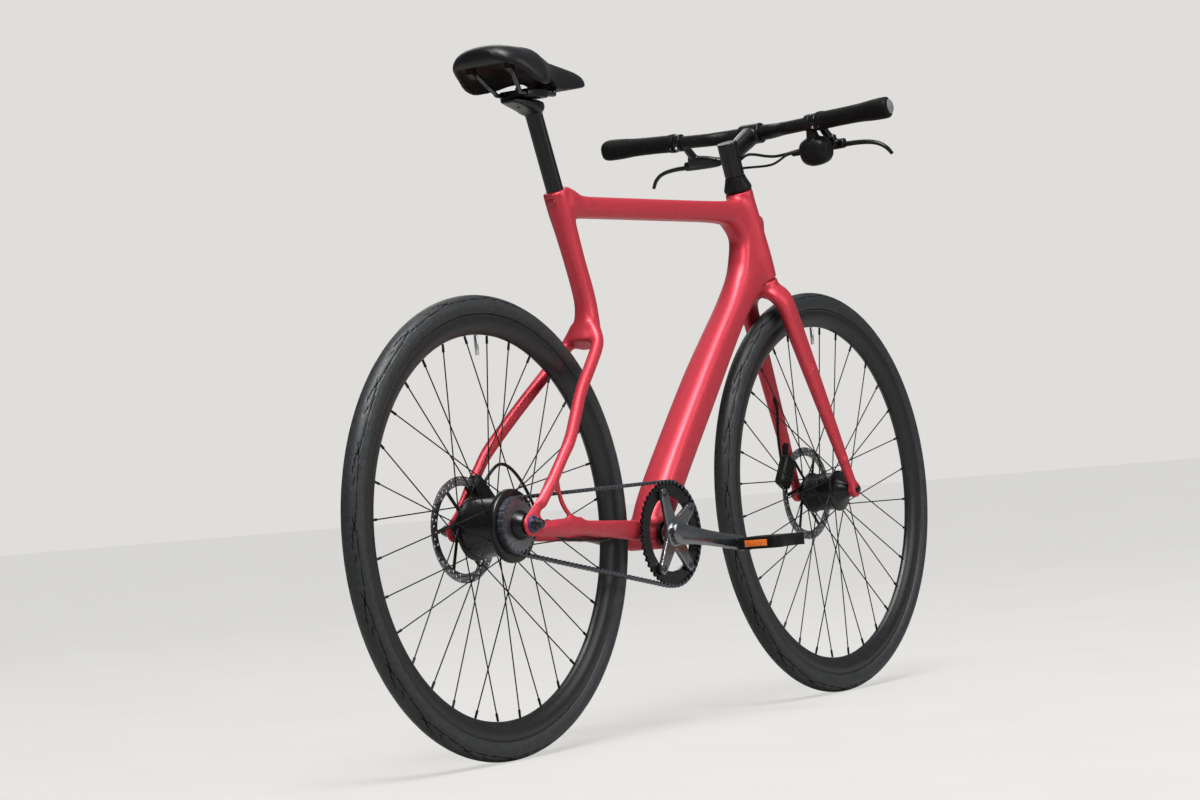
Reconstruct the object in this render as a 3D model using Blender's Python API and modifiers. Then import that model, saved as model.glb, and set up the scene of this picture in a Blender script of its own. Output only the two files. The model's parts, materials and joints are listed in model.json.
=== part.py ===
"""City bike with belt drive, disc brakes and an internal gear hub.

Metres, +Z up, +X forward, +Y to the rider's left. The origin is the middle of the
saddle's top, where the rider carries and steadies a bike that has no stand.
Places below are measured from the rear axle (x) and from the ground (z).
"""
import math

import bmesh
import bpy
from mathutils import Matrix, Vector

# Gaps between pieces that touch, pass through or turn in one another
FIT_GAP = 0.0003
STEERER_GAP = 0.0004
HUB_BORE_GAP = 0.0004
TURN_GAP = 0.0008
CUT_OVERRUN = 0.002
WELD = 0.00001

# Tyres and rims
RIM_SEAT_RADIUS = 0.3165
RIM_DEPTH = 0.0300
RIM_HALF_WIDTH = 0.0125
RIM_SPINE_HALF_WIDTH = 0.0045
TYRE_HEIGHT = 0.0295
TYRE_HALF_WIDTH = 0.0175
SPOKE_RADIUS = 0.0010
SPOKES_PER_FLANGE = 16
SPOKE_CROSSINGS = 2
FLANGE_STAGGER = 0.0010
VALVE_RADIUS = 0.0030
VALVE_LENGTH = 0.030
AXLE_RADIUS = 0.0060

# Overall layout
WHEEL_SPACE = 0.294
HEAD_ANGLE = math.radians(73.2)
SEAT_ANGLE = math.radians(71.5)
FORK_OFFSET = 0.0426
BB_DROP = 0.0385
SEAT_AXIS_FOOT = 0.2405

# Belt drive: the belt takes as many teeth as clear the rear tyre
BELT_PITCH = 0.011
RING_TEETH = 48
COG_TEETH = 24
TYRE_TO_SPINDLE = 0.0620
BELT_Y = -0.046
BELT_WIDTH = 0.010
BELT_BACK = 0.0016
BELT_LAND = 0.0008
BELT_TOOTH_HEIGHT = 0.0034
TOOTH_TIP_SHARE = 0.34
TOOTH_ROOT_SHARE = 0.54
TOOTH_PLAY = 0.00035
RING_THICKNESS = 0.0042
RING_INNER_RADIUS = 0.0600
COG_THICKNESS = 0.0085
COG_BORE = 0.0180
DRIVER_LIP = 0.0045
DRIVER_END_RADIUS = 0.0155

# Brake rotors, on the left of both wheels
ROTOR_RADIUS = 0.080
ROTOR_TRACK = 0.0145
ROTOR_THICKNESS = 0.0018
ROTOR_HUB_RADIUS = 0.0235
ROTOR_BORE = 0.0160
ROTOR_ARMS = 6
ROTOR_ARM_WIDTH = 0.0060
ROTOR_SWEEP_SHARE = 0.40
FRONT_ROTOR_Y = 0.0385
REAR_ROTOR_Y = 0.0530

# Both hubs
HUB_END_RADIUS = 0.0110
FLANGE_THICKNESS = 0.0040
FLANGE_FILLET = 0.0010

# Front hub, which holds the lights' dynamo
FRONT_DROPOUT_Y = 0.050
FRONT_FLANGE_Y = 0.0260
FRONT_FLANGE_RADIUS = 0.0350
FRONT_SHELL_RADIUS = 0.0320
FRONT_SPOKE_CIRCLE = 0.0315
FRONT_ROTOR_SEAT_RADIUS = 0.0220
FRONT_SHOULDER_RADIUS = 0.0240
FRONT_CONNECTOR_RADIUS = 0.0180
FRONT_CONNECTOR_LENGTH = 0.0080
FRONT_AXLE_HEAD_RADIUS = 0.0085
FRONT_AXLE_HEAD = 0.0030

# Rear hub, with its gears inside
REAR_DROPOUT_Y = 0.0675
REAR_FLANGE_Y = 0.0290
REAR_FLANGE_RADIUS = 0.0480
REAR_SHELL_RADIUS = 0.0430
REAR_SHELL_CROWN = 0.0009
REAR_SPOKE_CIRCLE = 0.0455
REAR_ROTOR_SEAT_RADIUS = 0.0230
REAR_SHOULDER_RADIUS = 0.0260
REAR_SHOULDER_LENGTH = 0.0080
REAR_CAP_RADIUS = 0.0400
DUST_COVER_RADIUS = 0.0550
DUST_COVER_CHAMFER = 0.0015
DROPOUT_THICKNESS = 0.0070
AXLE_NUT_RADIUS = 0.0090
AXLE_NUT_HEIGHT = 0.0085
AXLE_STUB = 0.0060
WASHER_RADIUS = 0.0115
WASHER_THICKNESS = 0.0030

# Frame tubes: half heights lie in the frame's plane and half widths across it
TOP_TUBE_DROP = 0.03763
TOP_TUBE_HALF_HEIGHT = 0.0170
TOP_TUBE_HALF_WIDTH = 0.0190
TOP_TUBE_HEAD_HALF_HEIGHT = 0.0330
DOWN_TUBE_DROP = 0.11363
DOWN_TUBE_HALF_HEIGHT = 0.0285
DOWN_TUBE_HALF_WIDTH = 0.0270
DOWN_TUBE_HEAD_HALF_HEIGHT = 0.0520
DOWN_TUBE_BOW = 0.0100
SEAT_COLLAR_RISE = 0.0250
SEAT_COLLAR_HALF_DEPTH = 0.0205
SEAT_COLLAR_HALF_WIDTH = 0.01886
SEAT_TUBE_HALF_DEPTH = 0.0170
SEAT_TUBE_HALF_WIDTH = 0.0150
SEAT_TUBE_BEND_DROP = 0.1280
SEAT_TUBE_KNEE_SHARE = 0.55
SEAT_FOOT_CLEARANCE = 0.0424
SEAT_FOOT_ANGLE = math.radians(43.23)
BB_SHELL_RADIUS = 0.0235
BB_SHELL_HALF_WIDTH = 0.0340
BB_BORE_RADIUS = 0.0180

# Seat stays
STAY_HALF_HEIGHT = 0.0098
STAY_HALF_WIDTH = 0.0082
STAY_SPLIT_HALF_WIDTH = 0.0300
STAY_ROOT_FORWARD = 0.0065
STAY_ROOT_RISE = 0.0300
STAY_SPLIT_BACK = 0.0080
STAY_SPLIT_DROP = 0.0020
STAY_MIDDLE_X = 0.1920
STAY_MIDDLE_RISE = 0.1940
STAY_MIDDLE_Y = 0.0493
STAY_LOWER_X = 0.0880
STAY_LOWER_RISE = 0.0940
STAY_KNEE_INSET = 0.0040
STAY_ROOT_SHARE = 0.45
STAY_KNEE_SHARE = 0.33
STAY_END_SHARE = 0.74
STAY_SWELL_SHARE = 0.35

# Chainstays
CHAINSTAY_HALF_HEIGHT = 0.0130
CHAINSTAY_HALF_WIDTH = 0.0085
CHAINSTAY_THROAT_HALF_WIDTH = 0.0062
CHAINSTAY_ROOT_BACK = 0.0040
CHAINSTAY_ROOT_RISE = 0.0040
CHAINSTAY_ROOT_Y = 0.0250
CHAINSTAY_THROAT_BACK = 0.0500
CHAINSTAY_THROAT_RISE = 0.0080
CHAINSTAY_THROAT_Y = 0.0312
CHAINSTAY_WAIST_BACK = 0.1050
CHAINSTAY_WAIST_RISE = 0.0135
CHAINSTAY_WAIST_Y = 0.0331
CHAINSTAY_MIDDLE_X = 0.2250
CHAINSTAY_MIDDLE_DROP = 0.0198
CHAINSTAY_MIDDLE_Y = 0.0490
CHAINSTAY_REAR_X = 0.1250
CHAINSTAY_REAR_DROP = 0.0130
CHAINSTAY_REAR_Y = 0.0680
CHAINSTAY_TAIL_X = 0.0550
CHAINSTAY_TAIL_DROP = 0.0065
CHAINSTAY_END_X = 0.0120
CHAINSTAY_END_DROP = 0.0050

# Rear dropouts: a boss round the axle, a brace up to the stay and a window between
DROPOUT_BOSS_RADIUS = 0.0190
DROPOUT_FOOT_X = 0.1400
DROPOUT_FOOT_TOP_DROP = 0.0020
DROPOUT_FOOT_LOW_DROP = 0.0250
DROPOUT_TOE_X = 0.1000
DROPOUT_TOE_DROP = 0.0260
DROPOUT_NECK_X = 0.0790
DROPOUT_NECK_RISE = 0.0690
DROPOUT_HORN_X = 0.0700
DROPOUT_HORN_RISE = 0.0840
BRACE_CENTRE_X = 0.1240
BRACE_CENTRE_RISE = 0.0490
BRACE_RADIUS = 0.0420
BRACE_WIDTH = 0.0050
WINDOW_SHOULDER_X = 0.0560
WINDOW_SHOULDER_RISE = 0.0500
WINDOW_THROAT_X = 0.0240
WINDOW_THROAT_TOP = 0.0160
WINDOW_THROAT_FOOT = 0.0060
WINDOW_SILL_RISE = 0.0040

# Head tube and headset, measured up the steering axis from the axle's height
CROWN_CLEARANCE = 0.0370
HEAD_TUBE_LENGTH = 0.1590
HEAD_LOWER_RADIUS = 0.0282
HEAD_UPPER_RADIUS = 0.0235
HEAD_LOWER_RING = 0.0200
HEAD_BORE_RADIUS = 0.0180
STEERER_RADIUS = 0.0143
CROWN_ROOM_RADIUS = 0.0340
CROWN_ROOM_FOOT_RADIUS = 0.0600
CONE_HEIGHT = 0.0250
CONE_TOP_RADIUS = 0.0172
CONE_NECK_RADIUS = 0.01823
CONE_TOP_SHARE = 0.80
CONE_FOOT_SHARE = 0.20
STEM_COLUMN_RADIUS = 0.0168
STEM_COLUMN_LENGTH = 0.0590
STEM_CAP_HEIGHT = 0.0050
STEM_NECK_START_SHARE = 0.60

# Fork, in the steering axis's own frame
FORK_LEG_TOP_DEPTH = 0.0205
FORK_LEG_TOP_WIDTH = 0.0115
FORK_LEG_FOOT_WIDTH = 0.0065
FORK_SHOULDER_X = 0.0015
FORK_SHOULDER_Y = 0.0365
FORK_SHOULDER_DROP = 0.0480
FORK_CROWN_DEPTH = 0.0220
FORK_CROWN_HEIGHT = 0.0220
FORK_CROWN_LIP = 0.0100
FORK_FOOT_BOSS_RADIUS = 0.0135
THRU_AXLE_END = 0.0035
EYELET_RADIUS = 0.0062
EYELET_STAND = 0.0015

# Cockpit, in the steering axis's own frame; the controls sit inboard of the grips
BAR_REACH = 0.0866
BAR_HEIGHT = 0.6190
BAR_CLAMP_RADIUS = 0.0130
BAR_RADIUS = 0.0111
BAR_CLAMP_HALF_WIDTH = 0.0280
BAR_SWEEP = 0.0165
BAR_RISE = 0.0140
BAR_RISE_SHARE = 0.35
BAR_HALF_WIDTH = 0.2800
STEM_CLAMP_RADIUS = 0.0175
STEM_CLAMP_HALF_WIDTH = 0.0200
GRIP_LENGTH = 0.1380
GRIP_END_CAP = 0.0030
GRIP_RADIUS = 0.0150
GRIP_PALM_HEIGHT = 0.0172
GRIP_PALM_DEPTH = 0.0195
GRIP_CLAMP_WIDTH = 0.0100
GRIP_CLAMP_RADIUS = 0.0163
LEVER_CLAMP_WIDTH = 0.0120
LEVER_CLAMP_RADIUS = 0.0150
LEVER_FORWARD = 0.0400
LEVER_DROP = 0.0500
LEVER_BODY_OUTER = 0.0230
LEVER_BODY_INNER = 0.0500
LEVER_BODY_RADIUS = 0.0090
LEVER_BODY_END_RADIUS = 0.0052
LEVER_TANK_HEIGHT = 0.0160
BLADE_REACH = 0.0800
BLADE_DROP = 0.0290
BLADE_FORWARD = 0.0060
BLADE_HALF_DEPTH = 0.0055
BLADE_HALF_THICKNESS = 0.0042
SHIFTER_CLAMP_WIDTH = 0.0110
SHIFTER_HALF_DEPTH = 0.0215
SHIFTER_HALF_HEIGHT = 0.0245
SHIFTER_HALF_WIDTH = 0.0270
SHIFTER_DROP = 0.0480
SHIFTER_STOP_RADIUS = 0.0042
SHIFTER_STOP_LENGTH = 0.0200
BAR_STRAIGHT_SPARE = 0.0360
HOSE_RADIUS = 0.0025
CABLE_RADIUS = 0.0021
HOSE_LEAD = 0.0100
HOSE_BOW = 0.0140
HOSE_SAG = 0.0060
HOSE_SPACING = 0.0060
HOSE_TURN_OUT = 0.0160
CABLE_DROP = 0.0100
CABLE_ENTRY_DROP = 0.0120

# Lights built into the frame
HEAD_LIGHT_HEIGHT = 0.0300
HEAD_LIGHT_WIDTH = 0.0220
HEAD_LIGHT_STAND = 0.0080
HEAD_LIGHT_DROP = 0.0230
LENS_DEPTH = 0.0050
LENS_MARGIN = 0.0030
TAIL_LIGHT_DROP = 0.0190
TAIL_LIGHT_HEIGHT = 0.0100
TAIL_LIGHT_WIDTH = 0.0160
TAIL_LIGHT_DEPTH = 0.0040

# Seatpost, its clamp and the saddle
SEATPOST_RADIUS = 0.0136
SEATPOST_INSERTION = 0.0500
SEATPOST_EXPOSED = 0.1270
SEATPOST_HEAD_HALF_LENGTH = 0.0465
SEATPOST_HEAD_HALF_WIDTH = 0.0205
SEATPOST_HEAD_HALF_HEIGHT = 0.0120
RAIL_RADIUS = 0.0035
RAIL_HALF_SPACING = 0.0220
RAIL_RISE = 0.0185
CLAMP_BACK = 0.0190
CLAMP_HALF_WIDTH = 0.0275
CLAMP_HALF_LENGTH = 0.0265
CLAMP_HALF_HEIGHT = 0.0065
CLAMP_ROUND = 0.0026
SADDLE_REAR_BACK = 0.1375
SADDLE_LENGTH = 0.2765
SADDLE_MIDDLE_BACK = 0.0480
SADDLE_HALF_WIDTH = 0.0715
SADDLE_RISE = 0.0715
SADDLE_DEPTH = 0.0670
SADDLE_PAD_THICKNESS = 0.0150
SADDLE_EDGE_THICKNESS = 0.0045
SADDLE_SHELL_THICKNESS = 0.0030
RAIL_SOCKET_LENGTH = 0.0220
RAIL_SOCKET_WIDTH = 0.0170

# Cranks and pedals
CRANK_LENGTH = 0.1700
CRANK_PITCH = math.radians(9.5)
CRANK_HUB_RADIUS = 0.0175
CRANK_INNER_Y = 0.0560
CRANK_THICKNESS = 0.0125
CRANK_FLARE = 0.0100
CRANK_HALF_HEIGHT = 0.0145
SPINDLE_RADIUS = 0.0120
BB_CUP_RADIUS = 0.0215
BB_CUP_LENGTH = 0.0045
SPIDER_ANGLES = tuple(math.radians(angle) for angle in (44.0, 116.0, -116.0, -44.0))
SPIDER_BOLT_CIRCLE = 0.0655
SPIDER_THICKNESS = 0.0060
SPIDER_TIP_WIDTH = 0.0130
SPIDER_ROOT_WIDTH = 0.0260
PEDAL_LENGTH = 0.0900
PEDAL_WIDTH = 0.0860
PEDAL_THICKNESS = 0.0190
PEDAL_AXLE_RADIUS = 0.0070
PEDAL_GAP = 0.0060
PEDAL_BAR = 0.0125
PEDAL_CORNER = 0.0100
PEDAL_NOTCH = 0.0070
PEDAL_LIP = 0.0050
REFLECTOR_LENGTH = 0.0420
REFLECTOR_HEIGHT = 0.0110
REFLECTOR_DEPTH = 0.0015

# Brake calipers, straddling the rotors and bolted to the fork leg and the left stays
CALIPER_LENGTH = 0.0560
CALIPER_HEIGHT = 0.0300
CALIPER_INNER_HALF_WIDTH = 0.0080
CALIPER_SLOT = 0.0030
CALIPER_REACH_SHARE = 0.935
CALIPER_ROUND = 0.0050
FRONT_CALIPER_ANGLE = math.radians(131.0)
REAR_CALIPER_ANGLE = math.radians(44.0)
CALIPER_EAR_RADIUS = 0.0065
CALIPER_EAR_HALF_WIDTH = 0.0041
FRONT_BOLT_UPPER = (-0.0200, 0.0929)
FRONT_BOLT_LOWER = (-0.0381, 0.0596)

# Hoses along the frame from the rear axle, and along the fork from the front axle
REAR_HOSE_PLACES = ((0.0620, 0.0560, 0.0600), (0.0718, 0.0558, 0.0720), (0.1000, 0.0530, 0.0920),
                    (0.1300, 0.0530, 0.0870), (0.1600, 0.0530, 0.0620), (0.1850, 0.0532, 0.0260),
                    (0.1980, 0.0535, -0.0020), (0.2010, 0.0533, -0.0120))
GEAR_CABLE_PLACES = ((0.2450, -0.0462, -0.0290), (0.2330, -0.0475, -0.0350),
                     (0.2000, -0.0520, -0.0360), (0.1500, -0.0610, -0.0320),
                     (0.1050, -0.0640, -0.0295), (0.0700, -0.0640, -0.0215),
                     (0.0450, -0.0690, -0.0150))
FRONT_HOSE_PLACES = ((-0.0286, 0.0395, 0.1913), (-0.0347, 0.0344, 0.1669),
                     (-0.0486, 0.0370, 0.1229), (-0.0536, 0.0385, 0.0889),
                     (-0.0551, 0.0395, 0.0689))

# Facets
DRAWING_SCALE = 100.0
WHEEL_STEPS = 48
TUBE_SIDES = 14
STAY_SIDES = 10
SMALL_STEPS = 16

# Side shapes as shares: (along, half height, half width, squareness)
TOP_TUBE_SHARES = [(0.00, 1.10, 0.80, 3.0), (0.12, 1.00, 0.95, 3.4), (0.55, 1.00, 1.00, 3.6),
                   (0.80, 1.04, 1.00, 3.4)]
TOP_TUBE_FLARE_SHARES = [(0.90, 0.25), (0.95, 0.60), (1.00, 1.00)]
DOWN_TUBE_FLARE_SHARES = [(0.02, 1.0, 0.86), (0.08, 0.52, 0.86), (0.14, 0.14, 0.86)]
DOWN_TUBE_SHARES = [(0.22, 0.92, 0.88, 3.2), (0.34, 0.95, 0.92, 3.4), (0.50, 1.00, 1.00, 3.6),
                    (0.75, 1.02, 1.04, 3.4), (0.90, 1.00, 1.10, 3.0), (1.00, 0.80, 1.00, 2.6)]

# Seat tube as shares: its collar, (along to the bend, half depth, half width, squareness), curve
SEAT_COLLAR_SHARES = (0.00, 0.20)
SEAT_TUBE_SHARES = [(0.42, 1.08, 1.10, 2.4), (0.75, 1.00, 1.00, 2.6)]
SEAT_CURVE_SHARES = [(0.00, 1.00, 1.00), (0.25, 1.00, 1.05), (0.50, 1.05, 1.20),
                     (0.75, 1.15, 1.50), (1.00, 1.15, 1.75)]

# Fork leg as shares of its top's section: (along from the shoulder, depth, width)
FORK_LEG_SHARES = [(0.00, 1.00, 1.00), (0.14, 0.97, 0.94), (0.40, 0.84, 0.84), (0.70, 0.66, 0.70),
                   (0.90, 0.52, 0.58), (1.00, 0.50, 0.57)]

# Crank arm as shares: (along, half height, half thickness, flare)
CRANK_SHARES = [(-0.085, 0.70, 0.80, 0.00), (0.00, 1.20, 1.00, 0.00), (0.12, 1.15, 1.00, 0.05),
                (0.30, 0.95, 0.94, 0.30), (0.62, 0.84, 0.84, 0.70), (0.90, 0.86, 0.90, 0.96),
                (1.00, 0.90, 0.92, 1.00), (1.07, 0.62, 0.80, 1.00)]

# Grip as shares: (along from its clamp, half height, half depth) from the round to the palm's rest
GRIP_SHARES = [(0.00, 0.00, 0.00), (0.25, -0.10, 0.00), (0.55, 0.15, 0.25), (0.75, 1.00, 0.62),
               (0.94, 1.30, 1.00), (1.00, 0.75, 0.75)]

# Lever blade as shares: (along, forward, drop, thinning)
BLADE_SHARES = [(0.00, 0.00, 0.00, 1.00), (0.06, 0.00, 0.00, 1.00), (0.30, 0.50, 0.03, 0.95),
                (0.56, 0.80, 0.12, 0.88), (0.76, 0.92, 0.30, 0.80), (0.91, 1.00, 0.62, 0.72),
                (1.00, 1.00, 1.00, 0.62)]

# Rack eyelets as shares down the fork's legs
EYELET_SHARES = (("upper", 0.35), ("lower", 0.84))

# Crown's root of a leg as shares: (out to the shoulder, down to it, depth, width)
FORK_CROWN_SHARES = [(0.11, 0.344, 0.976, 1.130), (0.49, 0.417, 1.098, 1.087),
                     (0.80, 0.625, 1.098, 1.087)]

# Stem's neck as shares: (from the column to the bar, size, squareness)
STEM_NECK_SHARES = [(0.00, 0.80, 2.4), (0.50, 0.86, 3.0), (1.00, 0.95, 3.0)]
HOSE_ENTRY_SHARE = 0.38

# Bar as shares: (from its clamp to its bend, thickness from the clamp's to the grip's)
BAR_TAPER_SHARES = [(0.00, 0.00), (0.35, 0.45), (0.70, 0.90), (1.00, 1.00)]

# Shifter pod as shares: (along its half width, size)
SHIFTER_SHARES = [(-1.00, 0.55), (-0.72, 0.86), (-0.20, 1.00), (0.35, 1.00), (0.80, 0.78),
                  (1.00, 0.42)]

# Master cylinder as shares: (along from its inner end, size from its end's to its own)
LEVER_BODY_SHARES = [(0.00, 0.00), (0.14, 0.85), (0.60, 1.00), (1.00, 0.80)]

# Brake lever's tank as shares: (along the body from the clamp, height of its middle, size)
TANK_SHARES = [(-0.95, 0.10, 0.45), (-0.55, 0.60, 0.85), (0.00, 1.00, 1.00), (0.20, 1.00, 0.90)]

# Seatpost's head as shares: (along its half length, half height, half width)
SEATPOST_HEAD_SHARES = [(-1.00, 0.30, 0.62), (-0.60, 0.45, 0.85), (0.00, 0.75, 1.00),
                        (0.36, 1.00, 1.00), (0.58, 0.80, 0.85), (0.70, 0.35, 0.66)]

# Saddle rail as shares: (along the saddle, half spacing, rise towards the saddle's top)
RAIL_SHARES = [(0.134, 1.62, 0.55), (0.206, 1.32, 0.29), (0.273, 1.04, 0.05), (0.309, 1.00, 0.00),
               (0.582, 1.00, 0.00), (0.624, 0.86, 0.06), (0.680, 0.50, 0.28)]

# Saddle as shares: (along from the rear, half width, drop of the top, rise of the rim)
SADDLE_SHARES = [(0.000, 0.42, 0.150, 0.620), (0.034, 0.70, 0.060, 0.520),
                 (0.088, 0.84, 0.010, 0.445), (0.143, 0.92, 0.000, 0.343),
                 (0.215, 0.98, 0.000, 0.140), (0.295, 1.00, 0.000, 0.045),
                 (0.351, 0.91, 0.000, 0.060), (0.412, 0.76, 0.040, 0.115),
                 (0.485, 0.59, 0.100, 0.215), (0.577, 0.42, 0.195, 0.250),
                 (0.649, 0.35, 0.262, 0.060), (0.784, 0.31, 0.350, 0.090),
                 (0.897, 0.27, 0.430, 0.150), (0.964, 0.21, 0.520, 0.200),
                 (1.000, 0.10, 0.640, 0.270)]
SADDLE_DOME_SQUARENESS = 2.3
SADDLE_DOME_STEPS = 8
SADDLE_HOLLOW_FIRST = 1
SADDLE_HOLLOW_LAST = 12

LEFT = Vector((0.0, 1.0, 0.0))
FORWARD = Vector((1.0, 0.0, 0.0))
SIDES = (("left", 1), ("right", -1))


for old in list(bpy.data.objects):
    bpy.data.objects.remove(old, do_unlink=True)

bike = bpy.data.collections.new("city_bike")
cutters = bpy.data.collections.new("city_bike_cutters")
bpy.context.scene.collection.children.link(bike)
bpy.context.scene.collection.children.link(cutters)


def paint(name, colour, roughness, metallic):
    material = bpy.data.materials.new(name)
    material.use_nodes = True
    shader = material.node_tree.nodes["Principled BSDF"]
    shader.inputs["Base Color"].default_value = (*colour, 1.0)
    shader.inputs["Roughness"].default_value = roughness
    shader.inputs["Metallic"].default_value = metallic
    return material


def empty(name, place, parent=None, turn=(0.0, 0.0, 0.0)):
    axis = bpy.data.objects.new(name, None)
    axis.location = place
    axis.rotation_euler = turn
    axis.parent = parent
    bike.objects.link(axis)
    return axis


def finish(obj, parent, material, smooth=math.radians(32.0)):
    """Hang an object on its carrier and give it its paint and shading."""
    obj.parent = parent
    if obj.type == "MESH":
        obj.data.shade_smooth()
        obj.data.set_sharp_from_angle(angle=smooth)
    obj.data.materials.clear()
    obj.data.materials.append(material)
    return obj


def new_object(name, data, place=(0.0, 0.0, 0.0), turn=(0.0, 0.0, 0.0)):
    obj = bpy.data.objects.new(name, data)
    obj.location = place
    obj.rotation_euler = turn
    bike.objects.link(obj)
    return obj


def mesh_object(name, shape, place=(0.0, 0.0, 0.0), turn=(0.0, 0.0, 0.0)):
    mesh = bpy.data.meshes.new(name)
    bmesh.ops.recalc_face_normals(shape, faces=shape.faces)
    shape.to_mesh(mesh)
    shape.free()
    return new_object(name, mesh, place, turn)


def sided(name, side):
    return name + ("_left" if side > 0 else "_right")


# Outlines and turned profiles

ACROSS = (-math.pi / 2, 0.0, 0.0)
UPRIGHT = (math.pi / 2, 0.0, 0.0)
LEVEL = (0.0, 0.0, 0.0)


def turned(name, profile, steps, ring=False, place=(0.0, 0.0, 0.0), turn=ACROSS):
    """Turn a profile of (radius, height) pairs, listed from the top down its outside."""
    mesh = bpy.data.meshes.new(name)
    points = [(radius, 0.0, height) for radius, height in profile]
    edges = [(i, i + 1) for i in range(len(points) - 1)]
    if ring:
        edges.append((len(points) - 1, 0))
    mesh.from_pydata(points, edges, [])
    obj = new_object(name, mesh, place, turn)
    screw = obj.modifiers.new("turn", "SCREW")
    screw.axis = "Z"
    screw.steps = steps
    screw.render_steps = steps
    screw.use_merge_vertices = True
    screw.merge_threshold = WELD
    screw.use_smooth_shade = True
    return obj


def cylinder(name, radius, low, high, steps=SMALL_STEPS, place=(0.0, 0.0, 0.0), turn=ACROSS):
    """A cylinder from low to high along its own Z axis."""
    shape = bmesh.new()
    bmesh.ops.create_cone(shape, cap_ends=True, segments=steps, radius1=radius, radius2=radius,
                          depth=high - low, matrix=Matrix.Translation((0, 0, (high + low) / 2)))
    return mesh_object(name, shape, place, turn)


def box(name, size, place=(0.0, 0.0, 0.0), turn=(0.0, 0.0, 0.0)):
    shape = bmesh.new()
    bmesh.ops.create_cube(shape, size=1.0, matrix=Matrix.Diagonal((*size, 1.0)))
    return mesh_object(name, shape, place, turn)


def plate(name, outlines, thickness, place=(0.0, 0.0, 0.0), turn=UPRIGHT):
    """A flat plate from closed outlines of (x, z) points; the inner ones are holes.

    It is drawn enlarged, since a filled curve merges points closer than 0.03 mm.
    """
    curve = bpy.data.curves.new(name, "CURVE")
    curve.dimensions = "2D"
    curve.fill_mode = "BOTH"
    curve.extrude = thickness / 2 * DRAWING_SCALE
    for outline in outlines:
        spline = curve.splines.new("POLY")
        spline.points.add(len(outline) - 1)
        for point, (x, z) in zip(spline.points, outline):
            point.co = (x * DRAWING_SCALE, z * DRAWING_SCALE, 0.0, 1.0)
        spline.use_cyclic_u = True
    drawn = as_mesh(new_object(name, curve))
    drawn.data.transform(Matrix.Scale(1 / DRAWING_SCALE, 4))
    drawn.location, drawn.rotation_euler = place, turn
    return drawn


def as_mesh(obj):
    """Swap a curve for its welded mesh, so that it can be cut or joined."""
    bpy.context.view_layer.update()
    graph = bpy.context.evaluated_depsgraph_get()
    mesh = bpy.data.meshes.new_from_object(obj.evaluated_get(graph))
    shape = bmesh.new()
    shape.from_mesh(mesh)
    bmesh.ops.remove_doubles(shape, verts=shape.verts, dist=WELD)
    bmesh.ops.recalc_face_normals(shape, faces=shape.faces)
    shape.to_mesh(mesh)
    shape.free()
    name, place = obj.name, obj.matrix_world.copy()
    bpy.data.objects.remove(obj, do_unlink=True)
    made = new_object(name, mesh)
    made.matrix_world = place
    return made


def arc(centre, radius, start, end, count):
    """Points on an arc in the XZ plane; angles in radians from +X towards +Z."""
    step = (end - start) / (count - 1)
    return [(centre[0] + radius * math.cos(start + i * step),
             centre[1] + radius * math.sin(start + i * step)) for i in range(count)]


def circle(radius, count):
    return [(radius * math.cos(2 * math.pi * i / count),
             radius * math.sin(2 * math.pi * i / count)) for i in range(count)]


# Tubes lofted through rounded-box rings

def power(value, exponent):
    return math.copysign(abs(value) ** (2.0 / exponent), value)


def skin(name, rings, split=False):
    """Skin closed rings of points and close both ends; split, nested skins bend alike."""
    shape = bmesh.new()
    loops = [[shape.verts.new(point) for point in ring] for ring in rings]
    count = len(rings[0])
    for first, second in zip(loops, loops[1:]):
        for k in range(count):
            after = (k + 1) % count
            if split:
                shape.faces.new((first[k], first[after], second[after]))
                shape.faces.new((first[k], second[after], second[k]))
            else:
                shape.faces.new((first[k], first[after], second[after], second[k]))
    shape.faces.new(loops[0][::-1])
    shape.faces.new(loops[-1])
    return mesh_object(name, shape)


def loft(name, rings, sides, across=LEFT):
    """Skin rings of (centre, half height, half width, squareness) along their path."""
    centres = [Vector(ring[0]) for ring in rings]
    loops = []
    for index, (_, high, wide, square) in enumerate(rings):
        ahead = centres[min(index + 1, len(rings) - 1)]
        behind = centres[max(index - 1, 0)]
        along = (ahead - behind).normalized()
        side = (across - across.dot(along) * along).normalized()
        up = along.cross(side)
        loop = []
        for k in range(sides):
            angle = 2 * math.pi * (k + 0.5) / sides
            loop.append(centres[index] + side * wide * power(math.cos(angle), square)
                        + up * high * power(math.sin(angle), square))
        loops.append(loop)
    return skin(name, loops)


def smooth_path(points, spacing_count):
    """A Catmull-Rom curve through hand-placed points."""
    points = [Vector(p) for p in points]
    ends = [2 * points[0] - points[1]] + points + [2 * points[-1] - points[-2]]
    path = []
    for i in range(1, len(ends) - 2):
        p0, p1, p2, p3 = ends[i - 1:i + 3]
        for k in range(spacing_count):
            t = k / spacing_count
            path.append(0.5 * (2 * p1 + (p2 - p0) * t + (2 * p0 - 5 * p1 + 4 * p2 - p3) * t ** 2
                               + (3 * p1 - p0 - 3 * p2 + p3) * t ** 3))
    path.append(points[-1])
    return path


def rod(name, points, radius, resolution=2):
    """A round wire along a list of points, closed at both ends."""
    curve = bpy.data.curves.new(name, "CURVE")
    curve.dimensions = "3D"
    curve.bevel_depth = radius
    curve.bevel_resolution = resolution
    curve.use_fill_caps = True
    spline = curve.splines.new("POLY")
    spline.points.add(len(points) - 1)
    for point, place in zip(spline.points, points):
        point.co = (*place, 1.0)
    return new_object(name, curve)


# Booleans

def tool(obj):
    """Move an object to the cutters, which aren't pieces of the bike."""
    bike.objects.unlink(obj)
    cutters.objects.link(obj)
    obj.hide_render = True
    obj.display_type = "WIRE"
    return obj


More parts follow.
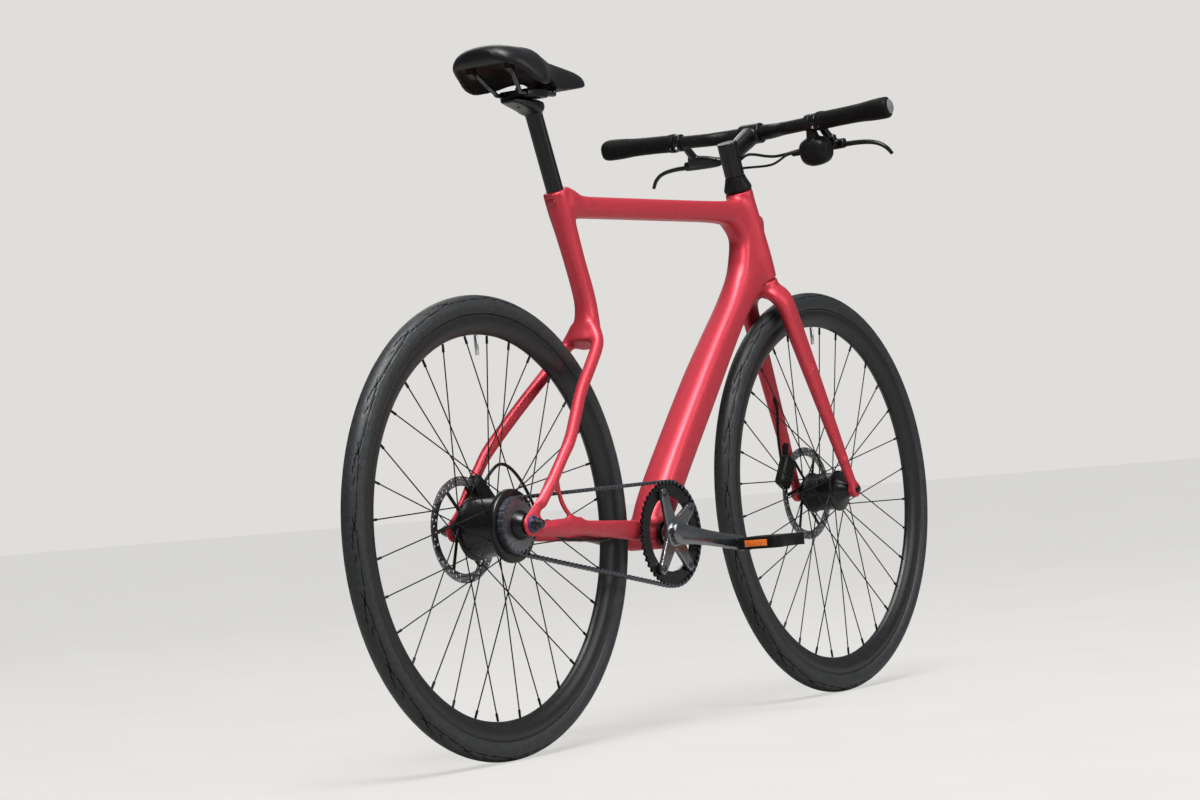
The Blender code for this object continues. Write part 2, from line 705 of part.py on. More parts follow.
def combine(base, other, operation, self_crossing=False):
    if other.parent is None:
        other.parent = base.parent
    tool(other)
    boolean = base.modifiers.new(operation.lower() + "_" + other.name, "BOOLEAN")
    boolean.operation = operation
    boolean.object = other
    boolean.solver = "EXACT"
    boolean.use_self = self_crossing


def unite(base, *others):
    for other in others:
        combine(base, other, "UNION")


def cut(base, *others):
    for other in others:
        combine(base, other, "DIFFERENCE")


def channel(name, points, radius, carrier):
    """A cutter that leaves a fitted hole for a round wire."""
    ahead = (points[1] - points[0]).normalized()
    behind = (points[-2] - points[-1]).normalized()
    longer = [points[0] - ahead * FIT_GAP] + points[1:-1] + [points[-1] - behind * FIT_GAP]
    hole = as_mesh(rod(name, longer, radius + FIT_GAP))
    hole.parent = carrier
    return hole


def hose(name, points, radius, carrier, *holders):
    """A hose along a path, with a fitted hole in each piece that it enters."""
    for number, holder in enumerate(holders):
        cut(holder, channel("%s_hole_%d" % (name, number + 1), points, radius, carrier))
    finish(rod(name, points, radius), carrier, CORD_BLACK)


RED = paint("frame_red", (0.42, 0.018, 0.028), 0.34, 0.55)
BLACK = paint("satin_black", (0.012, 0.012, 0.013), 0.45, 0.0)
ALLOY_BLACK = paint("black_alloy", (0.020, 0.020, 0.022), 0.32, 0.4)
CRANK_GREY = paint("crank_grey", (0.045, 0.045, 0.050), 0.22, 0.7)
RUBBER = paint("tyre_rubber", (0.018, 0.018, 0.019), 0.85, 0.0)
GRIP_RUBBER = paint("grip_rubber", (0.012, 0.012, 0.012), 0.75, 0.0)
STEEL = paint("steel", (0.55, 0.56, 0.58), 0.28, 1.0)
SILVER = paint("silver", (0.70, 0.71, 0.73), 0.24, 1.0)
CORD_BLACK = paint("hose_black", (0.010, 0.010, 0.010), 0.55, 0.0)
SADDLE_BLACK = paint("saddle_cover", (0.014, 0.014, 0.015), 0.60, 0.0)
LENS_RED = paint("tail_lens", (0.30, 0.010, 0.015), 0.15, 0.0)
LENS_CLEAR = paint("head_lens", (0.75, 0.78, 0.80), 0.10, 0.0)


# Derived places

RIM_INNER_RADIUS = RIM_SEAT_RADIUS - RIM_DEPTH
WHEEL_RADIUS = RIM_SEAT_RADIUS + TYRE_HEIGHT
WHEELBASE = 2 * WHEEL_RADIUS + WHEEL_SPACE
RING_PITCH_RADIUS = BELT_PITCH * RING_TEETH / (2 * math.pi)
COG_PITCH_RADIUS = BELT_PITCH * COG_TEETH / (2 * math.pi)


def belt_run(centres):
    """Length of an open belt's pitch line over the two sprockets."""
    lean = math.asin((RING_PITCH_RADIUS - COG_PITCH_RADIUS) / centres)
    return (2 * centres * math.cos(lean) + math.pi * (RING_PITCH_RADIUS + COG_PITCH_RADIUS)
            + 2 * (RING_PITCH_RADIUS - COG_PITCH_RADIUS) * lean)


BELT_TEETH = math.ceil(belt_run(WHEEL_RADIUS + TYRE_TO_SPINDLE) / BELT_PITCH)


def centres_for_belt():
    """Sprocket distance at which the belt has a whole number of teeth."""
    low, high = WHEEL_RADIUS, 2 * (WHEEL_RADIUS + TYRE_TO_SPINDLE)
    for _ in range(60):
        middle = (low + high) / 2
        if belt_run(middle) < BELT_PITCH * BELT_TEETH:
            low = middle
        else:
            high = middle
    return low


CENTRES = centres_for_belt()
BB_Z = WHEEL_RADIUS - BB_DROP
BB_X = math.sqrt(CENTRES ** 2 - BB_DROP ** 2)
STEER_X = WHEELBASE - FORK_OFFSET / math.sin(HEAD_ANGLE)
AXLE_RISE = -(WHEELBASE - STEER_X) * math.cos(HEAD_ANGLE)
STEER_UP = Vector((-math.cos(HEAD_ANGLE), 0.0, math.sin(HEAD_ANGLE)))
CROWN_TOP = WHEEL_RADIUS + CROWN_CLEARANCE
HEAD_TOP = CROWN_TOP + TURN_GAP + HEAD_TUBE_LENGTH
HEAD_TOP_Z = WHEEL_RADIUS + HEAD_TOP * math.sin(HEAD_ANGLE)
STEM_BASE = HEAD_TOP + CONE_HEIGHT
TOP_TUBE_Z = HEAD_TOP_Z - TOP_TUBE_DROP
DOWN_TUBE_HEAD_Z = HEAD_TOP_Z - DOWN_TUBE_DROP
SEAT_COLLAR_TOP = TOP_TUBE_Z + SEAT_COLLAR_RISE
SEAT_TUBE_BEND_Z = TOP_TUBE_Z - SEAT_TUBE_BEND_DROP
SEAT_FOOT = Vector(((WHEEL_RADIUS + SEAT_FOOT_CLEARANCE) * math.cos(SEAT_FOOT_ANGLE), 0.0,
                    WHEEL_RADIUS + (WHEEL_RADIUS + SEAT_FOOT_CLEARANCE)
                    * math.sin(SEAT_FOOT_ANGLE)))
SEATPOST_TOP = SEAT_COLLAR_TOP + SEATPOST_EXPOSED
RAIL_Z = SEATPOST_TOP + RAIL_RISE
SADDLE_TOP = RAIL_Z + SADDLE_RISE
HEAD_LIGHT_Z = TOP_TUBE_Z - HEAD_LIGHT_DROP
TAIL_LIGHT_Z = SEAT_COLLAR_TOP - TAIL_LIGHT_DROP
GRIP_INNER_Y = BAR_HALF_WIDTH - GRIP_LENGTH
LEVER_CLAMP_Y = GRIP_INNER_Y - FIT_GAP - LEVER_CLAMP_WIDTH / 2
SHIFTER_Y = LEVER_CLAMP_Y - LEVER_CLAMP_WIDTH / 2 - FIT_GAP - SHIFTER_CLAMP_WIDTH / 2
BAR_BEND_Y = SHIFTER_Y - BAR_STRAIGHT_SPARE


def steering_x(z):
    """Where the steering axis stands at a height above the ground."""
    return STEER_X - (z - WHEEL_RADIUS) / math.tan(HEAD_ANGLE)


def seat_axis_x(z):
    """Where the seatpost's axis stands at a height above the ground."""
    return SEAT_AXIS_FOOT - (z - SEAT_COLLAR_TOP) / math.tan(SEAT_ANGLE)


SADDLE_REAR_X = seat_axis_x(SEATPOST_TOP) - SADDLE_REAR_BACK
ORIGIN = Vector((seat_axis_x(SEATPOST_TOP) - SADDLE_MIDDLE_BACK, 0.0, SADDLE_TOP))

root = empty("bike_origin", -ORIGIN)
rear_axis = empty("rear_wheel_axis", (0.0, 0.0, WHEEL_RADIUS), root)
crank_axis = empty("crank_axis", (BB_X, 0.0, BB_Z), root, (0.0, CRANK_PITCH, 0.0))
steering_axis = empty("steering_axis", (STEER_X, 0.0, WHEEL_RADIUS), root,
                      (0.0, HEAD_ANGLE - math.pi / 2, 0.0))
front_axis = empty("front_wheel_axis", (FORK_OFFSET, 0.0, AXLE_RISE), steering_axis,
                   (0.0, math.pi / 2 - HEAD_ANGLE, 0.0))


# The frame: tubes lofted one by one and joined

def head_tube():
    profile = [(0.0, HEAD_TUBE_LENGTH), (HEAD_UPPER_RADIUS, HEAD_TUBE_LENGTH),
               (HEAD_UPPER_RADIUS, HEAD_TUBE_LENGTH - HEAD_LOWER_RING),
               (HEAD_LOWER_RADIUS, HEAD_LOWER_RING * 2), (HEAD_LOWER_RADIUS, 0.0), (0.0, 0.0)]
    tube = turned("head_tube", profile, SMALL_STEPS + 12,
                  place=(0.0, 0.0, CROWN_TOP + TURN_GAP), turn=LEVEL)
    tube.parent = steering_axis
    return tube


def top_tube():
    front = steering_x(TOP_TUBE_Z)
    rear = seat_axis_x(TOP_TUBE_Z)
    rings = [(Vector((rear + (front - rear) * along, 0.0, TOP_TUBE_Z)),
              TOP_TUBE_HALF_HEIGHT * high, TOP_TUBE_HALF_WIDTH * wide, square)
             for along, high, wide, square in TOP_TUBE_SHARES]
    flare = TOP_TUBE_HEAD_HALF_HEIGHT - TOP_TUBE_HALF_HEIGHT
    for along, share in TOP_TUBE_FLARE_SHARES:
        centre = Vector((rear + (front - rear) * along, 0.0, TOP_TUBE_Z - flare * share / 3))
        rings.append((centre, TOP_TUBE_HALF_HEIGHT + flare * share,
                      TOP_TUBE_HALF_WIDTH, 3.0))
    return loft("top_tube", rings, TUBE_SIDES)


def down_tube():
    head = Vector((steering_x(DOWN_TUBE_HEAD_Z), 0.0, DOWN_TUBE_HEAD_Z))
    foot = Vector((BB_X, 0.0, BB_Z))
    chord = foot - head
    normal = Vector((chord.z, 0.0, -chord.x)).normalized()

    def centre(along):
        return head + chord * along + normal * DOWN_TUBE_BOW * 4 * along * (1 - along)

    flare = DOWN_TUBE_HEAD_HALF_HEIGHT - DOWN_TUBE_HALF_HEIGHT
    rings = [(centre(along), DOWN_TUBE_HALF_HEIGHT + flare * share, DOWN_TUBE_HALF_WIDTH * wide,
              2.8) for along, share, wide in DOWN_TUBE_FLARE_SHARES]
    rings += [(centre(along), DOWN_TUBE_HALF_HEIGHT * high, DOWN_TUBE_HALF_WIDTH * wide, square)
              for along, high, wide, square in DOWN_TUBE_SHARES]
    return loft("down_tube", rings, TUBE_SIDES)


def seat_tube():
    """Straight along the seatpost, then bending back to the fork of the stays."""
    top = Vector((seat_axis_x(SEAT_COLLAR_TOP), 0.0, SEAT_COLLAR_TOP))
    bend = Vector((seat_axis_x(SEAT_TUBE_BEND_Z), 0.0, SEAT_TUBE_BEND_Z))
    knee = bend + (bend - top).normalized() * (bend.z - SEAT_FOOT.z) * SEAT_TUBE_KNEE_SHARE
    rings = [(top.lerp(bend, along), SEAT_COLLAR_HALF_DEPTH, SEAT_COLLAR_HALF_WIDTH, 2.2)
             for along in SEAT_COLLAR_SHARES]
    rings += [(top.lerp(bend, along), SEAT_TUBE_HALF_DEPTH * deep, SEAT_TUBE_HALF_WIDTH * wide,
               square) for along, deep, wide, square in SEAT_TUBE_SHARES]
    for t, deep, wide in SEAT_CURVE_SHARES:
        point = bend * (1 - t) ** 2 + knee * 2 * t * (1 - t) + SEAT_FOOT * t ** 2
        rings.append((point, SEAT_TUBE_HALF_DEPTH * deep, SEAT_TUBE_HALF_WIDTH * wide, 2.8))
    return loft("seat_tube", rings, TUBE_SIDES)


def seat_stay(side):
    stay_y = REAR_DROPOUT_Y + STAY_HALF_WIDTH
    middle = Vector((STAY_MIDDLE_X, side * STAY_MIDDLE_Y, WHEEL_RADIUS + STAY_MIDDLE_RISE))
    lower = Vector((STAY_LOWER_X, side * stay_y, WHEEL_RADIUS + STAY_LOWER_RISE))
    axle = Vector((0.0, side * stay_y, WHEEL_RADIUS))
    knee = lower.lerp(middle, STAY_KNEE_SHARE)
    knee.y = side * (stay_y - STAY_KNEE_INSET)
    path = [SEAT_FOOT + Vector((STAY_ROOT_FORWARD, side * STAY_SPLIT_HALF_WIDTH * STAY_ROOT_SHARE,
                                STAY_ROOT_RISE)),
            SEAT_FOOT + Vector((-STAY_SPLIT_BACK, side * STAY_SPLIT_HALF_WIDTH, -STAY_SPLIT_DROP)),
            middle, knee, lower, lower.lerp(axle, STAY_END_SHARE)]
    smooth = smooth_path(path, 2)
    count = len(smooth) - 1
    rings = []
    for index, point in enumerate(smooth):
        t = index / count
        swell = 1.0 + STAY_SWELL_SHARE * max(0.0, 1 - t / 0.3)
        rings.append((point, STAY_HALF_HEIGHT * swell, STAY_HALF_WIDTH * (1 + 0.15 * (1 - t)), 2.6))
    return loft(sided("seat_stay", side), rings, STAY_SIDES)


def chainstay(side):
    end_y = REAR_DROPOUT_Y + CHAINSTAY_HALF_WIDTH
    path = [Vector((BB_X - back, side * y, BB_Z + rise)) for back, y, rise in (
                (CHAINSTAY_ROOT_BACK, CHAINSTAY_ROOT_Y, CHAINSTAY_ROOT_RISE),
                (CHAINSTAY_THROAT_BACK, CHAINSTAY_THROAT_Y, CHAINSTAY_THROAT_RISE),
                (CHAINSTAY_WAIST_BACK, CHAINSTAY_WAIST_Y, CHAINSTAY_WAIST_RISE))]
    path += [Vector((x, side * y, WHEEL_RADIUS - drop)) for x, y, drop in (
                (CHAINSTAY_MIDDLE_X, CHAINSTAY_MIDDLE_Y, CHAINSTAY_MIDDLE_DROP),
                (CHAINSTAY_REAR_X, CHAINSTAY_REAR_Y, CHAINSTAY_REAR_DROP),
                (CHAINSTAY_TAIL_X, end_y, CHAINSTAY_TAIL_DROP),
                (CHAINSTAY_END_X, end_y, CHAINSTAY_END_DROP))]
    waist = BB_X - CHAINSTAY_WAIST_BACK
    rings = []
    for point in smooth_path(path, 2):
        share = min(1.0, max(0.0, (point.x - waist * 0.66) / (waist * 0.43)))
        wide = CHAINSTAY_HALF_WIDTH * (1 - share) + CHAINSTAY_THROAT_HALF_WIDTH * share
        rear = min(1.0, max(0.0, 1 - point.x / DROPOUT_TOE_X))
        high = CHAINSTAY_HALF_HEIGHT * (1 + 0.25 * share - 0.35 * rear)
        rings.append((point, high, wide, 2.8))
    return loft(sided("chainstay", side), rings, STAY_SIDES)


def dropout(side):
    """Flat plate between the stays, with a window ahead of the axle."""
    brace = (BRACE_CENTRE_X, BRACE_CENTRE_RISE)
    outer = (arc((0.0, 0.0), DROPOUT_BOSS_RADIUS, math.radians(130), math.radians(275), 9)
             + [(DROPOUT_TOE_X, -DROPOUT_TOE_DROP), (DROPOUT_FOOT_X, -DROPOUT_FOOT_LOW_DROP),
                (DROPOUT_FOOT_X, -DROPOUT_FOOT_TOP_DROP)]
             + arc(brace, BRACE_RADIUS, math.radians(-78), math.radians(-172), 8)
             + [(DROPOUT_NECK_X, DROPOUT_NECK_RISE), (DROPOUT_HORN_X, DROPOUT_HORN_RISE)])
    window = (arc(brace, BRACE_RADIUS + BRACE_WIDTH, math.radians(-117), math.radians(-172), 5)
              + [(WINDOW_SHOULDER_X, WINDOW_SHOULDER_RISE),
                 (WINDOW_THROAT_X, WINDOW_THROAT_TOP), (WINDOW_THROAT_X, WINDOW_THROAT_FOOT),
                 (WINDOW_SHOULDER_X, WINDOW_SILL_RISE)])
    return plate(sided("dropout", side), [outer, window], DROPOUT_THICKNESS,
                 place=(0.0, side * (REAR_DROPOUT_Y + DROPOUT_THICKNESS / 2), WHEEL_RADIUS))


def build_frame():
    frame = down_tube()
    frame.name = "frame"
    frame.data.name = "frame"
    finish(frame, root, RED)
    shell = cylinder("bb_shell", BB_SHELL_RADIUS, -BB_SHELL_HALF_WIDTH, BB_SHELL_HALF_WIDTH,
                     SMALL_STEPS + 8, place=(BB_X, 0.0, BB_Z))
    stays = [make(side) for side in (1, -1) for make in (seat_stay, chainstay, dropout)]
    unite(frame, head_tube(), top_tube(), seat_tube(), shell, light_housing(), *stays)
    low = CROWN_TOP + TURN_GAP - CUT_OVERRUN
    head_bore = cylinder("head_bore", HEAD_BORE_RADIUS, low,
                         low + HEAD_TUBE_LENGTH + 2 * CUT_OVERRUN, SMALL_STEPS, turn=LEVEL)
    head_bore.parent = steering_axis
    bb_bore = cylinder("bb_bore", BB_BORE_RADIUS, -BB_SHELL_HALF_WIDTH - CUT_OVERRUN,
                       BB_SHELL_HALF_WIDTH + CUT_OVERRUN, SMALL_STEPS + 8,
                       place=(BB_X, 0.0, BB_Z))
    post_bore = cylinder("post_bore", SEATPOST_RADIUS + FIT_GAP, -SEATPOST_INSERTION - FIT_GAP,
                         CUT_OVERRUN * 3, SMALL_STEPS,
                         place=(seat_axis_x(SEAT_COLLAR_TOP), 0.0, SEAT_COLLAR_TOP),
                         turn=(0.0, SEAT_ANGLE - math.pi / 2, 0.0))
    room_top, room_foot = CROWN_TOP + TURN_GAP, CROWN_TOP - FORK_SHOULDER_DROP
    crown_room = turned("crown_room", [(0.0, room_top), (CROWN_ROOM_RADIUS, room_top),
                                       (CROWN_ROOM_FOOT_RADIUS, room_foot), (0.0, room_foot)],
                        SMALL_STEPS + 12, turn=LEVEL)
    crown_room.parent = steering_axis
    reach = REAR_DROPOUT_Y + DROPOUT_THICKNESS + 4 * CUT_OVERRUN
    axle_bore = cylinder("axle_bore", AXLE_RADIUS + FIT_GAP, -reach, reach, SMALL_STEPS,
                         place=(0.0, 0.0, WHEEL_RADIUS))
    cut(frame, crown_room, head_bore, bb_bore, post_bore, axle_bore)
    return frame


# Lights built into the frame: a lens in a box on the head tube, one behind the seatpost

def beam_x():
    return steering_x(HEAD_LIGHT_Z) + HEAD_LOWER_RADIUS + HEAD_LIGHT_STAND


def light_housing():
    rings = [(Vector((steering_x(HEAD_LIGHT_Z), 0.0, HEAD_LIGHT_Z)), HEAD_LIGHT_HEIGHT * 0.90,
              HEAD_LIGHT_WIDTH * 0.70, 2.6),
             (Vector((beam_x(), 0.0, HEAD_LIGHT_Z)), HEAD_LIGHT_HEIGHT / 2 + LENS_MARGIN,
              HEAD_LIGHT_WIDTH / 2 + LENS_MARGIN, 4.0)]
    return loft("head_light_housing", rings, TUBE_SIDES)


def light(name, material, x, z, depth, width, height, outward):
    """A lens let into a pocket of the frame, flush with its mouth."""
    cut(frame, box(name + "_pocket", (depth * 2, width, height), place=(x, 0.0, z)))
    lens = box(name, (depth, width - 2 * FIT_GAP, height - 2 * FIT_GAP),
               place=(x - outward * (depth / 2 - FIT_GAP), 0.0, z))
    finish(lens, root, material)


def lights():
    light("head_light", LENS_CLEAR, beam_x(), HEAD_LIGHT_Z, LENS_DEPTH, HEAD_LIGHT_WIDTH,
          HEAD_LIGHT_HEIGHT, 1)
    tail_x = seat_axis_x(TAIL_LIGHT_Z) - SEAT_COLLAR_HALF_DEPTH / math.sin(SEAT_ANGLE)
    light("tail_light", LENS_RED, tail_x, TAIL_LIGHT_Z, TAIL_LIGHT_DEPTH, TAIL_LIGHT_WIDTH,
          TAIL_LIGHT_HEIGHT, -1)


# Wheels

def tyre(name, axis):
    """A tyre's tread and walls, its beads resting on the rim."""
    middle = WHEEL_RADIUS - TYRE_HALF_WIDTH
    start = math.asin((RIM_SEAT_RADIUS + FIT_GAP - middle) / TYRE_HALF_WIDTH)
    section = [(middle + TYRE_HALF_WIDTH * math.sin(a), TYRE_HALF_WIDTH * math.cos(a))
               for a in [start + (math.pi - 2 * start) * k / 6 for k in range(7)]]
    finish(turned(name, section, WHEEL_STEPS, ring=True), axis, RUBBER)


def rim(name, axis):
    side = [(RIM_SEAT_RADIUS, RIM_HALF_WIDTH), (RIM_SEAT_RADIUS, -RIM_HALF_WIDTH),
            (RIM_SEAT_RADIUS - RIM_DEPTH * 0.55, -RIM_HALF_WIDTH * 0.94),
            (RIM_INNER_RADIUS + RIM_DEPTH * 0.06, -RIM_SPINE_HALF_WIDTH),
            (RIM_INNER_RADIUS, 0.0),
            (RIM_INNER_RADIUS + RIM_DEPTH * 0.06, RIM_SPINE_HALF_WIDTH),
            (RIM_SEAT_RADIUS - RIM_DEPTH * 0.55, RIM_HALF_WIDTH * 0.94)]
    finish(turned(name, side, WHEEL_STEPS, ring=True), axis, BLACK)


def rim_hole_radius():
    """Where the rim's spine stands closest to the axle's side of its flat facets."""
    return RIM_INNER_RADIUS * math.cos(math.pi / WHEEL_STEPS) - FIT_GAP


def spokes(name, circle_radius, flange_y):
    """Both flanges' crossed spokes in one mesh, out to the rim's spine."""
    shape = bmesh.new()
    pitch = 2 * math.pi / SPOKES_PER_FLANGE
    outer = rim_hole_radius()
    for side in (1, -1):
        for k in range(SPOKES_PER_FLANGE):
            lead = 1 if k % 2 else -1
            hole = pitch * (k + side / 4)
            seat = hole + lead * pitch * SPOKE_CROSSINGS
            start = Vector((circle_radius * math.cos(hole), circle_radius * math.sin(hole),
                            side * flange_y + lead * FLANGE_STAGGER))
            end = Vector((outer * math.cos(seat), outer * math.sin(seat), 0.0))
            run = end - start
            place = (Matrix.Translation((start + end) / 2)
                     @ run.to_track_quat("Z", "Y").to_matrix().to_4x4())
            bmesh.ops.create_cone(shape, cap_ends=True, segments=3, radius1=SPOKE_RADIUS,
                                  radius2=SPOKE_RADIUS, depth=run.length, matrix=place)
    return mesh_object(name, shape, turn=ACROSS)


def hub_profile(stations):
    """A hub's outside, (offset to the left, radius), closed round its axle's bore."""
    bore = AXLE_RADIUS + HUB_BORE_GAP
    outside = [(radius, offset) for offset, radius in stations]
    return outside + [(bore, stations[-1][0]), (bore, stations[0][0])]


def flange_stations(middle, radius, left, right):
    """One flange, from the surface on its left side down to the one on its right."""
    half = FLANGE_THICKNESS / 2
    return [(middle + half + FLANGE_FILLET, left), (middle + half, radius),
            (middle - half, radius), (middle - half - FLANGE_FILLET, right)]


def front_hub():
    face = FRONT_DROPOUT_Y - TURN_GAP
    seat = FRONT_ROTOR_Y - ROTOR_THICKNESS / 2 - FIT_GAP
    connector = -FRONT_FLANGE_Y - FLANGE_THICKNESS / 2 - FLANGE_FILLET - FRONT_CONNECTOR_LENGTH
    stations = [(face, HUB_END_RADIUS), (seat, HUB_END_RADIUS), (seat, FRONT_ROTOR_SEAT_RADIUS)]
    stations += flange_stations(FRONT_FLANGE_Y, FRONT_FLANGE_RADIUS, FRONT_SHOULDER_RADIUS,
                                FRONT_SHELL_RADIUS)
    stations += flange_stations(-FRONT_FLANGE_Y, FRONT_FLANGE_RADIUS, FRONT_SHELL_RADIUS,
                                FRONT_SHOULDER_RADIUS)
    stations += [(connector, FRONT_CONNECTOR_RADIUS), (-face, HUB_END_RADIUS)]
    hub = turned("front_hub", hub_profile(stations), SMALL_STEPS + 4, ring=True)
    finish(hub, front_axis, ALLOY_BLACK)
    combine(hub, spokes("front_spokes", FRONT_SPOKE_CIRCLE, FRONT_FLANGE_Y), "UNION", True)


def rear_hub():
    face = REAR_DROPOUT_Y - WASHER_THICKNESS - TURN_GAP
    seat = REAR_ROTOR_Y - ROTOR_THICKNESS / 2 - FIT_GAP
    inner = BELT_Y + COG_THICKNESS / 2 + TURN_GAP
    stations = [(face, HUB_END_RADIUS), (seat, HUB_END_RADIUS), (seat, REAR_ROTOR_SEAT_RADIUS),
                (REAR_FLANGE_Y + REAR_SHOULDER_LENGTH, REAR_SHOULDER_RADIUS)]
    stations += flange_stations(REAR_FLANGE_Y, REAR_FLANGE_RADIUS, REAR_CAP_RADIUS,
                                REAR_SHELL_RADIUS)
    stations += [(0.0, REAR_SHELL_RADIUS + REAR_SHELL_CROWN)]
    stations += flange_stations(-REAR_FLANGE_Y, REAR_FLANGE_RADIUS, REAR_SHELL_RADIUS,
                                DUST_COVER_RADIUS)
    stations += [(inner, DUST_COVER_RADIUS - DUST_COVER_CHAMFER)]
    hub = turned("rear_hub", hub_profile(stations), SMALL_STEPS + 8, ring=True)
    finish(hub, rear_axis, ALLOY_BLACK)
    combine(hub, spokes("rear_spokes", REAR_SPOKE_CIRCLE, REAR_FLANGE_Y), "UNION", True)


def rotor(name, axis, offset):
    """Brake disc: a worked ring on swept arms round a carrier."""
    inner = ROTOR_RADIUS - ROTOR_TRACK
    pitch = 2 * math.pi / ROTOR_ARMS
    sweep = pitch * ROTOR_SWEEP_SHARE
    outer_half = ROTOR_ARM_WIDTH / 2 / inner
    hub_half = ROTOR_ARM_WIDTH / 2 / ROTOR_HUB_RADIUS
    outlines = [circle(ROTOR_RADIUS, WHEEL_STEPS - 12), circle(ROTOR_BORE, SMALL_STEPS)]
    for k in range(ROTOR_ARMS):
        start = k * pitch
        outlines.append(arc((0.0, 0.0), inner, start + outer_half, start + pitch - outer_half, 7)
                        + arc((0.0, 0.0), ROTOR_HUB_RADIUS, start + pitch - hub_half - sweep,
                              start + hub_half - sweep, 4))
    finish(plate(name, outlines, ROTOR_THICKNESS, place=(0.0, offset, 0.0)), axis, STEEL)


def valve(name, axis):
    top = rim_hole_radius()
    stem = cylinder(name, VALVE_RADIUS, top - VALVE_LENGTH, top, 12, turn=LEVEL)
    finish(stem, axis, SILVER)


def front_axle():
    end = FRONT_DROPOUT_Y + 2 * FORK_LEG_FOOT_WIDTH + FRONT_AXLE_HEAD
    neck = end - FRONT_AXLE_HEAD + FIT_GAP
    tip = -FRONT_DROPOUT_Y - 2 * FORK_LEG_FOOT_WIDTH - THRU_AXLE_END
    profile = [(0.0, end), (FRONT_AXLE_HEAD_RADIUS, end), (FRONT_AXLE_HEAD_RADIUS, neck),
               (AXLE_RADIUS, neck), (AXLE_RADIUS, tip), (0.0, tip)]
    axle = turned("front_axle", profile, SMALL_STEPS, place=(FORK_OFFSET, 0.0, AXLE_RISE))
    finish(axle, steering_axis, ALLOY_BLACK)


def rear_axle():
    """Axle with a nut outside each dropout and a lock ring inside it."""
    outer = REAR_DROPOUT_Y + DROPOUT_THICKNESS + FIT_GAP
    nut = outer + WASHER_THICKNESS
    inside = REAR_DROPOUT_Y - FIT_GAP
    half = [(0.0, nut + AXLE_NUT_HEIGHT + AXLE_STUB),
            (AXLE_RADIUS, nut + AXLE_NUT_HEIGHT + AXLE_STUB), (AXLE_RADIUS, nut + AXLE_NUT_HEIGHT),
            (AXLE_NUT_RADIUS, nut + AXLE_NUT_HEIGHT), (AXLE_NUT_RADIUS, nut), (WASHER_RADIUS, nut),
            (WASHER_RADIUS, outer), (AXLE_RADIUS, outer), (AXLE_RADIUS, inside),
            (WASHER_RADIUS, inside), (WASHER_RADIUS, inside - WASHER_THICKNESS),
            (AXLE_RADIUS, inside - WASHER_THICKNESS)]
    mirrored = [(radius, -offset) for radius, offset in half[::-1]]
    axle = turned("rear_axle", half + mirrored, SMALL_STEPS - 4, place=(0.0, 0.0, WHEEL_RADIUS))
    finish(axle, root, STEEL)


def wheels():
    for name, axis, offset in (("front", front_axis, FRONT_ROTOR_Y),
                               ("rear", rear_axis, REAR_ROTOR_Y)):
        tyre(name + "_tyre", axis)
        rim(name + "_rim", axis)
        rotor(name + "_rotor", axis, offset)
        valve(name + "_valve", axis)
    front_hub()
    rear_hub()
    front_axle()
    rear_axle()


# Belt drive

def belt_frame():
    """Both sprockets' centres, and the lean of the belt's straight runs from the line of them."""
    rear = Vector((0.0, WHEEL_RADIUS))
    front = Vector((BB_X, BB_Z))
    along = (front - rear).normalized()
    lean = math.asin((RING_PITCH_RADIUS - COG_PITCH_RADIUS) / CENTRES)
    return rear, front, math.atan2(along.y, along.x), lean


def pitch_point(s):
    """Place and outward normal on the belt's pitch line, s along it from the top of the ring."""
    rear, front, base, lean = belt_frame()
    wrap_ring = math.pi + 2 * lean
    wrap_cog = math.pi - 2 * lean
    straight = CENTRES * math.cos(lean)
    top = base + math.pi / 2 + lean
    runs = (RING_PITCH_RADIUS * wrap_ring, straight, COG_PITCH_RADIUS * wrap_cog, straight)
    s = s % sum(runs)
    if s < runs[0]:
        angle = top - s / RING_PITCH_RADIUS
        normal = Vector((math.cos(angle), math.sin(angle)))
        return front + normal * RING_PITCH_RADIUS, normal
    s -= runs[0]
    bottom = top - wrap_ring
    normal = Vector((math.cos(bottom), math.sin(bottom)))
    if s < runs[1]:
        start = front + normal * RING_PITCH_RADIUS
        stop = rear + normal * COG_PITCH_RADIUS
        return start.lerp(stop, s / runs[1]), normal
    s -= runs[1]
    if s < runs[2]:
        angle = bottom - s / COG_PITCH_RADIUS
        normal = Vector((math.cos(angle), math.sin(angle)))
        return rear + normal * COG_PITCH_RADIUS, normal
    s -= runs[2]
    normal = Vector((math.cos(top), math.sin(top)))
    start = rear + normal * COG_PITCH_RADIUS
    stop = front + normal * RING_PITCH_RADIUS
    return start.lerp(stop, s / runs[3]), normal


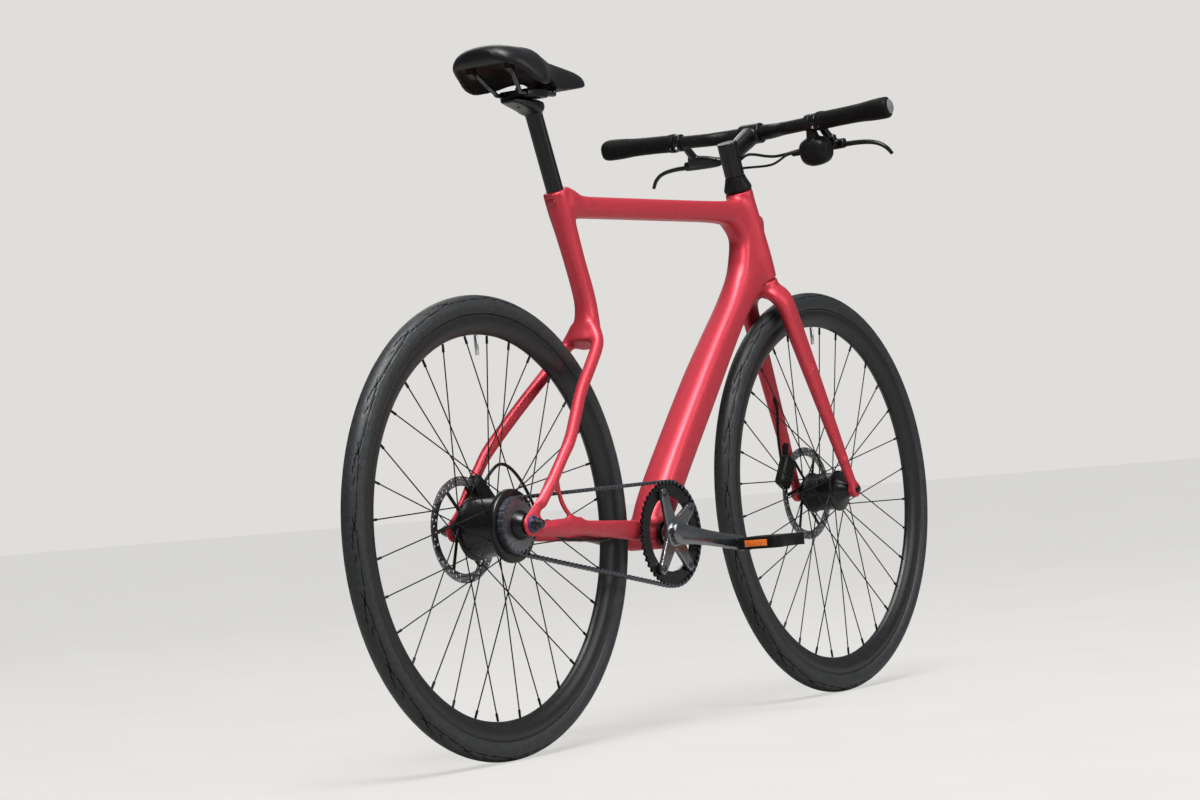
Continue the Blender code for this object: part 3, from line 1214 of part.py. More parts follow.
def belt():
    """One closed toothed band: a flat cell for each tooth, drawn side by side and extruded."""
    shape = bmesh.new()
    cells = []
    for tooth in range(BELT_TEETH):
        middle = tooth * BELT_PITCH
        inner = []
        for offset, depth in ((-TOOTH_ROOT_SHARE / 2, BELT_LAND),
                              (-TOOTH_TIP_SHARE / 2, BELT_LAND + BELT_TOOTH_HEIGHT),
                              (TOOTH_TIP_SHARE / 2, BELT_LAND + BELT_TOOTH_HEIGHT),
                              (TOOTH_ROOT_SHARE / 2, BELT_LAND)):
            place, normal = pitch_point(middle + offset * BELT_PITCH)
            point = place - normal * depth
            inner.append(shape.verts.new((point.x, point.y, 0.0)))
        place, normal = pitch_point(middle - TOOTH_ROOT_SHARE / 2 * BELT_PITCH)
        back = place + normal * BELT_BACK
        cells.append((inner, shape.verts.new((back.x, back.y, 0.0))))
    flat = []
    for (inner, back), (next_inner, next_back) in zip(cells, cells[1:] + cells[:1]):
        flat.append(shape.faces.new(inner + [next_inner[0], next_back, back]))
    raised = bmesh.ops.extrude_face_region(shape, geom=flat)["geom"]
    bmesh.ops.translate(shape, vec=(0.0, 0.0, BELT_WIDTH),
                        verts=[v for v in raised if isinstance(v, bmesh.types.BMVert)])
    band = mesh_object("belt", shape, place=(0.0, BELT_Y + BELT_WIDTH / 2, 0.0), turn=UPRIGHT)
    finish(band, root, RUBBER)


def sprocket_outline(teeth, pitch_radius, phase):
    """Grooves that take the belt's teeth, with play on every side."""
    points = []
    land = pitch_radius - BELT_LAND - TOOTH_PLAY
    floor = pitch_radius - BELT_LAND - BELT_TOOTH_HEIGHT - TOOTH_PLAY
    play = TOOTH_PLAY / BELT_PITCH
    step = 2 * math.pi / teeth
    for k in range(teeth):
        for share, radius in ((-TOOTH_ROOT_SHARE / 2 - play, land),
                              (-TOOTH_TIP_SHARE / 2 - play, floor),
                              (TOOTH_TIP_SHARE / 2 + play, floor),
                              (TOOTH_ROOT_SHARE / 2 + play, land)):
            angle = phase + (k + share) * step
            points.append((radius * math.cos(angle), radius * math.sin(angle)))
    return points


def chainring(top):
    """The ring's teeth stand level with the bike at rest, so it turns back by the cranks' pitch."""
    thread = sprocket_outline(RING_TEETH, RING_PITCH_RADIUS, top)
    ring = plate("chainring", [thread, circle(RING_INNER_RADIUS, 24)], RING_THICKNESS,
                 place=(0.0, BELT_Y, 0.0))
    finish(ring, crank_axis, ALLOY_BLACK)
    level = Matrix.Rotation(-CRANK_PITCH, 4, "Y") @ Matrix.Rotation(math.pi / 2, 4, "X")
    ring.rotation_euler = level.to_euler()


def sprockets():
    _, _, base, lean = belt_frame()
    top = base + math.pi / 2 + lean
    chainring(top)
    wrap_ring = math.pi + 2 * lean
    bottom_s = RING_PITCH_RADIUS * wrap_ring + CENTRES * math.cos(lean)
    to_next = (math.ceil(bottom_s / BELT_PITCH) * BELT_PITCH - bottom_s) / COG_PITCH_RADIUS
    cog_thread = sprocket_outline(COG_TEETH, COG_PITCH_RADIUS, top - wrap_ring - to_next)
    cog = plate("cog", [cog_thread, circle(COG_BORE, SMALL_STEPS)], COG_THICKNESS,
                place=(0.0, BELT_Y, WHEEL_RADIUS))
    finish(cog, root, STEEL)
    left, right = BELT_Y + COG_THICKNESS / 2, BELT_Y - COG_THICKNESS / 2
    end = -REAR_DROPOUT_Y + WASHER_THICKNESS + 2 * FIT_GAP
    bore = AXLE_RADIUS + FIT_GAP
    profile = [(bore, left), (COG_BORE - FIT_GAP, left), (COG_BORE - FIT_GAP, right - FIT_GAP),
               (COG_BORE + DRIVER_LIP, right - FIT_GAP),
               (COG_BORE + DRIVER_LIP, right - WASHER_THICKNESS),
               (DRIVER_END_RADIUS, end), (bore, end)]
    driver = turned("hub_driver", profile, SMALL_STEPS, ring=True,
                    place=(0.0, 0.0, WHEEL_RADIUS))
    finish(driver, root, ALLOY_BLACK)


# Cranks and pedals

def crank_arm(name, side):
    """An arm from the spindle out to the pedal, flaring away from the frame."""
    rings = []
    for along, high, wide, out in CRANK_SHARES:
        centre = Vector((-side * CRANK_LENGTH * along,
                         side * (CRANK_INNER_Y + CRANK_THICKNESS / 2 + CRANK_FLARE * out), 0.0))
        rings.append((centre, CRANK_HALF_HEIGHT * high, CRANK_THICKNESS / 2 * wide, 3.0))
    return finish(loft(name, rings, STAY_SIDES + 2), crank_axis, CRANK_GREY)


def spider():
    """Four arms from the crank's boss out to the ring's bolts."""
    root_radius = CRANK_HUB_RADIUS * 1.45
    root_half = math.asin(SPIDER_ROOT_WIDTH / 2 / root_radius)
    tip_half = math.asin(SPIDER_TIP_WIDTH / 2 / SPIDER_BOLT_CIRCLE)
    tip = SPIDER_BOLT_CIRCLE + SPIDER_TIP_WIDTH / 2
    outline = []
    for angle in sorted(angle % (2 * math.pi) for angle in SPIDER_ANGLES):
        outline += arc((0.0, 0.0), root_radius, angle - root_half, angle - root_half, 2)[:1]
        outline += arc((0.0, 0.0), SPIDER_BOLT_CIRCLE, angle - tip_half, angle - tip_half, 2)[:1]
        outline += arc((0.0, 0.0), tip, angle - tip_half * 0.5, angle + tip_half * 0.5, 3)
        outline += arc((0.0, 0.0), SPIDER_BOLT_CIRCLE, angle + tip_half, angle + tip_half, 2)[:1]
        outline += arc((0.0, 0.0), root_radius, angle + root_half, angle + root_half, 2)[:1]
    y = BELT_Y - RING_THICKNESS / 2 - FIT_GAP - SPIDER_THICKNESS / 2
    return plate("crank_spider", [outline], SPIDER_THICKNESS, place=(0.0, y, 0.0))


def bottom_bracket_cup(name, side):
    inner = BB_SHELL_HALF_WIDTH + FIT_GAP
    bore = SPINDLE_RADIUS + STEERER_GAP
    cup = [(BB_CUP_RADIUS, inner + BB_CUP_LENGTH), (BB_CUP_RADIUS, inner),
           (BB_BORE_RADIUS - FIT_GAP, inner), (BB_BORE_RADIUS - FIT_GAP, inner - BB_CUP_LENGTH * 2),
           (bore, inner - BB_CUP_LENGTH * 2), (bore, inner + BB_CUP_LENGTH)]
    finish(turned("bottom_bracket_cup_" + name, cup, SMALL_STEPS + 8, ring=True,
                  place=(BB_X, 0.0, BB_Z), turn=ACROSS if side > 0 else UPRIGHT),
           root, ALLOY_BLACK)


def cranks():
    boss_inner = BB_SHELL_HALF_WIDTH + BB_CUP_LENGTH + TURN_GAP + FIT_GAP
    boss_outer = CRANK_INNER_Y + CRANK_THICKNESS * 0.9
    right = crank_arm("crank_right", -1)
    boss = cylinder("crank_boss", CRANK_HUB_RADIUS, -boss_outer, -boss_inner, SMALL_STEPS + 4)
    spindle = cylinder("crank_spindle", SPINDLE_RADIUS, -CRANK_INNER_Y, CRANK_INNER_Y - FIT_GAP,
                       SMALL_STEPS)
    unite(right, spider(), boss, spindle)
    left = crank_arm("crank_left", 1)
    unite(left, cylinder("crank_left_boss", CRANK_HUB_RADIUS, boss_inner, boss_outer,
                         SMALL_STEPS + 4))
    cut(left, cylinder("spindle_socket", SPINDLE_RADIUS + FIT_GAP, 0.0, CRANK_INNER_Y,
                       SMALL_STEPS))
    for name, side in SIDES:
        bottom_bracket_cup(name, side)


def pedal_outline(side):
    """Cage seen from above, its outer end notched into two prongs."""
    length, width, corner = PEDAL_LENGTH / 2, PEDAL_WIDTH / 2, PEDAL_CORNER
    prong = length - PEDAL_BAR - corner
    half = [(length - corner, -width), (length, corner - width), (length, width - corner),
            (length - corner, width), (prong + PEDAL_NOTCH, width), (prong, width - PEDAL_NOTCH)]
    outline = half + [(-x, y) for x, y in half[::-1]]
    return [(x, side * y) for x, y in outline]


def pedal(name, side):
    """A flat cage round a bearing barrel, level as it hangs at rest."""
    eye = Vector((-side * CRANK_LENGTH, 0.0, 0.0))
    axis = empty("pedal_axis_" + name, eye, crank_axis, (0.0, -CRANK_PITCH, 0.0))
    face = CRANK_INNER_Y + CRANK_THICKNESS * 0.96 + CRANK_FLARE
    start = face + FIT_GAP
    near = start + PEDAL_GAP
    tip = near + PEDAL_WIDTH - PEDAL_NOTCH - PEDAL_LIP

    def span(low, high):
        return min(side * low, side * high), max(side * low, side * high)

    axle = cylinder("pedal_axle_" + name, PEDAL_AXLE_RADIUS, *span(start, tip), SMALL_STEPS,
                    place=eye)
    finish(axle, crank_axis, SILVER)
    barrel = PEDAL_AXLE_RADIUS + PEDAL_BAR / 2
    inside, width = PEDAL_LENGTH / 2 - PEDAL_BAR, PEDAL_WIDTH / 2 - PEDAL_BAR
    holes = [[(sign * barrel, -width), (sign * inside, -width),
              (sign * inside, width), (sign * barrel, width)] for sign in (1, -1)]
    body = plate("pedal_" + name, [pedal_outline(side)] + holes, PEDAL_THICKNESS,
                 place=(0.0, side * (near + PEDAL_WIDTH / 2), 0.0), turn=LEVEL)
    finish(body, axis, BLACK)
    cut(body, cylinder("pedal_bore_" + name, PEDAL_AXLE_RADIUS + STEERER_GAP,
                       *span(near - CUT_OVERRUN, tip + STEERER_GAP), SMALL_STEPS))
    for end, sign in (("front", 1), ("rear", -1)):
        cut(body, box("reflector_seat_%s_%s" % (end, name),
                      (REFLECTOR_DEPTH * 2, REFLECTOR_LENGTH, REFLECTOR_HEIGHT),
                      place=(sign * PEDAL_LENGTH / 2, side * (near + PEDAL_WIDTH / 2), 0.0)))


# Steering: the fork, headset, stem and bar turn together

def leg_point(share, side):
    """Centre of a fork leg from its shoulder (0) to its foot (1)."""
    shoulder = Vector((FORK_SHOULDER_X, side * FORK_SHOULDER_Y, CROWN_TOP - FORK_SHOULDER_DROP))
    foot = Vector((FORK_OFFSET, side * (FRONT_DROPOUT_Y + FORK_LEG_FOOT_WIDTH), AXLE_RISE))
    return shoulder.lerp(foot, share)


def fork_leg(side, margin=0.0):
    """A leg from the crown to the axle; with a margin it cuts what fits round it."""
    rings = [(Vector((0.0, side * FORK_SHOULDER_Y * out, CROWN_TOP - FORK_SHOULDER_DROP * down)),
              FORK_LEG_TOP_DEPTH * deep + margin, FORK_LEG_TOP_WIDTH * wide + margin, 2.6)
             for out, down, deep, wide in FORK_CROWN_SHARES]
    rings += [(leg_point(share, side), FORK_LEG_TOP_DEPTH * deep + margin,
               FORK_LEG_TOP_WIDTH * wide + margin, 2.6) for share, deep, wide in FORK_LEG_SHARES]
    return loft(sided("fork_leg" if margin == 0.0 else "fork_leg_room", side), rings,
                STAY_SIDES + 2)


def fork():
    steerer_top = STEM_BASE + STEM_COLUMN_LENGTH - STEM_CAP_HEIGHT
    profile = [(0.0, steerer_top), (STEERER_RADIUS, steerer_top), (STEERER_RADIUS, CROWN_TOP),
               (HEAD_LOWER_RADIUS, CROWN_TOP), (HEAD_LOWER_RADIUS, CROWN_TOP - FORK_CROWN_LIP),
               (FORK_CROWN_DEPTH, CROWN_TOP - FORK_CROWN_HEIGHT),
               (0.0, CROWN_TOP - FORK_CROWN_HEIGHT)]
    body = turned("fork", profile, SMALL_STEPS + 8, turn=LEVEL)
    finish(body, steering_axis, RED)
    for name, side in SIDES:
        foot = leg_point(1.0, side)
        boss = cylinder("fork_foot_" + name, FORK_FOOT_BOSS_RADIUS, foot.y - FORK_LEG_FOOT_WIDTH,
                        foot.y + FORK_LEG_FOOT_WIDTH, SMALL_STEPS, place=(foot.x, 0.0, foot.z))
        unite(body, fork_leg(side), boss)
        for number, share in EYELET_SHARES:
            centre = leg_point(share, side)
            face = side * (abs(centre.y) + FORK_LEG_TOP_WIDTH * (0.99 - 0.44 * share)
                           + EYELET_STAND)
            unite(body, cylinder("eyelet_%s_%s" % (number, name), EYELET_RADIUS,
                                 min(centre.y, face), max(centre.y, face), SMALL_STEPS - 6,
                                 place=(centre.x - EYELET_RADIUS * 0.4, 0.0, centre.z)))
    cut(body, cylinder("fork_axle_bore", AXLE_RADIUS + FIT_GAP, -2 * FRONT_DROPOUT_Y,
                       2 * FRONT_DROPOUT_Y, SMALL_STEPS, place=(FORK_OFFSET, 0.0, AXLE_RISE)))
    return body


def headset_and_stem():
    low, high = HEAD_TOP + TURN_GAP, STEM_BASE - FIT_GAP
    bore = STEERER_RADIUS + FIT_GAP
    cone = [(CONE_TOP_RADIUS, high), (CONE_NECK_RADIUS, low + (high - low) * CONE_TOP_SHARE),
            (HEAD_UPPER_RADIUS, low + (high - low) * CONE_FOOT_SHARE), (HEAD_UPPER_RADIUS, low),
            (bore, low), (bore, high)]
    finish(turned("headset_cone", cone, SMALL_STEPS + 8, ring=True, turn=LEVEL),
           steering_axis, BLACK)
    column = cylinder("stem", STEM_COLUMN_RADIUS, STEM_BASE, STEM_BASE + STEM_COLUMN_LENGTH,
                      SMALL_STEPS + 8, turn=LEVEL)
    finish(column, steering_axis, ALLOY_BLACK)
    start = Vector((0.0, 0.0, STEM_BASE + STEM_COLUMN_LENGTH * STEM_NECK_START_SHARE))
    end = Vector((BAR_REACH, 0.0, BAR_HEIGHT))
    rings = [(start.lerp(end, along), STEM_COLUMN_RADIUS * size, STEM_COLUMN_RADIUS * size, square)
             for along, size, square in STEM_NECK_SHARES]
    neck = loft("stem_neck", rings, STAY_SIDES + 2)
    collar = cylinder("stem_collar", STEM_CLAMP_RADIUS, -STEM_CLAMP_HALF_WIDTH,
                      STEM_CLAMP_HALF_WIDTH, SMALL_STEPS, place=tuple(end))
    unite(column, neck, collar)
    socket = cylinder("stem_socket", bore, STEM_BASE - CUT_OVERRUN,
                      STEM_BASE + STEM_COLUMN_LENGTH - STEM_CAP_HEIGHT + FIT_GAP, SMALL_STEPS + 8,
                      turn=LEVEL)
    hole = cylinder("stem_bar_bore", BAR_CLAMP_RADIUS + FIT_GAP,
                    -STEM_CLAMP_HALF_WIDTH - CUT_OVERRUN, STEM_CLAMP_HALF_WIDTH + CUT_OVERRUN,
                    SMALL_STEPS + 4, place=tuple(end))
    cut(column, socket, hole)
    return column


# Cockpit: a tapered bar with the grips, levers and shifter clamped round it

def bar_point(y):
    """Centre line of the bar: it rises and sweeps back towards the grips."""
    start = BAR_CLAMP_HALF_WIDTH * 1.2
    t = min(1.0, max(0.0, (abs(y) - start) / (BAR_BEND_Y - start)))
    ease = t * t * (3 - 2 * t)
    rest = max(0.0, (abs(y) - BAR_BEND_Y) / (BAR_HALF_WIDTH - BAR_BEND_Y))
    rise = BAR_RISE * (BAR_RISE_SHARE * ease + (1 - BAR_RISE_SHARE) * rest)
    return Vector((BAR_REACH - BAR_SWEEP * ease, y, BAR_HEIGHT + rise))


def handlebar():
    half = [(BAR_CLAMP_HALF_WIDTH + (BAR_BEND_Y - BAR_CLAMP_HALF_WIDTH) * along,
             BAR_CLAMP_RADIUS + (BAR_RADIUS - BAR_CLAMP_RADIUS) * thin)
            for along, thin in BAR_TAPER_SHARES]
    half.append((BAR_HALF_WIDTH - GRIP_END_CAP - FIT_GAP, BAR_RADIUS))
    rings = [(bar_point(-y), radius, radius, 2.0) for y, radius in half[::-1]]
    rings += [(bar_point(y), radius, radius, 2.0) for y, radius in half]
    finish(loft("handlebar", rings, SMALL_STEPS, across=FORWARD), steering_axis, BLACK)


def on_bar(name, side, inner, outer, radius):
    """A round sleeve along the bar between two distances from its middle."""
    rings = [(bar_point(side * y), radius, radius, 2.0) for y in (inner, outer)]
    return loft(name, rings, SMALL_STEPS, across=FORWARD)


def bar_hole(name, side, inner, outer):
    return on_bar(name, side, inner, outer, BAR_RADIUS + FIT_GAP)


def grip(name, side):
    """A grip with a clamp ring inboard and a flared palm rest at its end."""
    start = GRIP_INNER_Y + GRIP_CLAMP_WIDTH
    rings = []
    for along, tall, deep in GRIP_SHARES:
        depth = GRIP_RADIUS + (GRIP_PALM_DEPTH - GRIP_RADIUS) * deep
        centre = bar_point(side * (start + (BAR_HALF_WIDTH - start) * along))
        centre.x -= depth - GRIP_RADIUS
        rings.append((centre, GRIP_RADIUS + (GRIP_PALM_HEIGHT - GRIP_RADIUS) * tall, depth, 2.3))
    body = loft("grip_" + name, rings, SMALL_STEPS, across=FORWARD)
    finish(body, steering_axis, GRIP_RUBBER)
    unite(body, on_bar("grip_clamp_" + name, side, GRIP_INNER_Y, start + FIT_GAP,
                       GRIP_CLAMP_RADIUS))
    cut(body, bar_hole("grip_hole_" + name, side, GRIP_INNER_Y - CUT_OVERRUN,
                       BAR_HALF_WIDTH - GRIP_END_CAP))


def brake_lever(name, side):
    """Clamp, sloping tank, master cylinder and a two-finger blade on one side of the bar."""
    inner_y, outer_y = LEVER_CLAMP_Y - LEVER_BODY_INNER, LEVER_CLAMP_Y + LEVER_BODY_OUTER
    body = on_bar("brake_lever_" + name, side, LEVER_CLAMP_Y - LEVER_CLAMP_WIDTH / 2,
                  LEVER_CLAMP_Y + LEVER_CLAMP_WIDTH / 2, LEVER_CLAMP_RADIUS)
    finish(body, steering_axis, ALLOY_BLACK)
    bar = bar_point(side * LEVER_CLAMP_Y)
    centre = bar + Vector((LEVER_FORWARD, 0.0, -LEVER_DROP))
    inner = Vector((centre.x, side * inner_y, centre.z))
    outer = Vector((centre.x, side * outer_y, centre.z))
    barrel = [(inner.lerp(outer, along), LEVER_BODY_END_RADIUS
               + (LEVER_BODY_RADIUS - LEVER_BODY_END_RADIUS) * size) for along, size in
              LEVER_BODY_SHARES]
    barrel = [(point, radius, radius, 2.4) for point, radius in barrel]
    tank = []
    for along, height, size in TANK_SHARES:
        middle = centre + Vector((-LEVER_TANK_HEIGHT * height / 3,
                                  side * LEVER_BODY_INNER * along, LEVER_TANK_HEIGHT * height / 2))
        tank.append((middle, LEVER_BODY_RADIUS * (0.5 + 0.6 * height), LEVER_BODY_RADIUS * size
                     * 0.85, 2.8))
    arm = [(bar + Vector((LEVER_CLAMP_RADIUS * 0.75, 0.0, -LEVER_CLAMP_RADIUS * 0.35)),
            LEVER_CLAMP_WIDTH / 2, LEVER_CLAMP_WIDTH / 2, 2.8),
           (centre + Vector((0.0, 0.0, LEVER_TANK_HEIGHT / 3)), LEVER_CLAMP_WIDTH / 2,
            LEVER_CLAMP_WIDTH * 0.6, 2.8)]
    unite(body, loft("lever_arm_" + name, arm, 8),
          loft("lever_tank_" + name, tank, 8, across=FORWARD),
          loft("lever_barrel_" + name, barrel, 10, across=FORWARD))
    cut(body, bar_hole("lever_hole_" + name, side, LEVER_CLAMP_Y - LEVER_CLAMP_WIDTH,
                       LEVER_CLAMP_Y + LEVER_CLAMP_WIDTH))
    pivot = outer + Vector((0.0, side * FIT_GAP, -BLADE_HALF_THICKNESS / 2))
    path = [(pivot + Vector((BLADE_FORWARD * ahead, side * BLADE_REACH * along,
                             -BLADE_DROP * down)),
             BLADE_HALF_THICKNESS * slim, BLADE_HALF_DEPTH * slim, 2.6)
            for along, ahead, down, slim in BLADE_SHARES]
    blade = loft("lever_blade_" + name, path, 10, across=FORWARD)
    finish(blade, steering_axis, ALLOY_BLACK)
    return body, inner


def gear_shifter():
    """A rounded pod under the bar, inboard of the right brake lever."""
    half = SHIFTER_CLAMP_WIDTH / 2
    body = on_bar("gear_shifter", -1, SHIFTER_Y - half, SHIFTER_Y + half, LEVER_CLAMP_RADIUS)
    finish(body, steering_axis, BLACK)
    bar = bar_point(-SHIFTER_Y)
    centre = bar - Vector((0.0, 0.0, SHIFTER_DROP))
    pod = [(centre + Vector((0.0, SHIFTER_HALF_WIDTH * along, 0.0)), SHIFTER_HALF_HEIGHT * size,
            SHIFTER_HALF_DEPTH * size, 2.5) for along, size in SHIFTER_SHARES]
    neck = [(bar - Vector((0.0, 0.0, LEVER_CLAMP_RADIUS * 0.6)), half, half * 2, 2.6),
            (centre + Vector((0.0, 0.0, SHIFTER_HALF_HEIGHT / 2)), half * 2, half * 3, 2.6)]
    stop_y = centre.y + SHIFTER_HALF_WIDTH + SHIFTER_STOP_LENGTH
    stop = cylinder("shifter_cable_stop", SHIFTER_STOP_RADIUS, centre.y, stop_y, 10,
                    place=(centre.x, 0.0, centre.z))
    unite(body, loft("shifter_pod", pod, 12, across=FORWARD),
          loft("shifter_neck", neck, 8, across=FORWARD), stop)
    cut(body, bar_hole("shifter_hole", -1, SHIFTER_Y - 2 * half, SHIFTER_Y + 2 * half))
    return body, Vector((centre.x, stop_y, centre.z))


def cockpit(stem):
    handlebar()
    entry_z = STEM_BASE + STEM_COLUMN_LENGTH * HOSE_ENTRY_SHARE
    for name, side in SIDES:
        grip(name, side)
        lever, inner = brake_lever(name, side)
        inward = Vector((0.0, -side * HOSE_LEAD, 0.0))
        stop = Vector((STEM_COLUMN_RADIUS, side * HOSE_SPACING, entry_z))
        bow = inner.lerp(stop, 0.55) + Vector((HOSE_BOW, 0.0, -HOSE_SAG))
        turn_in = stop + Vector((HOSE_LEAD, side * HOSE_TURN_OUT, HOSE_SAG))
        path = smooth_path([inner - inward, inner + inward, bow, turn_in,
                            stop + Vector((-HOSE_RADIUS / 2, 0.0, 0.0))], 3)
        hose("brake_hose_" + name, path, HOSE_RADIUS, steering_axis, lever, stem)
    shifter, out = gear_shifter()
    stop = Vector((STEM_COLUMN_RADIUS, 0.0, entry_z - CABLE_ENTRY_DROP))
    path = smooth_path([out - LEFT * HOSE_LEAD, out + LEFT * HOSE_LEAD,
                        out.lerp(stop, 0.45) + Vector((HOSE_LEAD, 0.0, -CABLE_DROP)),
                        stop + Vector((HOSE_BOW * 3, HOSE_SPACING, -CABLE_DROP)),
                        stop + Vector((HOSE_BOW * 1.5, HOSE_SPACING * 2, -CABLE_DROP / 2)),
                        stop + Vector((-CABLE_RADIUS / 2, 0.0, 0.0))], 3)
    hose("shifter_cable", path, CABLE_RADIUS, steering_axis, shifter, stem)


# Brake calipers straddle the rotors

def caliper(name, carrier, centre, y, outer_y, angle):
    """A rounded block set square to the disc's radius."""
    reach = ROTOR_RADIUS * CALIPER_REACH_SHARE
    inner_y = y - CALIPER_INNER_HALF_WIDTH
    place = (centre[0] + reach * math.cos(angle), (inner_y + outer_y) / 2,
             centre[1] + reach * math.sin(angle))
    body = box(name, (CALIPER_LENGTH, outer_y - inner_y, CALIPER_HEIGHT), place,
               (0.0, math.pi / 2 - angle, 0.0))
    finish(body, carrier, BLACK)
    rounding = body.modifiers.new("rounding", "BEVEL")
    rounding.width = CALIPER_ROUND
    rounding.segments = 2
    return body


def rotor_slot(body, carrier, centre, y):
    slot = cylinder(body.name + "_slot", ROTOR_RADIUS + CALIPER_SLOT / 2, y - CALIPER_SLOT / 2,
                    y + CALIPER_SLOT / 2, WHEEL_STEPS - 12, place=(centre[0], 0.0, centre[1]))
    slot.parent = carrier
    cut(body, slot)


def brakes():
    axle = (FORK_OFFSET, AXLE_RISE)
    front = caliper("front_caliper", steering_axis, axle, FRONT_ROTOR_Y,
                    FRONT_DROPOUT_Y - FIT_GAP, FRONT_CALIPER_ANGLE)
    ear_y = FRONT_DROPOUT_Y - FIT_GAP - CALIPER_EAR_HALF_WIDTH
    upper, lower = (Vector((axle[0] + x, ear_y, axle[1] + rise))
                    for x, rise in (FRONT_BOLT_UPPER, FRONT_BOLT_LOWER))
    tip = upper + (upper - lower).normalized() * CALIPER_EAR_RADIUS
    ear = [(point, CALIPER_EAR_RADIUS, CALIPER_EAR_HALF_WIDTH, 3.4) for point in (lower, tip)]
    unite(front, loft("front_caliper_ear", ear, 12))
    cut(front, fork_leg(1, FIT_GAP))
    rotor_slot(front, steering_axis, axle, FRONT_ROTOR_Y)
    rear = caliper("rear_caliper", root, (0.0, WHEEL_RADIUS), REAR_ROTOR_Y,
                   REAR_DROPOUT_Y - FIT_GAP, REAR_CALIPER_ANGLE)
    rotor_slot(rear, root, (0.0, WHEEL_RADIUS), REAR_ROTOR_Y)
    return front, rear


# Seatpost and saddle

def seatpost():
    """A straight post into a cradle that reaches along the rails."""
    head_top = RAIL_Z - CLAMP_HALF_HEIGHT - FIT_GAP
    middle = head_top - SEATPOST_HEAD_HALF_HEIGHT
    length = (middle - SEAT_COLLAR_TOP) / math.sin(SEAT_ANGLE)
    post = cylinder("seatpost", SEATPOST_RADIUS, -SEATPOST_INSERTION, length, SMALL_STEPS,
                    place=(seat_axis_x(SEAT_COLLAR_TOP), 0.0, SEAT_COLLAR_TOP),
                    turn=(0.0, SEAT_ANGLE - math.pi / 2, 0.0))
    finish(post, root, ALLOY_BLACK)
    rings = [(Vector((clamp_x() + SEATPOST_HEAD_HALF_LENGTH * along, 0.0,
                      head_top - SEATPOST_HEAD_HALF_HEIGHT * high)),
              SEATPOST_HEAD_HALF_HEIGHT * high, SEATPOST_HEAD_HALF_WIDTH * wide, 3.0)
             for along, high, wide in SEATPOST_HEAD_SHARES]
    unite(post, loft("seatpost_head", rings, 12))


def clamp_x():
    return seat_axis_x(SEATPOST_TOP) - CLAMP_BACK


def saddle_form(name, inset, sink, trim, low):
    """A solid inside the saddle's dome, set in from it and opened downwards."""
    shares = SADDLE_SHARES if inset == 0.0 else SADDLE_SHARES[SADDLE_HOLLOW_FIRST:
                                                               SADDLE_HOLLOW_LAST + 1]
    rings = []
    for index, (along, wide, fall, rise) in enumerate(shares):
        x = SADDLE_REAR_X + SADDLE_LENGTH * along
        x += trim if index == 0 else -trim if index == len(shares) - 1 else 0.0
        half = SADDLE_HALF_WIDTH * wide - inset
        top = SADDLE_TOP - SADDLE_DEPTH * fall - sink
        rim = SADDLE_TOP - SADDLE_DEPTH * (1 - rise)
        ring = []
        for k in range(SADDLE_DOME_STEPS + 1):
            angle = math.pi * k / SADDLE_DOME_STEPS
            ring.append(Vector((x, half * power(math.cos(angle), SADDLE_DOME_SQUARENESS),
                                rim + (top - rim) * power(math.sin(angle),
                                                          SADDLE_DOME_SQUARENESS))))
        if low > 0.0:
            ring += [Vector((x, -half, rim - low)), Vector((x, half, rim - low))]
        rings.append(ring)
    return skin(name, rings, split=True)


def rail_sockets():
    """Solid blocks left in the hollow base where the rails' ends seat."""
    rear, front = RAIL_SHARES[0], RAIL_SHARES[-1]
    blocks = [("rail_socket_" + name, rear, side * RAIL_HALF_SPACING * rear[1], RAIL_SOCKET_WIDTH)
              for name, side in SIDES]
    blocks.append(("rail_socket_front", front, 0.0, SADDLE_HALF_WIDTH))
    return [box(name, (RAIL_SOCKET_LENGTH, width, 2 * SADDLE_DEPTH),
                place=(SADDLE_REAR_X + SADDLE_LENGTH * shares[0], y, RAIL_Z))
            for name, shares, y, width in blocks]


def saddle():
    """A padded dome over a hollow base that the rails spring from."""
    pad = saddle_form("saddle_pad", 0.0, 0.0, 0.0, 0.0)
    finish(pad, root, SADDLE_BLACK)
    deep = CUT_OVERRUN * 4
    cut(pad, saddle_form("saddle_pad_hollow", SADDLE_EDGE_THICKNESS, SADDLE_PAD_THICKNESS,
                         0.0, deep))
    edge, under = SADDLE_EDGE_THICKNESS + FIT_GAP, SADDLE_PAD_THICKNESS + FIT_GAP
    base = saddle_form("saddle_base", edge, under, FIT_GAP, 0.0)
    finish(base, root, BLACK)
    shell = SADDLE_SHELL_THICKNESS
    hollow = saddle_form("saddle_base_hollow", edge + shell, under + shell, FIT_GAP + shell,
                         deep)
    hollow.parent = root
    cut(hollow, *rail_sockets())
    cut(base, hollow)
    clamp = box("saddle_clamp", (CLAMP_HALF_LENGTH * 2, CLAMP_HALF_WIDTH * 2,
                                 CLAMP_HALF_HEIGHT * 2), place=(clamp_x(), 0.0, RAIL_Z))
    finish(clamp, root, ALLOY_BLACK)
    rounding = clamp.modifiers.new("rounding", "BEVEL")
    rounding.width = CLAMP_ROUND
    rounding.segments = 2
    for name, side in SIDES:
        path = smooth_path([Vector((SADDLE_REAR_X + SADDLE_LENGTH * along,
                                    side * RAIL_HALF_SPACING * spacing,
                                    RAIL_Z + SADDLE_RISE * rise))
                            for along, spacing, rise in RAIL_SHARES], 2)
        cut(clamp, channel("rail_groove_" + name, path, RAIL_RADIUS, root))
        cut(base, channel("rail_seat_" + name, path, RAIL_RADIUS, root))
        finish(rod("saddle_rail_" + name, path, RAIL_RADIUS), root, STEEL)


# Hoses held along the frame and the fork

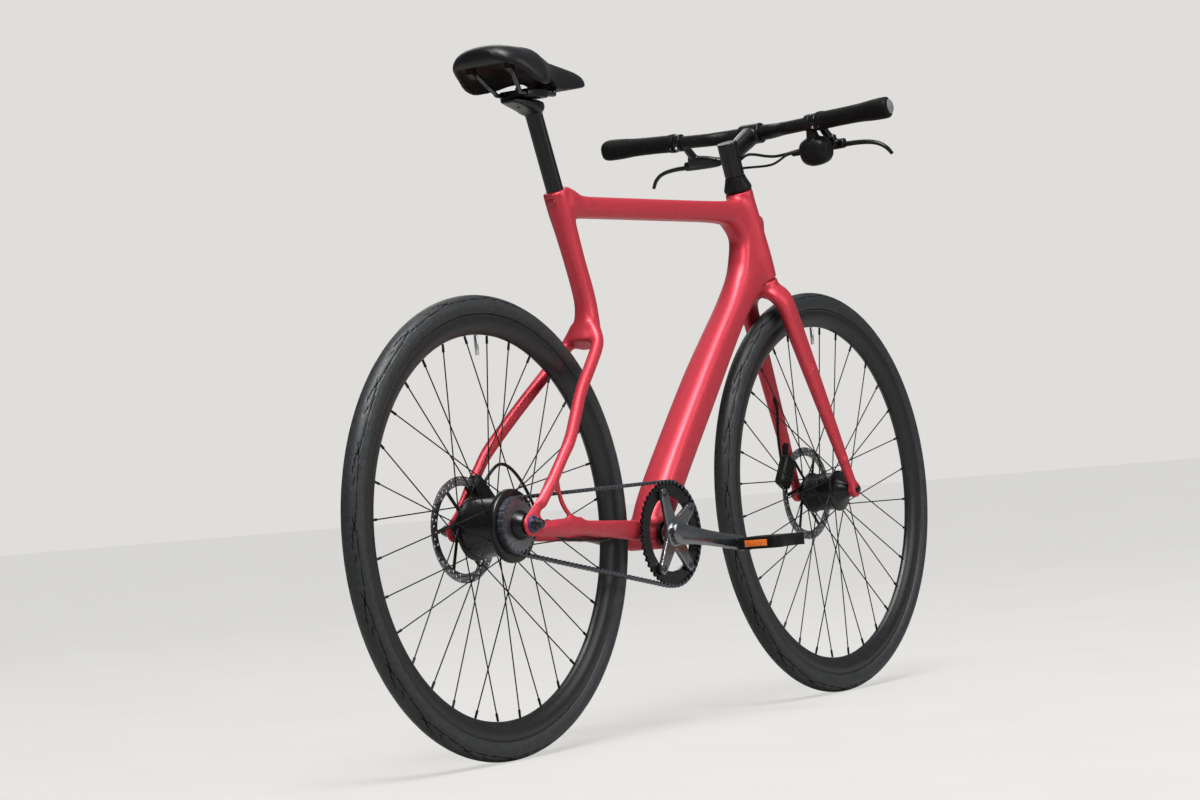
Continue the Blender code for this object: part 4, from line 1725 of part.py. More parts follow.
def held_hoses(fork_body, front, rear):
    above_axle = Vector((0.0, 0.0, WHEEL_RADIUS))
    path = smooth_path([Vector(place) + above_axle for place in REAR_HOSE_PLACES], 2)
    hose("rear_brake_hose", path, HOSE_RADIUS, root, frame, rear)
    path = smooth_path([Vector(place) + above_axle for place in GEAR_CABLE_PLACES], 2)
    hose("gear_cable", path, CABLE_RADIUS, root, frame)
    axle = Vector((FORK_OFFSET, 0.0, AXLE_RISE))
    path = smooth_path([Vector(place) + axle for place in FRONT_HOSE_PLACES], 3)
    hose("front_brake_hose", path, HOSE_RADIUS, steering_axis, fork_body, front)


frame = build_frame()
lights()
wheels()
belt()
sprockets()
cranks()
for pedal_name, pedal_side in SIDES:
    pedal(pedal_name, pedal_side)
fork_piece = fork()
cockpit(headset_and_stem())
front_caliper, rear_caliper = brakes()
seatpost()
saddle()
held_hoses(fork_piece, front_caliper, rear_caliper)
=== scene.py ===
"""Looks of the city bike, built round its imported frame.

The bike's own shapes are drawn again here from the same sizes, much finer, with their small
details and finishes. Metres, +Z up, +X forward; places below are measured from the rear axle
(x) and from the ground (z), as in the model's source.
"""
import json
import math

import bmesh
import bpy
import numpy as np
from mathutils import Matrix, Vector

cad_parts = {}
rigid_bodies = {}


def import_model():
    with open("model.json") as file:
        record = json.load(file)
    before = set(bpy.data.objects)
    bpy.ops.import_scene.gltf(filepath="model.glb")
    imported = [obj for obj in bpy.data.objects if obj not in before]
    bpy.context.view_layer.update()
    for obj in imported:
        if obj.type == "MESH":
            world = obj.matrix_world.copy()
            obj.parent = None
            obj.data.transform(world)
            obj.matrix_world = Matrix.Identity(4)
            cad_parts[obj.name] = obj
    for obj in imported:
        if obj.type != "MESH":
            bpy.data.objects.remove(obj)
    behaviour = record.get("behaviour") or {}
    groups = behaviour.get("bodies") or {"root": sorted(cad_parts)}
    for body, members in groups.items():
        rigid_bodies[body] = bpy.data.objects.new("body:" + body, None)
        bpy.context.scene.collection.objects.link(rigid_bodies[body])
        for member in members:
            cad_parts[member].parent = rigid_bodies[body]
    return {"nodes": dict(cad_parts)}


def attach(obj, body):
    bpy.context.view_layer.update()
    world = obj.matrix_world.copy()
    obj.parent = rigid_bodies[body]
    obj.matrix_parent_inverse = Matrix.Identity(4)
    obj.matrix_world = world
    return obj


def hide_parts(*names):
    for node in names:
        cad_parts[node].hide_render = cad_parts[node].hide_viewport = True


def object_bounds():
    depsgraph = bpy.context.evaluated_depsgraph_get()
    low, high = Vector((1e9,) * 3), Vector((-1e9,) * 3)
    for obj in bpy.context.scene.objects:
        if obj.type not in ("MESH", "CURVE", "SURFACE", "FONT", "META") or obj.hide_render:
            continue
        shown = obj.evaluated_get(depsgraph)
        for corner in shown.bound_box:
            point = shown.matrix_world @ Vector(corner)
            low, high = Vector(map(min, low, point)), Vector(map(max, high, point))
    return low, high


frame_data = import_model()
CAD_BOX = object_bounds()
NODES = frame_data["nodes"]

# Camera, at the photograph's viewing angle
CAMERA_PLACE = Vector((-4.0327, -2.8292, -0.6595))
CAMERA_YAW = 0.5932
CAMERA_PITCH = 0.0228
CAMERA_ROLL = -0.0881
CAMERA_LENS = 97.24
SENSOR_WIDTH = 36.0

# Steps and sides of the fine shapes
WHEEL_STEPS = 180
TUBE_SIDES = 44
STAY_SIDES = 28
SMALL_STEPS = 48
PATH_STEPS = 4
SADDLE_DOME_STEPS = 36
LOFT_SIDES = 28
RAIL_SOCKET_LENGTH = 0.0120
RAIL_SOCKET_WIDTH = 0.0105
BRACE_WIDTH = 0.0085
SPIDER_TIP_WIDTH = 0.0185
SPIDER_ROOT_WIDTH = 0.0285
SPIDER_THICKNESS = 0.0075
COAT_ROUGHNESS = 0.22
BUMP_STRENGTH = 0.6
SOFT_ANGLE = math.radians(40.0)
SMOOTH_ANGLE = 35
SHADE_WELD = 0.000005
EVENING_SHARE = 0.5
NORMALS_EVERY = 10
PIECE = "_piece"
DETAIL = "_detail"

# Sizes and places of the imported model, repeated from its source
FIT_GAP = 0.0003
STEERER_GAP = 0.0004
HUB_BORE_GAP = 0.0004
TURN_GAP = 0.0008
CUT_OVERRUN = 0.002
WELD = 0.00001
RIM_SEAT_RADIUS = 0.3165
RIM_DEPTH = 0.0300
RIM_HALF_WIDTH = 0.0125
TYRE_HEIGHT = 0.0295
TYRE_HALF_WIDTH = 0.0175
SPOKE_RADIUS = 0.0010
SPOKES_PER_FLANGE = 16
SPOKE_CROSSINGS = 2
FLANGE_STAGGER = 0.0010
VALVE_RADIUS = 0.0030
VALVE_LENGTH = 0.030
AXLE_RADIUS = 0.0060
WHEEL_SPACE = 0.294
HEAD_ANGLE = math.radians(73.2)
SEAT_ANGLE = math.radians(71.5)
FORK_OFFSET = 0.0426
BB_DROP = 0.0385
SEAT_AXIS_FOOT = 0.2405
BELT_PITCH = 0.011
RING_TEETH = 48
COG_TEETH = 24
TYRE_TO_SPINDLE = 0.0620
BELT_Y = -0.046
BELT_WIDTH = 0.010
BELT_BACK = 0.0016
BELT_LAND = 0.0008
BELT_TOOTH_HEIGHT = 0.0034
TOOTH_TIP_SHARE = 0.34
TOOTH_ROOT_SHARE = 0.54
RING_THICKNESS = 0.0042
COG_THICKNESS = 0.0085
ROTOR_RADIUS = 0.080
ROTOR_TRACK = 0.0145
ROTOR_THICKNESS = 0.0018
ROTOR_HUB_RADIUS = 0.0235
ROTOR_BORE = 0.0160
ROTOR_ARMS = 6
ROTOR_ARM_WIDTH = 0.0060
ROTOR_SWEEP_SHARE = 0.40
FRONT_ROTOR_Y = 0.0385
REAR_ROTOR_Y = 0.0530
HUB_END_RADIUS = 0.0110
FLANGE_THICKNESS = 0.0040
FLANGE_FILLET = 0.0010
FRONT_DROPOUT_Y = 0.050
FRONT_FLANGE_Y = 0.0260
FRONT_FLANGE_RADIUS = 0.0350
FRONT_SHELL_RADIUS = 0.0320
FRONT_SPOKE_CIRCLE = 0.0315
FRONT_ROTOR_SEAT_RADIUS = 0.0220
FRONT_SHOULDER_RADIUS = 0.0240
FRONT_CONNECTOR_RADIUS = 0.0180
FRONT_CONNECTOR_LENGTH = 0.0080
FRONT_AXLE_HEAD_RADIUS = 0.0085
FRONT_AXLE_HEAD = 0.0030
REAR_DROPOUT_Y = 0.0675
REAR_FLANGE_Y = 0.0290
REAR_FLANGE_RADIUS = 0.0480
REAR_SHELL_RADIUS = 0.0430
REAR_SHELL_CROWN = 0.0009
REAR_SPOKE_CIRCLE = 0.0455
REAR_ROTOR_SEAT_RADIUS = 0.0230
REAR_SHOULDER_RADIUS = 0.0260
REAR_SHOULDER_LENGTH = 0.0080
REAR_CAP_RADIUS = 0.0400
DUST_COVER_RADIUS = 0.0550
DUST_COVER_CHAMFER = 0.0015
DROPOUT_THICKNESS = 0.0070
AXLE_NUT_RADIUS = 0.0090
AXLE_NUT_HEIGHT = 0.0085
AXLE_STUB = 0.0060
WASHER_RADIUS = 0.0115
WASHER_THICKNESS = 0.0030
TOP_TUBE_DROP = 0.03763
TOP_TUBE_HALF_HEIGHT = 0.0170
TOP_TUBE_HALF_WIDTH = 0.0190
TOP_TUBE_HEAD_HALF_HEIGHT = 0.0330
DOWN_TUBE_DROP = 0.11363
DOWN_TUBE_HALF_HEIGHT = 0.0285
DOWN_TUBE_HALF_WIDTH = 0.0270
DOWN_TUBE_HEAD_HALF_HEIGHT = 0.0520
DOWN_TUBE_BOW = 0.0100
SEAT_COLLAR_RISE = 0.0250
SEAT_COLLAR_HALF_DEPTH = 0.0205
SEAT_COLLAR_HALF_WIDTH = 0.01886
SEAT_TUBE_HALF_DEPTH = 0.0170
SEAT_TUBE_HALF_WIDTH = 0.0150
SEAT_TUBE_BEND_DROP = 0.1280
SEAT_TUBE_KNEE_SHARE = 0.55
SEAT_FOOT_CLEARANCE = 0.0424
SEAT_FOOT_ANGLE = math.radians(43.23)
BB_SHELL_RADIUS = 0.0235
BB_SHELL_HALF_WIDTH = 0.0340
BB_BORE_RADIUS = 0.0180
STAY_HALF_HEIGHT = 0.0098
STAY_HALF_WIDTH = 0.0082
STAY_SPLIT_HALF_WIDTH = 0.0300
STAY_ROOT_FORWARD = 0.0065
STAY_ROOT_RISE = 0.0300
STAY_SPLIT_BACK = 0.0080
STAY_SPLIT_DROP = 0.0020
STAY_MIDDLE_X = 0.1920
STAY_MIDDLE_RISE = 0.1940
STAY_MIDDLE_Y = 0.0493
STAY_LOWER_X = 0.0880
STAY_LOWER_RISE = 0.0940
STAY_KNEE_INSET = 0.0040
STAY_ROOT_SHARE = 0.45
STAY_KNEE_SHARE = 0.33
STAY_END_SHARE = 0.74
STAY_SWELL_SHARE = 0.35
CHAINSTAY_HALF_HEIGHT = 0.0130
CHAINSTAY_HALF_WIDTH = 0.0085
CHAINSTAY_THROAT_HALF_WIDTH = 0.0062
CHAINSTAY_ROOT_PLACES = ((0.0040, 0.0250, 0.0040), (0.0500, 0.0312, 0.0080),
                         (0.1050, 0.0331, 0.0135))
CHAINSTAY_END_Y = REAR_DROPOUT_Y + CHAINSTAY_HALF_WIDTH
CHAINSTAY_REAR_PLACES = ((0.2250, 0.0490, 0.0198), (0.1250, 0.0680, 0.0130),
                         (0.0550, CHAINSTAY_END_Y, 0.0065), (0.0120, CHAINSTAY_END_Y, 0.0050))
DROPOUT_BOSS_RADIUS = 0.0190
DROPOUT_FOOT_X = 0.1400
DROPOUT_FOOT_TOP_DROP = 0.0020
DROPOUT_FOOT_LOW_DROP = 0.0250
DROPOUT_TOE_X = 0.1000
DROPOUT_TOE_DROP = 0.0260
DROPOUT_NECK_X = 0.0790
DROPOUT_NECK_RISE = 0.0690
DROPOUT_HORN_X = 0.0700
DROPOUT_HORN_RISE = 0.0840
BRACE_CENTRE = (0.1240, 0.0490)
BRACE_RADIUS = 0.0420
WINDOW_CORNERS = [(0.0560, 0.0500), (0.0240, 0.0160), (0.0240, 0.0060), (0.0560, 0.0040)]
CROWN_CLEARANCE = 0.0370
HEAD_TUBE_LENGTH = 0.1590
HEAD_LOWER_RADIUS = 0.0282
HEAD_UPPER_RADIUS = 0.0235
HEAD_LOWER_RING = 0.0200
HEAD_BORE_RADIUS = 0.0180
STEERER_RADIUS = 0.0143
CROWN_ROOM_RADIUS = 0.0340
CROWN_ROOM_FOOT_RADIUS = 0.0600
CONE_HEIGHT = 0.0250
CONE_TOP_RADIUS = 0.0172
CONE_NECK_RADIUS = 0.01823
CONE_TOP_SHARE = 0.80
CONE_FOOT_SHARE = 0.20
STEM_COLUMN_RADIUS = 0.0168
STEM_COLUMN_LENGTH = 0.0590
STEM_CAP_HEIGHT = 0.0050
STEM_NECK_START_SHARE = 0.60
FORK_LEG_TOP_DEPTH = 0.0205
FORK_LEG_TOP_WIDTH = 0.0115
FORK_LEG_FOOT_WIDTH = 0.0065
FORK_SHOULDER_X = 0.0015
FORK_SHOULDER_Y = 0.0365
FORK_SHOULDER_DROP = 0.0480
FORK_CROWN_DEPTH = 0.0220
FORK_CROWN_HEIGHT = 0.0220
FORK_CROWN_LIP = 0.0100
FORK_FOOT_BOSS_RADIUS = 0.0135
THRU_AXLE_END = 0.0035
EYELET_RADIUS = 0.0062
EYELET_STAND = 0.0015
BAR_REACH = 0.0866
BAR_HEIGHT = 0.6190
BAR_CLAMP_RADIUS = 0.0130
BAR_RADIUS = 0.0111
BAR_CLAMP_HALF_WIDTH = 0.0280
BAR_SWEEP = 0.0165
BAR_RISE = 0.0140
BAR_RISE_SHARE = 0.35
BAR_HALF_WIDTH = 0.2800
STEM_CLAMP_RADIUS = 0.0175
STEM_CLAMP_HALF_WIDTH = 0.0200
GRIP_LENGTH = 0.1380
GRIP_END_CAP = 0.0030
GRIP_RADIUS = 0.0150
GRIP_PALM_HEIGHT = 0.0172
GRIP_PALM_DEPTH = 0.0195
GRIP_CLAMP_WIDTH = 0.0100
GRIP_CLAMP_RADIUS = 0.0163
LEVER_CLAMP_WIDTH = 0.0120
LEVER_CLAMP_RADIUS = 0.0150
LEVER_FORWARD = 0.0400
LEVER_DROP = 0.0500
LEVER_BODY_OUTER = 0.0230
LEVER_BODY_INNER = 0.0500
LEVER_BODY_RADIUS = 0.0090
LEVER_BODY_END_RADIUS = 0.0052
LEVER_TANK_HEIGHT = 0.0160
BLADE_REACH = 0.0800
BLADE_DROP = 0.0290
BLADE_FORWARD = 0.0060
BLADE_HALF_DEPTH = 0.0055
BLADE_HALF_THICKNESS = 0.0042
SHIFTER_CLAMP_WIDTH = 0.0110
SHIFTER_HALF_DEPTH = 0.0215
SHIFTER_HALF_HEIGHT = 0.0245
SHIFTER_HALF_WIDTH = 0.0270
SHIFTER_DROP = 0.0480
SHIFTER_STOP_RADIUS = 0.0042
SHIFTER_STOP_LENGTH = 0.0200
BAR_STRAIGHT_SPARE = 0.0360
HOSE_RADIUS = 0.0025
CABLE_RADIUS = 0.0021
HOSE_LEAD = 0.0100
HOSE_BOW = 0.0140
HOSE_SAG = 0.0060
HOSE_SPACING = 0.0060
HOSE_TURN_OUT = 0.0160
CABLE_DROP = 0.0100
CABLE_ENTRY_DROP = 0.0120
HEAD_LIGHT_HEIGHT = 0.0300
HEAD_LIGHT_WIDTH = 0.0220
HEAD_LIGHT_STAND = 0.0080
HEAD_LIGHT_DROP = 0.0230
LENS_DEPTH = 0.0050
LENS_MARGIN = 0.0030
TAIL_LIGHT_DROP = 0.0190
TAIL_LIGHT_HEIGHT = 0.0100
TAIL_LIGHT_WIDTH = 0.0160
TAIL_LIGHT_DEPTH = 0.0040
SEATPOST_RADIUS = 0.0136
SEATPOST_INSERTION = 0.0500
SEATPOST_EXPOSED = 0.1270
SEATPOST_HEAD_HALF_LENGTH = 0.0465
SEATPOST_HEAD_HALF_WIDTH = 0.0205
SEATPOST_HEAD_HALF_HEIGHT = 0.0120
RAIL_RADIUS = 0.0035
RAIL_HALF_SPACING = 0.0220
RAIL_RISE = 0.0185
CLAMP_BACK = 0.0190
CLAMP_HALF_WIDTH = 0.0275
CLAMP_HALF_LENGTH = 0.0265
CLAMP_HALF_HEIGHT = 0.0065
CLAMP_ROUND = 0.0026
SADDLE_REAR_BACK = 0.1375
SADDLE_LENGTH = 0.2765
SADDLE_MIDDLE_BACK = 0.0480
SADDLE_HALF_WIDTH = 0.0715
SADDLE_RISE = 0.0715
SADDLE_DEPTH = 0.0670
SADDLE_PAD_THICKNESS = 0.0150
SADDLE_EDGE_THICKNESS = 0.0045
SADDLE_SHELL_THICKNESS = 0.0030
CRANK_LENGTH = 0.1700
CRANK_PITCH = math.radians(9.5)
CRANK_HUB_RADIUS = 0.0175
CRANK_INNER_Y = 0.0560
CRANK_THICKNESS = 0.0125
CRANK_FLARE = 0.0100
CRANK_HALF_HEIGHT = 0.0145
SPINDLE_RADIUS = 0.0120
BB_CUP_LENGTH = 0.0045
SPIDER_ANGLES = tuple(math.radians(angle) for angle in (44.0, 116.0, -116.0, -44.0))
SPIDER_BOLT_CIRCLE = 0.0655
PEDAL_LENGTH = 0.0900
PEDAL_WIDTH = 0.0860
PEDAL_THICKNESS = 0.0190
PEDAL_AXLE_RADIUS = 0.0070
PEDAL_GAP = 0.0060
PEDAL_BAR = 0.0125
PEDAL_CORNER = 0.0100
PEDAL_NOTCH = 0.0070
PEDAL_LIP = 0.0050
REFLECTOR_LENGTH = 0.0420
REFLECTOR_HEIGHT = 0.0110
REFLECTOR_DEPTH = 0.0015
CALIPER_LENGTH = 0.0560
CALIPER_HEIGHT = 0.0300
CALIPER_INNER_HALF_WIDTH = 0.0080
CALIPER_SLOT = 0.0030
CALIPER_REACH_SHARE = 0.935
CALIPER_ROUND = 0.0050
FRONT_CALIPER_ANGLE = math.radians(131.0)
REAR_CALIPER_ANGLE = math.radians(44.0)
CALIPER_EAR_RADIUS = 0.0065
CALIPER_EAR_HALF_WIDTH = 0.0041
FRONT_BOLT_UPPER = (-0.0200, 0.0929)
FRONT_BOLT_LOWER = (-0.0381, 0.0596)
REAR_HOSE_PLACES = ((0.0620, 0.0560, 0.0600), (0.0718, 0.0558, 0.0720), (0.1000, 0.0530, 0.0920),
                    (0.1300, 0.0530, 0.0870), (0.1600, 0.0530, 0.0620), (0.1850, 0.0532, 0.0260),
                    (0.1980, 0.0535, -0.0020), (0.2010, 0.0533, -0.0120))
GEAR_CABLE_PLACES = ((0.2450, -0.0462, -0.0290), (0.2330, -0.0475, -0.0350),
                     (0.2000, -0.0520, -0.0360), (0.1500, -0.0610, -0.0320),
                     (0.1050, -0.0640, -0.0295), (0.0700, -0.0640, -0.0215),
                     (0.0450, -0.0690, -0.0150))
FRONT_HOSE_PLACES = ((-0.0286, 0.0395, 0.1913), (-0.0347, 0.0344, 0.1669),
                     (-0.0486, 0.0370, 0.1229), (-0.0536, 0.0385, 0.0889),
                     (-0.0551, 0.0395, 0.0689))
DRAWING_SCALE = 100.0
TOP_TUBE_SHARES = [(0.00, 1.10, 0.80, 3.0), (0.12, 1.00, 0.95, 3.4), (0.55, 1.00, 1.00, 3.6),
                   (0.80, 1.04, 1.00, 3.4)]
TOP_TUBE_FLARE_SHARES = [(0.90, 0.25), (0.95, 0.60), (1.00, 1.00)]
DOWN_TUBE_FLARE_SHARES = [(0.02, 1.0, 0.86), (0.08, 0.52, 0.86), (0.14, 0.14, 0.86)]
DOWN_TUBE_SHARES = [(0.22, 0.92, 0.88, 3.2), (0.34, 0.95, 0.92, 3.4), (0.50, 1.00, 1.00, 3.6),
                    (0.75, 1.02, 1.04, 3.4), (0.90, 1.00, 1.10, 3.0), (1.00, 0.80, 1.00, 2.6)]
SEAT_COLLAR_SHARES = (0.00, 0.20)
SEAT_TUBE_SHARES = [(0.42, 1.08, 1.10, 2.4), (0.75, 1.00, 1.00, 2.6)]
SEAT_CURVE_SHARES = [(0.00, 1.00, 1.00), (0.25, 1.00, 1.05), (0.50, 1.05, 1.20),
                     (0.75, 1.15, 1.50), (1.00, 1.15, 1.75)]
FORK_LEG_SHARES = [(0.00, 1.00, 1.00), (0.14, 0.97, 0.94), (0.40, 0.84, 0.84), (0.70, 0.66, 0.70),
                   (0.90, 0.52, 0.58), (1.00, 0.50, 0.57)]
CRANK_SHARES = [(-0.085, 0.70, 0.80, 0.00), (0.00, 1.20, 1.00, 0.00), (0.12, 1.15, 1.00, 0.05),
                (0.30, 0.95, 0.94, 0.30), (0.62, 0.84, 0.84, 0.70), (0.90, 0.86, 0.90, 0.96),
                (1.00, 0.90, 0.92, 1.00), (1.07, 0.62, 0.80, 1.00)]
GRIP_SHARES = [(0.00, 0.00, 0.00), (0.25, -0.10, 0.00), (0.55, 0.15, 0.25), (0.75, 1.00, 0.62),
               (0.94, 1.30, 1.00), (1.00, 0.75, 0.75)]
BLADE_SHARES = [(0.00, 0.00, 0.00, 1.00), (0.06, 0.00, 0.00, 1.00), (0.30, 0.50, 0.03, 0.95),
                (0.56, 0.80, 0.12, 0.88), (0.76, 0.92, 0.30, 0.80), (0.91, 1.00, 0.62, 0.72),
                (1.00, 1.00, 1.00, 0.62)]
EYELET_SHARES = (("upper", 0.35), ("lower", 0.84))
FORK_CROWN_SHARES = [(0.11, 0.344, 0.976, 1.130), (0.49, 0.417, 1.098, 1.087),
                     (0.80, 0.625, 1.098, 1.087)]
STEM_NECK_SHARES = [(0.00, 0.80, 2.4), (0.50, 0.86, 3.0), (1.00, 0.95, 3.0)]
HOSE_ENTRY_SHARE = 0.38
BAR_TAPER_SHARES = [(0.00, 0.00), (0.35, 0.45), (0.70, 0.90), (1.00, 1.00)]
SHIFTER_SHARES = [(-1.00, 0.55), (-0.72, 0.86), (-0.20, 1.00), (0.35, 1.00), (0.80, 0.78),
                  (1.00, 0.42)]
LEVER_BODY_SHARES = [(0.00, 0.00), (0.14, 0.85), (0.60, 1.00), (1.00, 0.80)]
TANK_SHARES = [(-0.95, 0.10, 0.45), (-0.55, 0.60, 0.85), (0.00, 1.00, 1.00), (0.20, 1.00, 0.90)]
SEATPOST_HEAD_SHARES = [(-1.00, 0.30, 0.62), (-0.60, 0.45, 0.85), (0.00, 0.75, 1.00),
                        (0.36, 1.00, 1.00), (0.58, 0.80, 0.85), (0.70, 0.35, 0.66)]
RAIL_SHARES = [(0.134, 1.62, 0.55), (0.206, 1.32, 0.29), (0.273, 1.04, 0.05), (0.309, 1.00, 0.00),
               (0.582, 1.00, 0.00), (0.624, 0.86, 0.06), (0.680, 0.50, 0.28)]
SADDLE_SHARES = [(0.000, 0.42, 0.150, 0.620), (0.034, 0.70, 0.060, 0.520),
                 (0.088, 0.84, 0.010, 0.445), (0.143, 0.92, 0.000, 0.343),
                 (0.215, 0.98, 0.000, 0.140), (0.295, 1.00, 0.000, 0.045),
                 (0.351, 0.91, 0.000, 0.060), (0.412, 0.76, 0.040, 0.115),
                 (0.485, 0.59, 0.100, 0.215), (0.577, 0.42, 0.195, 0.250),
                 (0.649, 0.35, 0.262, 0.060), (0.784, 0.31, 0.350, 0.090),
                 (0.897, 0.27, 0.430, 0.150), (0.964, 0.21, 0.520, 0.200),
                 (1.000, 0.10, 0.640, 0.270)]
SADDLE_DOME_SQUARENESS = 2.3
SADDLE_HOLLOW_FIRST = 1
SADDLE_HOLLOW_LAST = 12
LEFT = Vector((0.0, 1.0, 0.0))
FORWARD = Vector((1.0, 0.0, 0.0))
SIDES = (("left", 1), ("right", -1))


def camera():
    data = bpy.data.cameras.new("camera")
    data.lens = CAMERA_LENS
    data.sensor_width = SENSOR_WIDTH
    data.sensor_fit = "HORIZONTAL"
    ahead = Vector((math.cos(CAMERA_PITCH) * math.cos(CAMERA_YAW),
                    math.cos(CAMERA_PITCH) * math.sin(CAMERA_YAW), math.sin(CAMERA_PITCH)))
    level = ahead.cross(Vector((0, 0, 1))).normalized()
    raised = level.cross(ahead)
    right = math.cos(CAMERA_ROLL) * level + math.sin(CAMERA_ROLL) * raised
    up = -math.sin(CAMERA_ROLL) * level + math.cos(CAMERA_ROLL) * raised
    turn = Matrix((right, up, -ahead)).transposed().to_4x4()
    eye = bpy.data.objects.new("camera", data)
    eye.matrix_world = Matrix.Translation(CAMERA_PLACE) @ turn
    bpy.context.scene.collection.objects.link(eye)
    bpy.context.scene.camera = eye


# Materials

def shader_nodes(name):
    material = bpy.data.materials.new(name)
    material.use_nodes = True
    tree = material.node_tree
    return material, tree, tree.nodes["Principled BSDF"]


def noise(tree, scale, detail=4.0, rough=0.55, stretch=(1.0, 1.0, 1.0)):
    coordinates = tree.nodes.new("ShaderNodeTexCoord")
    mapping = tree.nodes.new("ShaderNodeMapping")
    mapping.inputs["Scale"].default_value = stretch
    texture = tree.nodes.new("ShaderNodeTexNoise")
    texture.inputs["Scale"].default_value = scale
    texture.inputs["Detail"].default_value = detail
    texture.inputs["Roughness"].default_value = rough
    tree.links.new(coordinates.outputs["Object"], mapping.inputs["Vector"])
    tree.links.new(mapping.outputs["Vector"], texture.inputs["Vector"])
    return texture.outputs["Fac"]


def spread(tree, factor, low, high, socket, start=0.30, stop=0.70):
    ramp = tree.nodes.new("ShaderNodeMapRange")
    ramp.inputs["From Min"].default_value = start
    ramp.inputs["From Max"].default_value = stop
    ramp.inputs["To Min"].default_value = low
    ramp.inputs["To Max"].default_value = high
    tree.links.new(factor, ramp.inputs["Value"])
    tree.links.new(ramp.outputs["Result"], socket)


def tint(tree, factor, dark, light, socket, start=0.35, stop=0.65):
    ramp = tree.nodes.new("ShaderNodeValToRGB")
    ramp.color_ramp.elements[0].position = start
    ramp.color_ramp.elements[0].color = (*dark, 1.0)
    ramp.color_ramp.elements[1].position = stop
    ramp.color_ramp.elements[1].color = (*light, 1.0)
    tree.links.new(factor, ramp.inputs["Fac"])
    tree.links.new(ramp.outputs["Color"], socket)


def bump(tree, height, distance, strength, shader):
    node = tree.nodes.new("ShaderNodeBump")
    node.inputs["Strength"].default_value = strength
    node.inputs["Distance"].default_value = distance
    tree.links.new(height, node.inputs["Height"])
    tree.links.new(node.outputs["Normal"], shader.inputs["Normal"])


def surface(name, dark, light, rough, metallic, grain, depth, coat=0.0, gloss=0.5):
    material, tree, shader = shader_nodes(name)
    shader.inputs["Metallic"].default_value = metallic
    shader.inputs["Specular IOR Level"].default_value = gloss
    shader.inputs["Coat Weight"].default_value = coat
    shader.inputs["Coat Roughness"].default_value = COAT_ROUGHNESS
    tint(tree, noise(tree, grain / 6), dark, light, shader.inputs["Base Color"])
    spread(tree, noise(tree, grain / 3), rough[0], rough[1], shader.inputs["Roughness"])
    bump(tree, noise(tree, grain), depth, BUMP_STRENGTH, shader)
    return material


